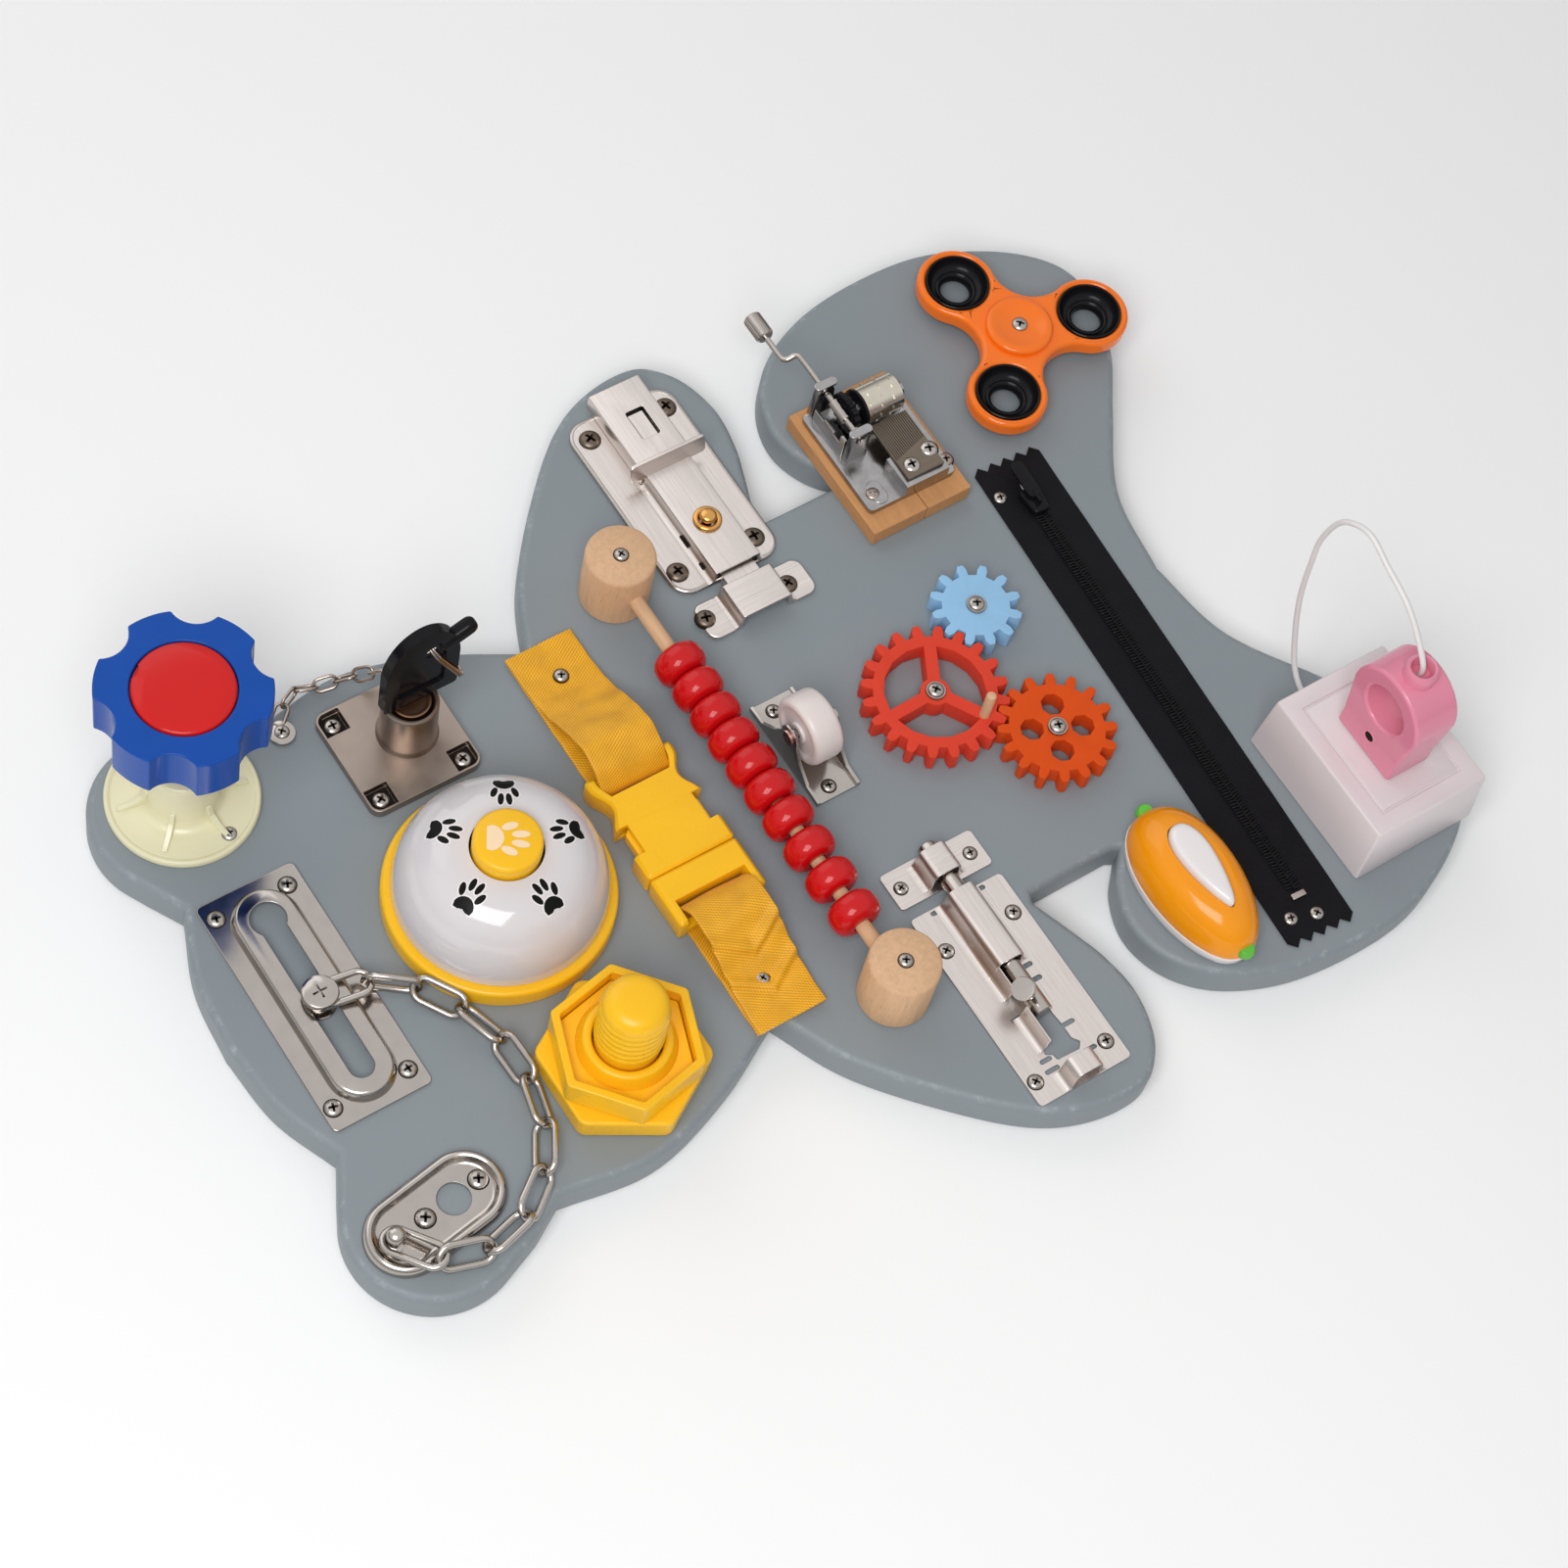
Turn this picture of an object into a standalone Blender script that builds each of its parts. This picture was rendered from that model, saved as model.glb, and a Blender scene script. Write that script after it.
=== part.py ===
"""A bear-shaped busy board for small children, as a Blender model.

A grey painted board lies on its back and carries household fittings to turn, slide, press and
unlock. The frame has its origin under the board on its centre line, +Y toward the head, +X to the
right seen from above, and +Z up. All sizes are in metres.
"""
import math

import bmesh
import bpy
from mathutils import Matrix, Vector

# Clearances and overruns
gap = 0.0003              # between pieces that touch
running = 0.0004          # around a piece that turns or slides in another one
overrun = 0.0020          # how far a cutter runs past what it cuts
sink = 0.0005             # how far two shapes of one solid run into each other

# Board
board_half_width = 0.1555
board_half_length = 0.2064
board_thick = 0.0150
board_edge_r = 0.0028
outline_step = 0.0160
leg_notch_share = 0.5196      # of the half width, where the wall between leg and arm stands
leg_runs_share = [
    [(0.0, -0.7752), (0.1994, -0.8018), (0.3923, -0.8939), (0.5209, -0.9593), (0.6431, -0.9932),
     (0.7074, -0.9971), (0.7800, -0.9800), (0.8617, -0.9205), (0.9453, -0.7897), (0.9621, -0.6638),
     (0.9363, -0.5160), (0.8682, -0.4118), (0.7850, -0.3600), (0.6881, -0.3430),
     (0.5949, -0.3648), (0.5273, -0.4084)],
    [(leg_notch_share, -0.3973), (leg_notch_share, -0.2374)],
    [(0.5402, -0.2306), (0.6495, -0.2616), (0.7138, -0.2771), (0.8103, -0.2868), (0.9068, -0.2713),
     (0.9582, -0.2471), (0.9936, -0.2132), (1.0, -0.1550), (0.9775, -0.0824), (0.9350, -0.0233),
     (0.8424, 0.0557), (0.6495, 0.1807), (0.4887, 0.2398)],
    [(0.5756, 0.3682), (0.6328, 0.5233), (0.6045, 0.6831)],
]
ear_centre_share = (0.5113, 0.8600)
ear_r = 0.0290
ear_from_share = -0.12        # of a half turn from +X, where the round of the ear starts
ear_to_share = 0.64
ear_foot_share = (0.6495, 0.7413)
head_run_share = [(0.3807, 0.9666), (0.3074, 0.9351), (0.1608, 0.9787), (0.0, 0.9918)]

# Screws and pins that stay with the piece that they hold
pivot_r = 0.0022
pivot_head_r = 0.0042
pivot_head_high = 0.0020

# Water tap on the right ear
tap_share = (0.5280, 0.8450)
flange_r = 0.0250
flange_high = 0.0026
flange_rim_r = 0.0022
tap_hub_r = 0.0115
tap_hub_foot_r = 0.0132
tap_hub_high = 0.0255
tap_hub_edge = 0.0014
tap_rib_count = 6
tap_rib_thick = 0.0018
tap_rib_long = 0.0050
tap_rib_high = 0.0060
tap_nut_r = 0.0080
tap_nut_high = 0.0035
spindle_r = 0.0045
wheel_r = 0.0275
wheel_notch_deep = 0.0045
wheel_notch_r = 0.0090
wheel_lobes = 6
wheel_thick = 0.0190
wheel_low = 0.0535
wheel_edge_r = 0.0010
wheel_hub_r = 0.0095
wheel_hub_drop = 0.0080
wheel_cavity_r = 0.0195
wheel_cavity_deep = 0.0090
spindle_seat_deep = 0.0100
cap_r = 0.0162
cap_thick = 0.0030
cap_crown = 0.0008
cap_notch_r = 0.0060
cap_notch_deep = 0.0012

# Drawer lock on the right cheek
lock_share = (0.4232, 0.5063)
lock_side = 0.0410
lock_corner_r = 0.0040
lock_base_thick = 0.0014
lock_high = 0.0040
lock_pocket = 0.0092
lock_barrel_r = 0.0094
lock_barrel_high = 0.0250
lock_barrel_edge = 0.0010
lock_offset_x = 0.0014
lock_offset_y = -0.0042
core_r = 0.0068
core_deep = 0.0200
core_rim = 0.0008
keyway_wide = 0.0080
keyway_thick = 0.0020
keyway_deep = 0.0170
key_high = 0.0410          # from the barrel's face to the top of the bow
key_neck_high = 0.0010
key_neck_wide = 0.0095
key_bow_wide = 0.0270
key_bow_arch_high = 0.0200
key_bow_r = 0.0015         # at the bow's two lower corners
key_thick = 0.0038
key_panel_deep = 0.0010
key_rim_wide = 0.0052
key_offset_y = -0.0022
key_hole_r = 0.0028
key_hole_y = -0.0060
key_hole_down = 0.0145     # from the top of the bow
key_lug_long = 0.0140
key_lug_wide = 0.0056
key_lug_thick = 0.0050
key_lug_y = -0.0150
key_lug_down = 0.0113
key_lug_tilt = -23.0

# Key chain
key_anchor_share = (0.5620, 0.6545)
key_link_long = 0.0090
key_link_wide = 0.0055
key_wire = 0.0012
key_loop_long = 0.0290
key_loop_wide = 0.0115
key_loop_lean = 27.0
# The key chain's way from its tab, each point right, up the board and out of it.
key_chain_run = ((0.0107, -0.0094, 0.0033), (0.0089, -0.0149, 0.0034), (0.0078, -0.0198, 0.0036),
                 (0.0056, -0.0264, 0.0060), (0.0009, -0.0329, 0.0110), (-0.0055, -0.0385, 0.0200))
key_anchor_r = 0.0034
key_anchor_high = 0.0026

# Door chain: slot plate, slider, anchor plate and links
track_share = (0.0103, 0.8382)
track_long = 0.0876
track_wide = 0.0354
track_thick = 0.0012
track_corner_r = 0.0020
track_raised_long = 0.0810
track_raised_wide = 0.0230
track_high = 0.0046
track_slope = 0.0022
slot_wide = 0.0085
slot_start = 0.0336        # from the plate's centre to the slot's closed end
slot_reach = 0.0284        # from the plate's centre to the round end's centre
slot_round_r = 0.0060
slider_place = -0.0036     # along the slot from the plate's centre
slider_flange_r = 0.0056
slider_flange_thick = 0.0014
slider_neck_r = 0.0034
slider_waist_r = 0.0019
slider_waist_high = 0.0030
slider_head_r = 0.0060
slider_head_high = 0.0026
anchor_share = (-0.5164, 0.8605)
anchor_long = 0.0500
anchor_wide = 0.0270
anchor_turn = 99.0         # degrees from +X
anchor_high = 0.0042
anchor_floor = 0.0016
anchor_rim = 0.0032
anchor_hole_r = 0.0055
anchor_hole_place = -0.0075
anchor_stud_place = 0.0160
stud_neck_r = 0.0018
stud_ball_r = 0.0031
link_long = 0.0207
link_wide = 0.0095
link_wire = 0.0022
link_bite = 0.0003
chain_lies_share = [(-0.0400, 0.7400), (-0.1100, 0.6850), (-0.2219, 0.6420), (-0.3440, 0.6300),
                    (-0.4450, 0.6420), (-0.5500, 0.6850), (-0.6250, 0.7650), (-0.6400, 0.8350),
                    (-0.6250, 0.8850)]

# Counter bell on the forehead
bell_share = (0.0161, 0.5073)
bell_r = 0.0380
bell_base_high = 0.0080
bell_base_edge = 0.0012
dome_r = 0.0360
dome_high = 0.0280
dome_wall = 0.0016
dome_mouth_r = 0.0120
button_r = 0.0112
button_high = 0.0180
button_proud = 0.0056      # from the dome's top to the rim of the button
button_crown = 0.0012
button_travel = 0.0040
bell_post_r = 0.0060

# Toy bolt and nut on the left cheek
toy_share = (-0.4244, 0.4893)
toy_head_r = 0.0285
toy_head_high = 0.0096
toy_corner_r = 0.0040
toy_shaft_r = 0.0113
toy_shaft_high = 0.0485
toy_shaft_round = 0.0060
nut_r = 0.0255
nut_turn = 40.7
nut_high = 0.0112
nut_wall = 0.0028
nut_well_deep = 0.0050
nut_boss_r = 0.0150
nut_bore_play = 0.0006

# Strap and side-release buckle on the chest
strap_share = (0.0, 0.2205)
strap_wide = 0.0258
strap_thick = 0.0012
buckle_centre = 0.0010     # along X
buckle_wide = 0.0330
buckle_high = 0.0096
socket_long = 0.0400
buckle_wall = 0.0022
buckle_edge = 0.0012
bar_slot = 0.0058
bar_wide = 0.0030
bar_high = 0.0034
window_long = 0.0110
window_deep = 0.0042
clip_long = 0.0190
prong_long = 0.0200
prong_thick = 0.0034
tongue_wide = 0.0080
upper_strap_reach = 0.0600     # from the loop's fold to the screwed end
upper_loop_rise = 0.0150
lower_strap_reach = 0.0480
lower_loop_rise = 0.0120

# Beads on a rod across the neck
post_r = 0.0120
post_high = 0.0250
post_edge = 0.0012
post_right_share = (0.5196, 0.0580)
post_left_share = -0.5698
rod_r = 0.0026
rod_high = 0.0125
rod_seat = 0.0060
bead_count = 10
bead_r = 0.0088
bead_thick = 0.0104
bead_room_share = [0.53, 0.01, 0.01, 0.01, 0.01, 0.01, 0.02, 0.05, 0.06, 0.07, 0.22]

# Furniture caster on the belly
caster_share = (0.0019, -0.0591)
caster_long = 0.0410
caster_wide = 0.0170
caster_thick = 0.0012
caster_ear_long = 0.0180
caster_ear_r = 0.0045
caster_axle_high = 0.0150
caster_axle_r = 0.0016
caster_head_r = 0.0030
caster_head_high = 0.0010
caster_wheel_r = 0.0122
caster_wheel_wide = 0.0110
caster_wheel_edge = 0.0020

# Spring latch on the right arm
latch_share = (0.6765, -0.1303)
latch_long = 0.0759
latch_wide = 0.0421
latch_thick = 0.0020
latch_floor = 0.0010
latch_corner_r = 0.0085
latch_edge = 0.0008
latch_rail_long = 0.0640
latch_rail_wide = 0.0180
latch_rail_high = 0.0075
latch_rail_offset = -0.0062
latch_cap_long = 0.0350
latch_cap_wall = 0.0011
latch_cap_place = 0.0243       # from the plate's centre to the cap's centre
latch_cap_slot_long = 0.0120
latch_cap_slot_wide = 0.0070
latch_tab_wide = 0.0300
latch_tab_high = 0.0064
latch_tab_thick = 0.0012
latch_tongue_wide = 0.0130
latch_tongue_high = 0.0040
latch_tongue_reach = 0.0532    # from the plate's centre to the tongue's tip
latch_push_place = -0.0184
latch_collar_r = 0.0045
latch_collar_high = 0.0014
latch_ball_r = 0.0030
latch_ball_high = 0.0040
latch_press = 0.0010
keeper_place = -0.0497
keeper_wide = 0.0145
keeper_long = 0.0430
keeper_raised = 0.0200
keeper_corner_r = 0.0040

# Barrel bolt on the left arm
barrel_share = (-0.6932, -0.1216)
barrel_long = 0.0751
barrel_wide = 0.0362
barrel_thick = 0.0012
barrel_corner_r = 0.0020
barrel_rod_r = 0.0034
barrel_rod_high = 0.0051
barrel_sleeve_r = 0.0049
barrel_flare = 0.0030
barrel_sleeve_long = 0.0300
barrel_end_long = 0.0075
barrel_window_wide = 0.0080
barrel_rod_long = 0.0690
barrel_rod_reach = 0.0568      # from the plate's centre to the rod's tip
barrel_knob_place = -0.0042
barrel_knob_r = 0.0040
barrel_knob_stem_r = 0.0018
barrel_knob_high = 0.0140
barrel_knob_thick = 0.0024
staple_place = 0.0488
staple_wide = 0.0140
staple_long = 0.0365

# Gear train on the belly
gear_module = 0.00235
gear_thick = 0.0077
gear_backlash = 0.00050
gear_addendum = 0.00170
gear_dedendum = 0.00230
pressure_angle = 20.0
red_share = (-0.0399, -0.2883)
red_teeth = 20
blue_teeth = 12
orange_teeth = 16
blue_bearing = -56.0
orange_bearing = -137.4
red_tooth_at = -18.5
red_window_r = 0.0175
red_hub_r = 0.0052
red_spoke = 0.0043
red_spoke_at = 92.0
peg_r = 0.0016
peg_at = -148.0
peg_place = 0.0180
peg_high = 0.0130
orange_hole_r = 0.0041
orange_hole_place = 0.00875
orange_hole_at = -24.0

# Music box on the right thigh
music_share = (0.5254, -0.4661)
music_long = 0.0540
music_wide = 0.0406
music_high = 0.0075
music_seam = 0.0010
music_seam_deep = 0.0005
music_corner_r = 0.0016
movement_long = 0.0435
movement_wide = 0.0356
movement_thick = 0.0024
movement_offset_x = 0.0016
oval_long = 0.0100
oval_wide = 0.0070
crank_high = 0.0220
crank_offset_y = 0.0106
crank_r = 0.0014
crank_out = 0.0393             # from the base's centre to the crank arm
upright_thick = 0.0026
upright_wide = 0.0084
upright_place = 0.0013
upright_inset = 0.00035        # from the frame's end to the far upright's middle
crank_throw_y = 0.0049
crank_throw_z = -0.0022
crank_arm_thick = 0.0014
crank_arm_wide = 0.0042
crank_pin_r = 0.0011
crank_pin_long = 0.0110
crank_knob_r = 0.0031
crank_knob_long = 0.0095
worm_r = 0.0019
worm_long = 0.0080
drum_place = 0.0133
drum_r = 0.0065
drum_high = 0.0185
drum_long = 0.0150
drum_axle_r = 0.0013
drum_wheel_r = 0.0076
drum_wheel_thick = 0.0022
drum_wheel_teeth = 16
drum_pin = 0.0006
drum_pin_count = 12
drum_start_y = 0.0022          # from the base's centre to the drum's near face
bearing_thick = 0.0020
comb_teeth = 18
comb_slit = 0.0003
comb_tooth_long = 0.0120
comb_long = 0.0240
comb_wide = 0.0150
comb_thick = 0.0012
comb_block_long = 0.0130

# Finger spinner on the right foot
spinner_share = (0.6431, -0.8115)
spinner_lobe_place = 0.0275
spinner_lobe_r = 0.0143
spinner_waist_r = 0.0150
spinner_low = 0.0030
spinner_thick = 0.0072
spinner_edge_r = 0.0010
spinner_turn = 17.6
cup_r = 0.0110
cup_hole_r = 0.0052
cup_deep = 0.0016
spinner_cap_r = 0.0120
spinner_cap_high = 0.0022
spinner_bore_r = 0.0070

# Zip across the thighs
zip_share = (-0.2572, -0.6347)
zip_long = 0.2043
zip_turn = -3.1
zip_wide = 0.0265
zip_tape_thick = 0.0006
zip_points = 5
zip_point_deep = 0.0026
coil_wide = 0.0050
coil_high = 0.0014
coil_inset = 0.0180
zip_body_long = 0.0100
zip_body_wide = 0.0085
zip_body_high = 0.0034
zip_place = 0.0815             # along the tape from its centre
zip_tab_long = 0.0150
zip_tab_wide = 0.0050
zip_tab_thick = 0.0011

# Cord switch on the left thigh
switch_share = (-0.6881, -0.4593)
switch_long = 0.0591
switch_half_wide = 0.0172
switch_narrow_share = 0.72
switch_high = 0.0200
switch_button_long = 0.0330
switch_button_wide = 0.0150
switch_button_out = 0.0030
switch_travel = 0.0020
switch_well_deep = 0.0080

# Socket box, plug and cord on the left foot
box_share = (-0.6476, -0.8348)
box_long = 0.0605
box_wide = 0.0501
box_top_long = 0.0578
box_top_wide = 0.0461
box_high = 0.0270
box_edge = 0.0010
box_panel_inset = 0.0065
box_groove = 0.0008
box_groove_deep = 0.0007
pin_spread = 0.0140
pin_wide = 0.0060
pin_thick = 0.0018
pin_long = 0.0150
plug_long = 0.0275
plug_thick = 0.0179
plug_shoulder = 0.0125
plug_ring_r = 0.0160
plug_ring_high = 0.0270        # from the plug's foot to the ring's centre
plug_hole_r = 0.0086
plug_flare = 0.0022
plug_eye_r = 0.0021
plug_eye_high = 0.0115
plug_mouth_r = 0.0056
plug_mouth_bore_r = 0.0037
plug_mouth_high = 0.0050
plug_mouth_deep = 0.0045
cord_r = 0.0010
cord_points = 32


# Stands a shape that is drawn in X and Y up along Y and Z, with its thickness along X
STAND_ALONG_X = Matrix(((0.0, 0.0, 1.0, 0.0), (1.0, 0.0, 0.0, 0.0), (0.0, 1.0, 0.0, 0.0),
                        (0.0, 0.0, 0.0, 1.0)))


# Places and small helpers

def place(share, high=0.0):
    """A point over the board from shares of its half width and half length."""
    x_share, y_share = share
    return Vector((x_share * board_half_width, y_share * board_half_length, board_thick + high))


def turned_by(degrees, axis="Z"):
    return Matrix.Rotation(math.radians(degrees), 4, axis)


def paint(name, colour, roughness, metallic=0.0):
    """A plain Principled material."""
    found = bpy.data.materials.new(name)
    found.use_nodes = True
    shader = found.node_tree.nodes["Principled BSDF"]
    shader.inputs["Base Color"].default_value = (*colour, 1.0)
    shader.inputs["Roughness"].default_value = roughness
    shader.inputs["Metallic"].default_value = metallic
    return found


def face_out(solid):
    """All faces of a closed solid turned outward."""
    bmesh.ops.recalc_face_normals(solid, faces=solid.faces[:])
    if solid.calc_volume(signed=True) < 0.0:
        bmesh.ops.reverse_faces(solid, faces=solid.faces[:])


def add_piece(name, solid, finish, where=(0.0, 0.0, 0.0)):
    """An object with its origin at a point, from a solid drawn around that point."""
    face_out(solid)
    mesh = bpy.data.meshes.new(name)
    solid.to_mesh(mesh)
    solid.free()
    mesh.materials.append(finish)
    mesh.shade_smooth()
    mesh.set_sharp_from_angle(angle=math.radians(35.0))
    piece = bpy.data.objects.new(name, mesh)
    piece.location = where
    bpy.context.scene.collection.objects.link(piece)
    return piece


def moved(solid, shift=(0.0, 0.0, 0.0), turn=None):
    """The solid turned about its origin and then shifted."""
    matrix = Matrix.Translation(Vector(shift))
    if turn is not None:
        matrix = matrix @ turn
    bmesh.ops.transform(solid, matrix=matrix, verts=solid.verts[:])
    return solid


def combine(first, second, operation="UNION"):
    """One solid joined with another, or cut by it."""
    objects = []
    for solid in (first, second):
        face_out(solid)
        mesh = bpy.data.meshes.new("shape")
        solid.to_mesh(mesh)
        solid.free()
        shape = bpy.data.objects.new("shape", mesh)
        bpy.context.scene.collection.objects.link(shape)
        objects.append(shape)
    base, tool = objects
    step = base.modifiers.new("combine", "BOOLEAN")
    step.operation = operation
    step.object = tool
    step.solver = "EXACT"
    graph = bpy.context.evaluated_depsgraph_get()
    made = bpy.data.meshes.new_from_object(base.evaluated_get(graph))
    result = bmesh.new()
    result.from_mesh(made)
    for shape in objects:
        used = shape.data
        bpy.data.objects.remove(shape)
        bpy.data.meshes.remove(used)
    bpy.data.meshes.remove(made)
    return result


def joined(solids):
    """Overlapping solids made into one."""
    result = solids[0]
    for solid in solids[1:]:
        result = combine(result, solid)
    return result


def cut(solid, cutters):
    """The solid less each cutter in turn."""
    for cutter in cutters:
        solid = combine(solid, cutter, "DIFFERENCE")
    return solid


# Outlines

def smooth_curve(points, step=None, count=None):
    """Points along a smooth curve through the given ones, a step apart or as many as the count."""
    points = [Vector(point) for point in points]
    ends = [2.0 * points[0] - points[1]] + points + [2.0 * points[-1] - points[-2]]
    fine = []
    for a, b, c, d in zip(ends, ends[1:], ends[2:], ends[3:]):
        t1 = max((b - a).length, gap) ** 0.5
        t2 = t1 + max((c - b).length, gap) ** 0.5
        t3 = t2 + max((d - c).length, gap) ** 0.5
        for part in range(12):
            t = t1 + (t2 - t1) * part / 12
            a1 = a * ((t1 - t) / t1) + b * (t / t1)
            a2 = b * ((t2 - t) / (t2 - t1)) + c * ((t - t1) / (t2 - t1))
            a3 = c * ((t3 - t) / (t3 - t2)) + d * ((t - t2) / (t3 - t2))
            b1 = a1 * ((t2 - t) / t2) + a2 * (t / t2)
            b2 = a2 * ((t3 - t) / (t3 - t1)) + a3 * ((t - t1) / (t3 - t1))
            fine.append(b1 * ((t2 - t) / (t2 - t1)) + b2 * ((t - t1) / (t2 - t1)))
    fine.append(points[-1])
    return resampled(fine, step, count)


def resampled(fine, step=None, count=None):
    """Even points along a fine run of points, its two ends among them."""
    lengths = [0.0]
    for a, b in zip(fine, fine[1:]):
        lengths.append(lengths[-1] + (b - a).length)
    if count is None:
        count = max(2, round(lengths[-1] / step) + 1)
    result = []
    at = 0
    for number in range(count):
        goal = lengths[-1] * number / (count - 1)
        while at < len(fine) - 2 and lengths[at + 1] < goal:
            at += 1
        span = max(lengths[at + 1] - lengths[at], 1e-12)
        result.append(fine[at].lerp(fine[at + 1], (goal - lengths[at]) / span))
    return result


def arc(centre, radius, start, end, steps):
    """Points on an arc, its angles in degrees."""
    result = []
    for number in range(steps + 1):
        angle = math.radians(start + (end - start) * number / steps)
        result.append(Vector(centre) + Vector((math.cos(angle), math.sin(angle))) * radius)
    return result


def circle(radius, steps, centre=(0.0, 0.0)):
    return arc(centre, radius, 0.0, 360.0 * (steps - 1) / steps, steps - 1)


def rounded_corners(corners, radius, steps):
    """A polygon that runs anticlockwise, with each corner rounded."""
    result = []
    for number, corner in enumerate(corners):
        corner = Vector(corner)
        before = (Vector(corners[number - 1]) - corner).normalized()
        after = (Vector(corners[(number + 1) % len(corners)]) - corner).normalized()
        half = before.angle(after) / 2
        reach = radius / math.tan(half)
        centre = corner + (before + after).normalized() * (radius / math.sin(half))
        start = corner + before * reach - centre
        sweep = math.pi - 2 * half
        if before.x * after.y - before.y * after.x > 0:
            sweep = -sweep
        for step in range(steps + 1):
            turn = Matrix.Rotation(sweep * step / steps, 2)
            result.append(centre + turn @ start)
    return result


def rectangle(long, wide, centre=(0.0, 0.0)):
    x, y = centre
    return [Vector((x - long / 2, y - wide / 2)), Vector((x + long / 2, y - wide / 2)),
            Vector((x + long / 2, y + wide / 2)), Vector((x - long / 2, y + wide / 2))]


def rounded_rectangle(long, wide, radius, steps=3, centre=(0.0, 0.0)):
    return rounded_corners(rectangle(long, wide, centre), radius, steps)


def stadium(long, wide, steps, centre=(0.0, 0.0)):
    """A slot outline along X with round ends."""
    x, y = centre
    straight = (long - wide) / 2
    return (arc((x + straight, y), wide / 2, -90.0, 90.0, steps)
            + arc((x - straight, y), wide / 2, 90.0, 270.0, steps))


def hexagon(radius, turn, corner_r, steps=2):
    corners = []
    for number in range(6):
        angle = math.radians(turn + 60.0 * number)
        corners.append(Vector((math.cos(angle), math.sin(angle))) * radius)
    return rounded_corners(corners, corner_r, steps)


def inset(outline, distance):
    """A closed outline that runs anticlockwise, moved inward by a distance."""
    result = []
    for number, point in enumerate(outline):
        first = (point - outline[number - 1]).normalized()
        second = (outline[(number + 1) % len(outline)] - point).normalized()
        inward_a = Vector((-first.y, first.x))
        inward_b = Vector((-second.y, second.x))
        result.append(point + (inward_a + inward_b) * (distance / (1.0 + inward_a.dot(inward_b))))
    return result


# Solids

def loft(sections, closed=False):
    """A solid through sections of equally many points, with flat ends or closed into a ring."""
    solid = bmesh.new()
    rings = [[solid.verts.new(point) for point in section] for section in sections]
    pairs = list(zip(rings, rings[1:]))
    if closed:
        pairs.append((rings[-1], rings[0]))
    else:
        solid.faces.new(rings[0])
        solid.faces.new(rings[-1])
    for low, high in pairs:
        for number in range(len(low)):
            after = (number + 1) % len(low)
            solid.faces.new((low[number], low[after], high[after], high[number]))
    return solid


def at_height(outline, high):
    return [Vector((point.x, point.y, high)) for point in outline]


def prism(outline, low, high, edge=0.0, low_edge=0.0):
    """An outline drawn up from low to high, its rims bevelled if an edge is given."""
    sections = []
    if low_edge:
        sections.append(at_height(inset(outline, low_edge), low))
    sections.append(at_height(outline, low + low_edge))
    sections.append(at_height(outline, high - edge))
    if edge:
        sections.append(at_height(inset(outline, edge), high))
    return loft(sections)


def box(low, high):
    """A box between two corners."""
    return prism([Vector((low[0], low[1])), Vector((high[0], low[1])),
                  Vector((high[0], high[1])), Vector((low[0], high[1]))], low[2], high[2])


def pierced(outline, holes, low, high):
    """A flat plate with holes right through it."""
    solid = bmesh.new()
    edges = []
    for loop in [outline] + holes:
        verts = [solid.verts.new((point.x, point.y, low)) for point in loop]
        for number in range(len(verts)):
            edges.append(solid.edges.new((verts[number - 1], verts[number])))
    bmesh.ops.triangle_fill(solid, edges=edges, use_beauty=True, use_dissolve=False)
    raised = bmesh.ops.extrude_face_region(solid, geom=solid.faces[:])
    verts = [item for item in raised["geom"] if isinstance(item, bmesh.types.BMVert)]
    bmesh.ops.translate(solid, vec=(0.0, 0.0, high - low), verts=verts)
    return solid


def turned(profile, steps):
    """A body of revolution about Z from points (radius, height); a ring where no end is on Z."""
    solid = bmesh.new()
    rings = []
    for radius, high in profile:
        if radius == 0.0:
            rings.append([solid.verts.new((0.0, 0.0, high))])
            continue
        ring = []
        for number in range(steps):
            angle = 2.0 * math.pi * number / steps
            ring.append(solid.verts.new((radius * math.cos(angle), radius * math.sin(angle), high)))
        rings.append(ring)
    pairs = list(zip(rings, rings[1:]))
    if profile[0][0] != 0.0 and profile[-1][0] != 0.0:
        pairs.append((rings[-1], rings[0]))
    for low, high in pairs:
        for number in range(steps):
            after = (number + 1) % steps
            if len(low) == 1:
                solid.faces.new((low[0], high[after], high[number]))
            elif len(high) == 1:
                solid.faces.new((low[number], low[after], high[0]))
            else:
                solid.faces.new((low[number], low[after], high[after], high[number]))
    return solid


def cylinder(radius, low, high, steps=20, centre=(0.0, 0.0)):
    return prism(circle(radius, steps, centre), low, high)


def rod_along(start, end, radius, steps=10):
    """A round bar between two points."""
    start = Vector(start)
    axis = Vector(end) - start
    bar = cylinder(radius, 0.0, axis.length, steps)
    return moved(bar, start, axis.to_track_quat("Z", "Y").to_matrix().to_4x4())


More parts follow.
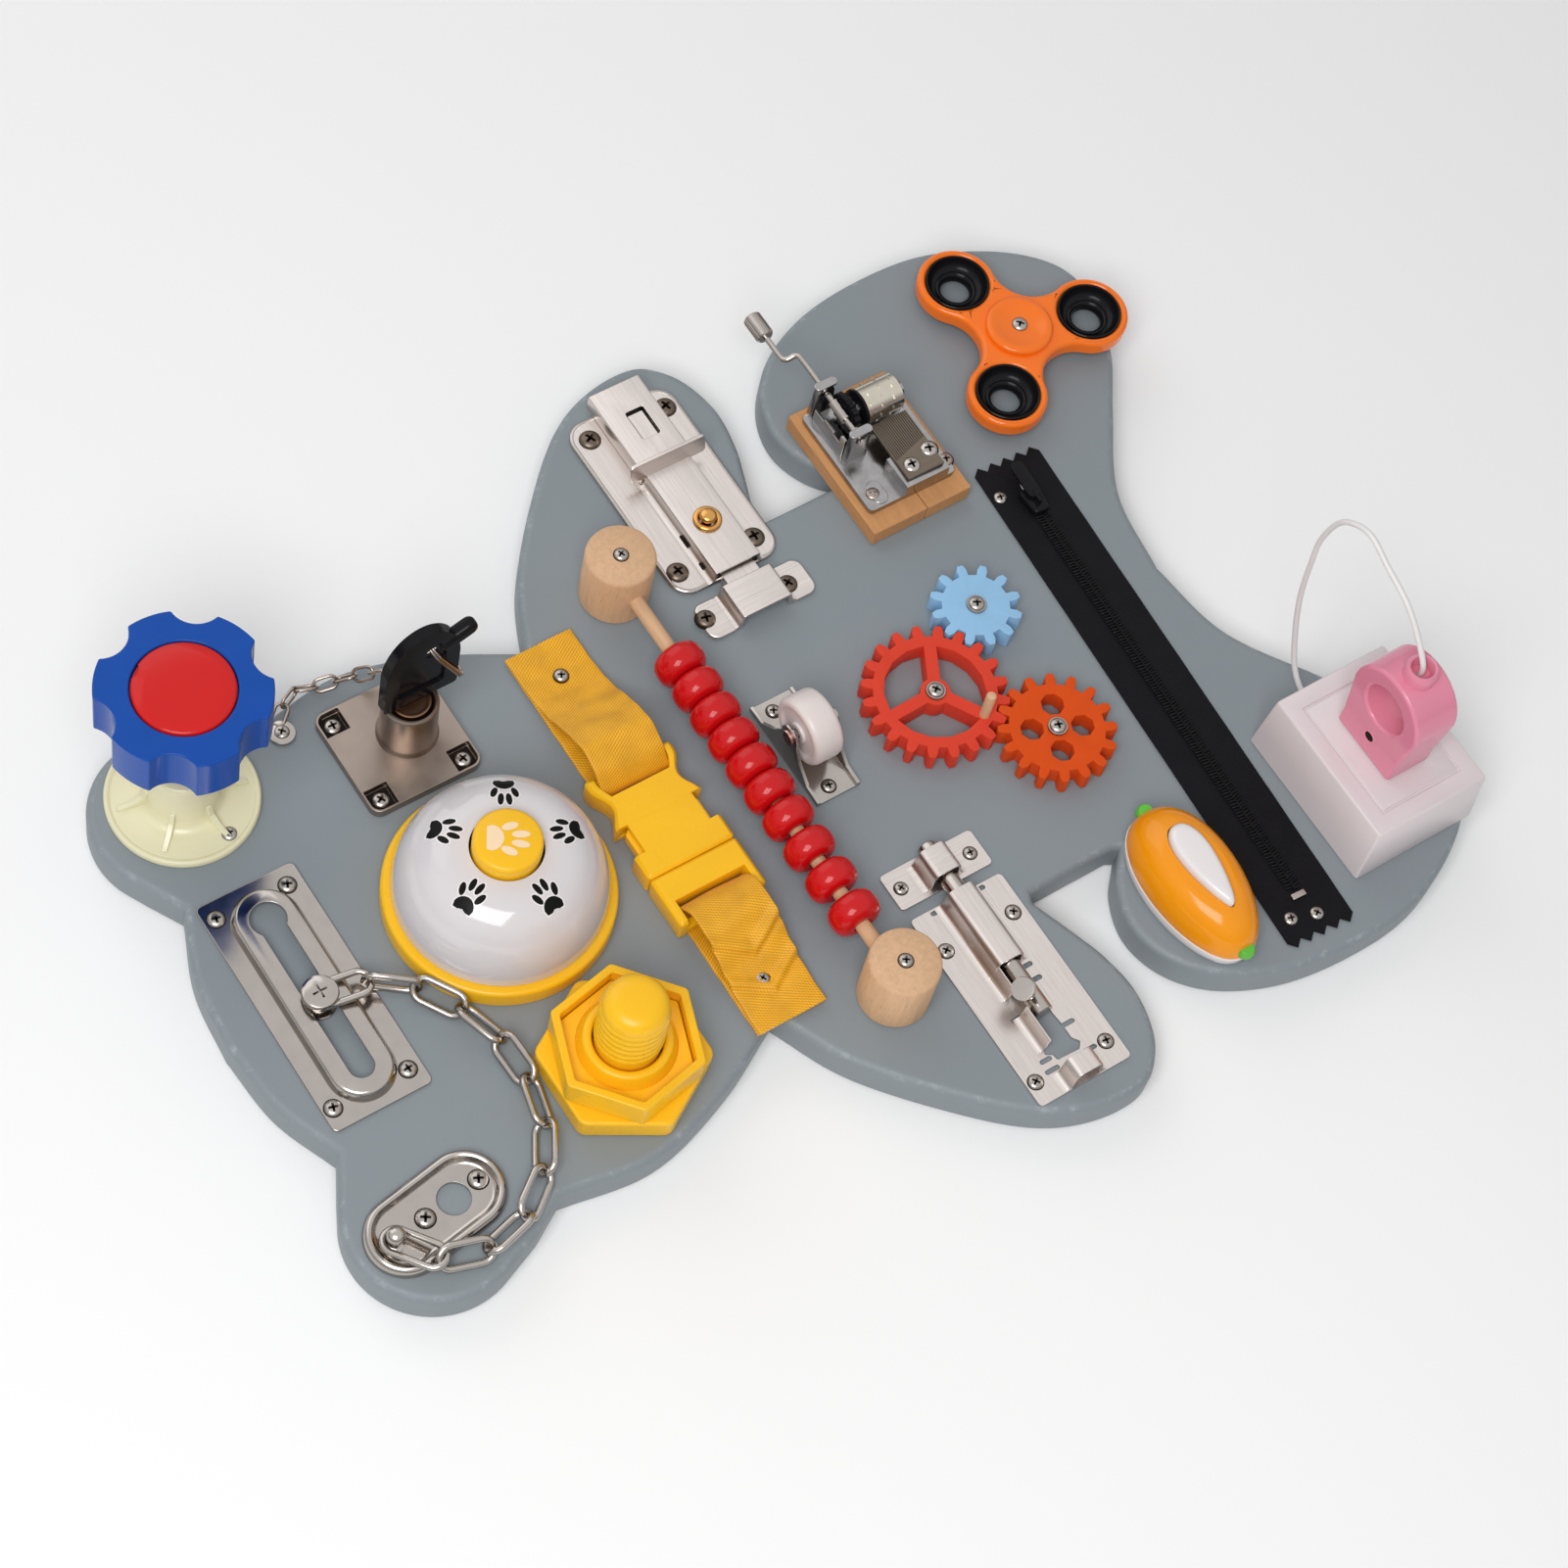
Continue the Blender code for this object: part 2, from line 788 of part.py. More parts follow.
def link(long, wide, wire, start, end, roll, bends=3, sides=4):
    """A stadium link of round wire from one joint to the next, rolled about its length."""
    start = Vector(start)
    end = Vector(end)
    along = (end - start).normalized()
    across = along.cross(Vector((0.0, 0.0, 1.0))).normalized()
    across = Matrix.Rotation(math.radians(roll), 3, along) @ across
    normal = along.cross(across)
    middle = (start + end) / 2
    route = stadium(long - wire, wide - wire, bends)
    sections = []
    for number, point in enumerate(route):
        before = route[number - 1]
        after = route[(number + 1) % len(route)]
        heading = (after - before).normalized()
        out = along * heading.y - across * heading.x
        centre = middle + along * point.x + across * point.y
        ring = []
        for side in range(sides):
            angle = 2.0 * math.pi * side / sides
            ring.append(centre + out * (math.cos(angle) * wire / 2)
                        + normal * (math.sin(angle) * wire / 2))
        sections.append(ring)
    return loft(sections, closed=True)


def ribbon(route, thick, wide):
    """A flat band: a route of points (x, z) given a thickness, drawn along Y by its width."""
    left = []
    right = []
    for number, point in enumerate(route):
        before = route[max(number - 1, 0)]
        after = route[min(number + 1, len(route) - 1)]
        heading = (after - before).normalized()
        side = Vector((-heading.y, heading.x)) * (thick / 2)
        left.append(point + side)
        right.append(point - side)
    sections = []
    for a, b in zip(left, right):
        sections.append([Vector((a.x, -wide / 2, a.y)), Vector((a.x, wide / 2, a.y)),
                         Vector((b.x, wide / 2, b.y)), Vector((b.x, -wide / 2, b.y))])
    return loft(sections)


# Finishes

GREY = paint("grey_paint", (0.33, 0.41, 0.43), 0.55)
CREAM = paint("cream_plastic", (0.86, 0.81, 0.58), 0.40)
BLUE = paint("blue_plastic", (0.02, 0.12, 0.62), 0.32)
SKY = paint("light_blue_plastic", (0.30, 0.54, 0.79), 0.40)
RED = paint("red_plastic", (0.72, 0.01, 0.01), 0.30)
YELLOW = paint("yellow_plastic", (0.95, 0.52, 0.01), 0.38)
WHITE = paint("white_plastic", (0.85, 0.85, 0.85), 0.30)
BLACK = paint("black_plastic", (0.02, 0.02, 0.02), 0.40)
PINK = paint("pink_plastic", (0.90, 0.32, 0.42), 0.28)
SALMON = paint("salmon_plastic", (0.85, 0.13, 0.02), 0.40)
ORANGE = paint("orange_plastic", (0.95, 0.15, 0.01), 0.30)
NYLON = paint("white_nylon", (0.85, 0.83, 0.80), 0.45)
NICKEL = paint("bright_nickel", (0.72, 0.69, 0.65), 0.22, 1.0)
STEEL = paint("plain_steel", (0.55, 0.54, 0.52), 0.35, 1.0)
BRASS = paint("brass", (0.70, 0.47, 0.16), 0.30, 1.0)
BEECH = paint("pale_wood", (0.80, 0.58, 0.36), 0.60)
WEBBING = paint("yellow_webbing", (0.85, 0.45, 0.02), 0.85)
TAPE = paint("black_tape", (0.01, 0.01, 0.01), 0.90)


# Board, with the shoulder screws of the gears

def board_outline():
    """The bear: legs, arms, cheeks and ears, the left half mirrored from the right one."""
    half = []
    run = []
    for number, shares in enumerate(leg_runs_share):
        points = [Vector((x * board_half_width, y * board_half_length)) for x, y in shares]
        if number == 3:
            points = [run[-1]] + points
        run = smooth_curve(points, outline_step)
        half += run if number < 3 else run[1:]
    ear = Vector((ear_centre_share[0] * board_half_width, ear_centre_share[1] * board_half_length))
    half.append(Vector((ear_foot_share[0] * board_half_width, ear_foot_share[1] * board_half_length)))
    half += arc(ear, ear_r, 180.0 * ear_from_share, 180.0 * ear_to_share, 8)
    head = [Vector((x * board_half_width, y * board_half_length)) for x, y in head_run_share]
    half.append(head[0])
    half += smooth_curve(head[1:], outline_step)
    left = [Vector((-point.x, point.y)) for point in reversed(half[1:-1])]
    return half + left


def gear_places():
    """Each gear's name, teeth, centre and the angle of one of its teeth."""
    red = place(red_share)
    gears = [("gear_red", red_teeth, red, red_tooth_at)]
    for name, teeth, bearing in (("gear_blue", blue_teeth, blue_bearing),
                                 ("gear_orange", orange_teeth, orange_bearing)):
        reach = gear_module * (red_teeth + teeth) / 2
        angle = math.radians(bearing)
        centre = red + Vector((math.cos(angle), math.sin(angle), 0.0)) * reach
        phase = (red_tooth_at - bearing) / (360.0 / red_teeth)
        tooth_at = bearing + 180.0 + (0.5 - phase) * 360.0 / teeth
        gears.append((name, teeth, centre, tooth_at))
    return gears


def make_board():
    outline = board_outline()
    solid = prism(outline, 0.0, board_thick, board_edge_r, board_edge_r)
    top = gap + gear_thick + gap
    for name, teeth, centre, tooth_at in gear_places():
        screw = turned([(0.0, -sink), (pivot_r, -sink), (pivot_r, top), (pivot_head_r, top),
                        (pivot_head_r * 0.8, top + pivot_head_high * 0.7),
                        (0.0, top + pivot_head_high)], 8)
        solid = combine(solid, moved(screw, centre))
    add_piece("board", solid, GREY)


# Water tap

def notched_wheel(radius):
    """The handwheel's outline: flat lobes with shallow round notches between them."""
    reach = radius - wheel_notch_deep + wheel_notch_r
    meet = (radius ** 2 + reach ** 2 - wheel_notch_r ** 2) / (2 * radius * reach)
    half_notch = math.degrees(math.acos(meet))
    side = radius * math.sin(math.radians(half_notch))
    swing = math.degrees(math.asin(side / wheel_notch_r))
    pitch = 360.0 / wheel_lobes
    outline = []
    for number in range(wheel_lobes):
        lobe = pitch * number
        outline += arc((0.0, 0.0), radius, lobe - pitch / 2 + half_notch,
                       lobe + pitch / 2 - half_notch, 2)
        middle = math.radians(lobe + pitch / 2)
        centre = (reach * math.cos(middle), reach * math.sin(middle))
        away = lobe + pitch / 2 + 180.0
        outline += arc(centre, wheel_notch_r, away + swing, away - swing, 3)[1:-1]
    return outline


def make_tap():
    where = place(tap_share)
    rim_in = flange_r - flange_rim_r
    solid = turned([
        (0.0, gap), (flange_r, gap), (flange_r, flange_high),
        (rim_in, flange_high + flange_rim_r / 2), (rim_in - flange_rim_r, flange_high),
        (tap_hub_foot_r, flange_high - gap), (tap_hub_r, flange_high + tap_hub_foot_r - tap_hub_r),
        (tap_hub_r - tap_hub_edge / 2, tap_hub_high - tap_hub_edge),
        (tap_hub_r - 2 * tap_hub_edge, tap_hub_high), (0.0, tap_hub_high)], 20)
    for number in range(tap_rib_count):
        rib = [Vector((0.0, flange_high - sink)), Vector((tap_hub_foot_r + tap_rib_long, flange_high - sink)),
               Vector((tap_hub_foot_r, flange_high + tap_rib_high / 3)),
               Vector((tap_hub_r + sink, flange_high + tap_rib_high)),
               Vector((0.0, flange_high + tap_rib_high))]
        wedge = prism(rib, -tap_rib_thick / 2, tap_rib_thick / 2)
        moved(wedge, turn=turned_by(90.0, "X"))
        moved(wedge, turn=turned_by(360.0 * (number + 0.25) / tap_rib_count))
        solid = combine(solid, wedge)
    nut = prism(hexagon(tap_nut_r, 0.0, tap_hub_edge, 1), tap_hub_high - sink,
                tap_hub_high + tap_nut_high, tap_hub_edge / 2)
    top = wheel_low - wheel_hub_drop + spindle_seat_deep - running
    spindle = prism(circle(spindle_r, 12), tap_hub_high, top, tap_hub_edge / 2)
    add_piece("valve_flange", joined([solid, nut, spindle]), CREAM, where)

    wheel = prism(notched_wheel(wheel_r), 0.0, wheel_thick, wheel_edge_r, wheel_edge_r)
    cavity = pierced(circle(wheel_cavity_r, 18), [circle(wheel_hub_r, 12)], -overrun,
                     wheel_cavity_deep)
    hub = cylinder(wheel_hub_r, -wheel_hub_drop, wheel_cavity_deep + sink, 12)
    seat = cylinder(spindle_r + running, -wheel_hub_drop - overrun,
                    spindle_seat_deep - wheel_hub_drop, 12)
    recess = cylinder(cap_r + gap, wheel_thick - cap_thick - gap, wheel_thick + overrun, 22)
    wheel = cut(combine(wheel, hub), [cavity, seat, recess])
    moved(wheel, turn=turned_by(-6.0))
    add_piece("valve_handwheel", wheel, BLUE, where + Vector((0.0, 0.0, wheel_low)))

    low = wheel_thick - cap_thick
    cap = turned([(0.0, low), (cap_r, low), (cap_r, wheel_thick - cap_crown / 2),
                  (cap_r - cap_crown, wheel_thick), (0.0, wheel_thick + cap_crown)], 22)
    notch = cylinder(cap_notch_r, wheel_thick - cap_notch_deep, wheel_thick + overrun, 16,
                     (0.0, cap_r + cap_notch_r - cap_notch_deep * 2))
    cap = cut(cap, [notch])
    moved(cap, turn=turned_by(-50.0))
    add_piece("valve_cap", cap, RED, where + Vector((0.0, 0.0, wheel_low)))


# Drawer lock with its key and key chain

def lock_axis():
    return place(lock_share) + Vector((lock_offset_x, lock_offset_y, 0.0))


def make_lock():
    where = lock_axis()
    shift = (-lock_offset_x, -lock_offset_y)
    base = prism(rounded_rectangle(lock_side, lock_side, lock_corner_r, 3, shift), gap, lock_base_thick)
    inner = lock_side / 2 - lock_pocket
    outer = lock_side / 2 - lock_base_thick / 4
    cross = [(inner, -outer), (inner, -inner), (outer, -inner), (outer, inner), (inner, inner),
             (inner, outer), (-inner, outer), (-inner, inner), (-outer, inner), (-outer, -inner),
             (-inner, -inner), (-inner, -outer)]
    panel = prism([Vector(point) + Vector(shift) for point in cross], lock_base_thick - sink, lock_high,
                  lock_base_thick / 4)
    barrel = prism(circle(lock_barrel_r, 20), lock_high - sink, lock_barrel_high, lock_barrel_edge)
    bore = cylinder(core_r + running, lock_barrel_high - core_deep - running,
                    lock_barrel_high + overrun, 16)
    body = cut(joined([base, panel, barrel]), [bore])
    add_piece("lock_body", body, NICKEL, where)

    top = lock_barrel_high + core_rim
    core = prism(circle(core_r, 16), lock_barrel_high - core_deep, top, core_rim / 2)
    slot = box((-keyway_thick / 2, -keyway_wide / 2, top - keyway_deep),
               (keyway_thick / 2, keyway_wide / 2, top + overrun))
    add_piece("lock_core", cut(core, [slot]), STEEL, where)

    add_piece("key", key_solid(), BLACK, where)


def key_bow(low, high, margin):
    """The bow's D outline, drawn in by a margin all round."""
    half = key_bow_wide / 2 - margin
    arch_high = key_bow_arch_high - margin
    across = half - key_bow_r
    outline = (arc((key_offset_y - across, low + margin + key_bow_r), key_bow_r, 180.0, 270.0, 2)
               + arc((key_offset_y + across, low + margin + key_bow_r), key_bow_r, 270.0, 360.0, 2))
    for point in arc((0.0, 0.0), 1.0, 0.0, 180.0, 12):
        outline.append(Vector((key_offset_y + point.x * half,
                               high - margin - arch_high + point.y * arch_high)))
    return outline


def key_solid():
    """A flat key that stands in the core: blade, D-shaped bow with a raised rim, and a side lug."""
    face = lock_barrel_high + core_rim
    bow_low = face + key_neck_high
    bow_top = lock_barrel_high + key_high
    bow_outline = key_bow(bow_low, bow_top, 0.0)
    bow = prism(bow_outline, -key_thick / 2, key_thick / 2, key_panel_deep, key_panel_deep)
    neck = prism(rectangle(key_neck_wide, key_neck_high + sink, (0.0, face + gap + key_neck_high / 2)),
                 -key_thick / 2, key_thick / 2)
    blade_wide = keyway_wide - 2 * running
    blade_low = face - keyway_deep + running
    tooth = blade_wide / 4
    blade_outline = [Vector((-blade_wide / 2, blade_low)), Vector((blade_wide / 4, blade_low)),
                     Vector((blade_wide / 2, blade_low + tooth))]
    for number in range(3):
        high = blade_low + tooth * (2 + 2 * number)
        blade_outline += [Vector((blade_wide / 2 - tooth / 2, high)), Vector((blade_wide / 2, high + tooth))]
    blade_outline += [Vector((blade_wide / 2, face + gap + sink)),
                      Vector((-blade_wide / 2, face + gap + sink))]
    half_blade = keyway_thick / 2 - running
    blade = prism(blade_outline, -half_blade, half_blade)
    tilt = Matrix.Rotation(math.radians(key_lug_tilt), 2)
    lug_middle = Vector((key_lug_y, bow_top - key_lug_down))
    lug_outline = [lug_middle + tilt @ point for point in stadium(key_lug_long, key_lug_wide, 3)]
    lug_edge = key_lug_thick / 4
    lug = prism(lug_outline, -key_lug_thick / 2, key_lug_thick / 2, lug_edge, lug_edge)
    panel = key_bow(bow_low, bow_top, key_rim_wide)
    front = prism(panel, key_thick / 2 - key_panel_deep, key_thick / 2 + overrun)
    back = prism(panel, -key_thick / 2 - overrun, key_panel_deep - key_thick / 2)
    eye = prism(circle(key_hole_r, 10, (key_hole_y, bow_top - key_hole_down)), -key_thick, key_thick)
    solid = cut(joined([bow, neck, blade]), [front, back, eye])
    return moved(joined([solid, lug]), turn=STAND_ALONG_X)


def make_key_chain():
    """Small links from a tab under an anchor screw to a wire loop through the eye of the key's bow."""
    axis = lock_axis()
    eye = Vector((axis.x, axis.y + key_hole_y,
                  board_thick + lock_barrel_high + key_high - key_hole_down))
    lean = math.radians(key_loop_lean)
    hang = Vector((0.0, -math.sin(lean), -math.cos(lean)))
    half_wide = (key_loop_wide - key_wire) / 2
    behind = half_wide - key_thick / 2 - key_wire / 2 - gap
    half_chord = (key_loop_long - key_loop_wide) / 2 + math.sqrt(half_wide ** 2 - behind ** 2)
    loop_middle = eye + hang * half_chord + Vector((behind, 0.0, 0.0))
    anchor = place(key_anchor_share)
    route = [anchor + Vector((key_anchor_r + key_wire / 2, 0.0, key_wire))]
    for right, up, out in key_chain_run:
        route.append(anchor + Vector((right, up, out)))
    route.append(loop_middle + Vector((half_wide + key_wire / 4, 0.0, 0.0)))
    pitch = key_link_long - 2 * key_wire + link_bite
    fine = smooth_curve(route, gap * 4)
    length = sum((b - a).length for a, b in zip(fine, fine[1:]))
    count = round(length / pitch)
    joints = resampled(fine, count=count + 1)
    long = length / count + 2 * key_wire - link_bite
    solids = []
    for number, (a, b) in enumerate(zip(joints, joints[1:])):
        roll = 45.0 if number % 2 else -45.0
        if number < 2:
            roll = 80.0 * number
        solids.append(link(long, key_link_wide, key_wire, a, b, roll, 2, 4))
    half_loop = hang * (key_loop_long / 2)
    loop = link(key_loop_long, key_loop_wide, key_wire, loop_middle - half_loop, loop_middle + half_loop,
                0.0, 5, 4)
    tab = turned([(0.0, gap), (key_anchor_r + key_wire, gap), (key_anchor_r + key_wire, key_wire),
                  (key_anchor_r, key_wire + gap), (key_anchor_r * 0.8, key_anchor_high),
                  (0.0, key_anchor_high + gap)], 10)
    solids = [moved(tab, anchor)] + solids + [loop]
    add_piece("key_chain", joined(solids), NICKEL)


# Door chain

def track_hub():
    return place(track_share)


def make_track():
    where = track_hub()
    plate = prism(rounded_rectangle(track_long, track_wide, track_corner_r, 2), gap, track_thick)
    raised = [at_height(stadium(track_raised_long, track_raised_wide, 8), track_thick - sink),
              at_height(stadium(track_raised_long, track_raised_wide, 8), track_thick),
              at_height(stadium(track_raised_long - 2 * track_slope, track_raised_wide - 2 * track_slope, 8),
                        track_high)]
    hollow = stadium(track_raised_long - 2 * track_slope - 2 * track_thick,
                     track_raised_wide - 2 * track_slope - 2 * track_thick, 6)
    cavity = prism(hollow, -overrun, track_high - track_thick)
    slot_long = slot_start + slot_reach + slot_wide / 2
    slot = prism(stadium(slot_long, slot_wide, 6, ((slot_reach + slot_wide / 2 - slot_start) / 2, 0.0)),
                 -overrun, track_high + overrun)
    hole = cylinder(slot_round_r, -overrun, track_high + overrun, 16, (slot_reach, 0.0))
    solid = cut(combine(plate, loft(raised)), [cavity, combine(slot, hole)])
    add_piece("chain_track", solid, NICKEL, where)

    low = 2 * gap
    flange_top = low + slider_flange_thick
    neck_top = track_high + 2 * gap
    head_low = neck_top + slider_waist_high
    slider = turned([(0.0, low), (slider_flange_r, low), (slider_flange_r, flange_top),
                     (slider_neck_r, flange_top), (slider_neck_r, neck_top), (slider_waist_r, neck_top),
                     (slider_waist_r, head_low), (slider_head_r, head_low),
                     (slider_head_r, head_low + slider_head_high * 0.6),
                     (slider_head_r * 0.8, head_low + slider_head_high),
                     (0.0, head_low + slider_head_high)], 12)
    add_piece("chain_slider", slider, NICKEL, where + Vector((slider_place, 0.0, 0.0)))


def stud_link_high():
    """The height over the board at which the last link lies on the anchor's rim."""
    return anchor_high + gap


def make_chain_anchor():
    where = place(anchor_share)
    half = anchor_rim / 2
    sections = [
        at_height(stadium(anchor_long, anchor_wide, 6), gap),
        at_height(stadium(anchor_long - half, anchor_wide - half, 6), anchor_high - half),
        at_height(stadium(anchor_long - 2 * half, anchor_wide - 2 * half, 6), anchor_high),
        at_height(stadium(anchor_long - 3 * half, anchor_wide - 3 * half, 6), anchor_high - half / 2),
        at_height(stadium(anchor_long - 4 * half, anchor_wide - 4 * half, 6), anchor_floor)]
    dish = loft(sections)
    hole = cylinder(anchor_hole_r, -overrun, anchor_high, 16, (anchor_hole_place, 0.0))
    ball_at = stud_link_high() + link_wire / 2 + running + stud_ball_r * 0.85
    stud = turned([(0.0, anchor_floor - sink), (stud_neck_r, anchor_floor - sink),
                   (stud_neck_r, ball_at - stud_ball_r * 0.85),
                   (stud_ball_r * 0.8, ball_at - stud_ball_r * 0.6),
                   (stud_ball_r, ball_at), (stud_ball_r * 0.7, ball_at + stud_ball_r * 0.7),
                   (0.0, ball_at + stud_ball_r)], 10)
    solid = combine(cut(dish, [hole]), moved(stud, (anchor_stud_place, 0.0, 0.0)))
    moved(solid, turn=turned_by(anchor_turn))
    add_piece("chain_anchor", solid, NICKEL, where)


def make_door_chain():
    """Stadium links, each lying across the next, from the slider's waist to the anchor's stud."""
    start = track_hub() + Vector((slider_place, 0.0, track_high + 2 * gap + slider_waist_high / 2))
    angle = math.radians(anchor_turn)
    stud = place(anchor_share) + Vector((math.cos(angle), math.sin(angle), 0.0)) * anchor_stud_place
    stud.z += stud_link_high()
    lies = (link_wide - link_wire) * math.sqrt(0.5) / 2 + link_wire / 2 + gap
    route = [start] + [place(share, lies) for share in chain_lies_share] + [stud]
    route[1].z = board_thick + track_high + link_wire
    route[-2].z = board_thick + anchor_high + link_wire
    fine = smooth_curve(route, gap * 4)
    length = sum((b - a).length for a, b in zip(fine, fine[1:]))
    pitch = link_long - 2 * link_wire + link_bite
    count = round((length - link_long / 2) / pitch) + 1
    # The end links reach round the waist and the stud, so their joints start past both.
    joints = resampled(fine, count=count + 1)
    reach = length / count + 2 * link_wire - link_bite
    solids = []
    for number, (a, b) in enumerate(zip(joints, joints[1:])):
        roll = (0.0, 90.0, 45.0)[number] if number < 3 else (-45.0 if number % 2 else 45.0)
        if number == count - 1:
            roll = 0.0
        long = reach
        if number in (0, count - 1):
            end = a if number == 0 else b
            other = b if number == 0 else a
            along = (end - other).normalized() * (link_wire / 2 + stud_neck_r)
            a, b = (a + along, b) if number == 0 else (a, b + along)
            long = (b - a).length + 2 * link_wire - link_bite
        solids.append(link(long, link_wide, link_wire, a, b, roll))
    add_piece("door_chain", joined(solids), NICKEL)


# Counter bell

def make_bell():
    where = place(bell_share)
    button_low = bell_base_high + dome_high + button_proud - button_high
    base = turned([(0.0, gap), (bell_r, gap), (bell_r, bell_base_high - bell_base_edge),
                   (bell_r - bell_base_edge, bell_base_high), (bell_post_r, bell_base_high),
                   (bell_post_r, button_low - button_travel - running),
                   (0.0, button_low - button_travel - running)], 28)
    add_piece("bell_base", base, YELLOW, where)

    low = bell_base_high + gap
    outer = []
    inner = []
    steps = 4
    flat = dome_mouth_r
    for number in range(steps + 1):
        angle = math.radians(90.0 * number / steps)
        lean = math.cos(angle) ** 0.8
        rise = math.sin(angle) ** 0.9
        outer.append((flat + (dome_r - flat) * lean, low + dome_high * rise))
        inner.append((flat + (dome_r - dome_wall - flat) * lean, low + (dome_high - dome_wall) * rise))
    dome = turned(outer + inner[::-1], 28)
    add_piece("bell_dome", dome, WHITE, where)

    top = button_low + button_high
    button = turned([(0.0, button_low), (button_r, button_low), (button_r, top - button_crown),
                     (button_r - button_crown, top), (0.0, top + button_crown / 2)], 18)
    add_piece("bell_button", button, YELLOW, where)


# Toy bolt and nut

def make_toy_bolt():
    where = place(toy_share)
    head = prism(hexagon(toy_head_r, 0.0, toy_corner_r), gap, toy_head_high, toy_corner_r / 4)
    shaft = turned([(0.0, toy_head_high - sink), (toy_shaft_r, toy_head_high - sink),
                    (toy_shaft_r, toy_shaft_high - toy_shaft_round),
                    (toy_shaft_r * 0.9, toy_shaft_high - toy_shaft_round * 0.5),
                    (toy_shaft_r * 0.6, toy_shaft_high - toy_shaft_round * 0.12), (0.0, toy_shaft_high)], 16)
    add_piece("toy_bolt", combine(head, shaft), YELLOW, where)

    low = toy_head_high + gap
    outline = hexagon(nut_r, nut_turn, toy_corner_r / 2)
    body = prism(outline, low, low + nut_high, toy_corner_r / 8, toy_corner_r / 8)
    inner = hexagon(nut_r - nut_wall / math.cos(math.radians(30.0)), nut_turn, nut_boss_r / 12)
    well = pierced(inner, [circle(nut_boss_r, 16)], low + nut_high - nut_well_deep, low + nut_high + overrun)
    bore = cylinder(toy_shaft_r + nut_bore_play, low - overrun, low + nut_high + overrun, 16)
    add_piece("toy_nut", cut(body, [well, bore]), YELLOW, where)


# Strap and side-release buckle

def make_strap():
    """Two webbing ends, a socket that takes a clip, and the loops that hold them."""
    where = place(strap_share)
    bar_mid = gap + strap_thick + 2 * running + bar_high / 2
    right_end = buckle_centre + socket_long / 2
    left_end = right_end - socket_long - gap - clip_long
    for name, edge, sign, reach, rise in (
            ("strap_upper", right_end, 1.0, upper_strap_reach, upper_loop_rise),
            ("strap_lower", left_end, -1.0, lower_strap_reach, lower_loop_rise)):
        slot_mid = edge - sign * (bar_wide + bar_slot / 2)
        under = gap + strap_thick / 2
        over = bar_mid + bar_high / 2 + running + strap_thick / 2
        route = [Vector((slot_mid + sign * reach, under + strap_thick + gap)),
                 Vector((slot_mid + sign * reach * 0.86, under + strap_thick + gap)),
                 Vector((slot_mid + sign * reach * 0.62, under + strap_thick + rise * 0.16)),
                 Vector((slot_mid + sign * reach * 0.40, under + rise * 0.72)),
                 Vector((slot_mid + sign * reach * 0.22, under + rise)),
                 Vector((slot_mid + sign * reach * 0.07, over + rise * 0.36)),
                 Vector((slot_mid - sign * strap_thick / 4, over)),
                 Vector((slot_mid - sign * strap_thick / 2, bar_mid)),
                 Vector((slot_mid + sign * bar_slot / 4, under)),
                 Vector((slot_mid + sign * reach * 0.25, under)),
                 Vector((slot_mid + sign * reach * 0.70, under)),
                 Vector((slot_mid + sign * reach * 0.98, under))]
        line = [Vector((point.x, max(point.y, under))) for point in smooth_curve(route, count=22)]
        band = ribbon(line, strap_thick, strap_wide)
        add_piece(name, band, WEBBING, where)
    make_buckle(where, right_end)


def strap_bar(edge, sign, low, high):
    """Cutters for the strap's way round a bar at an end of the buckle."""
    slot_far = edge - sign * (bar_wide + bar_slot)
    slot_near = edge - sign * bar_wide
    wide = strap_wide / 2 + running
    bar_low = gap + strap_thick + running
    slot = box((min(slot_far, slot_near), -wide, low), (max(slot_far, slot_near), wide, high))
    under = box((min(slot_near, edge + sign * overrun) - gap, -wide, low),
                (max(slot_near, edge + sign * overrun) + gap, wide, bar_low + running))
    over = box((min(slot_near, edge + sign * overrun) - gap, -wide, bar_low + bar_high),
               (max(slot_near, edge + sign * overrun) + gap, wide, high))
    return [joined([slot, under, over])]


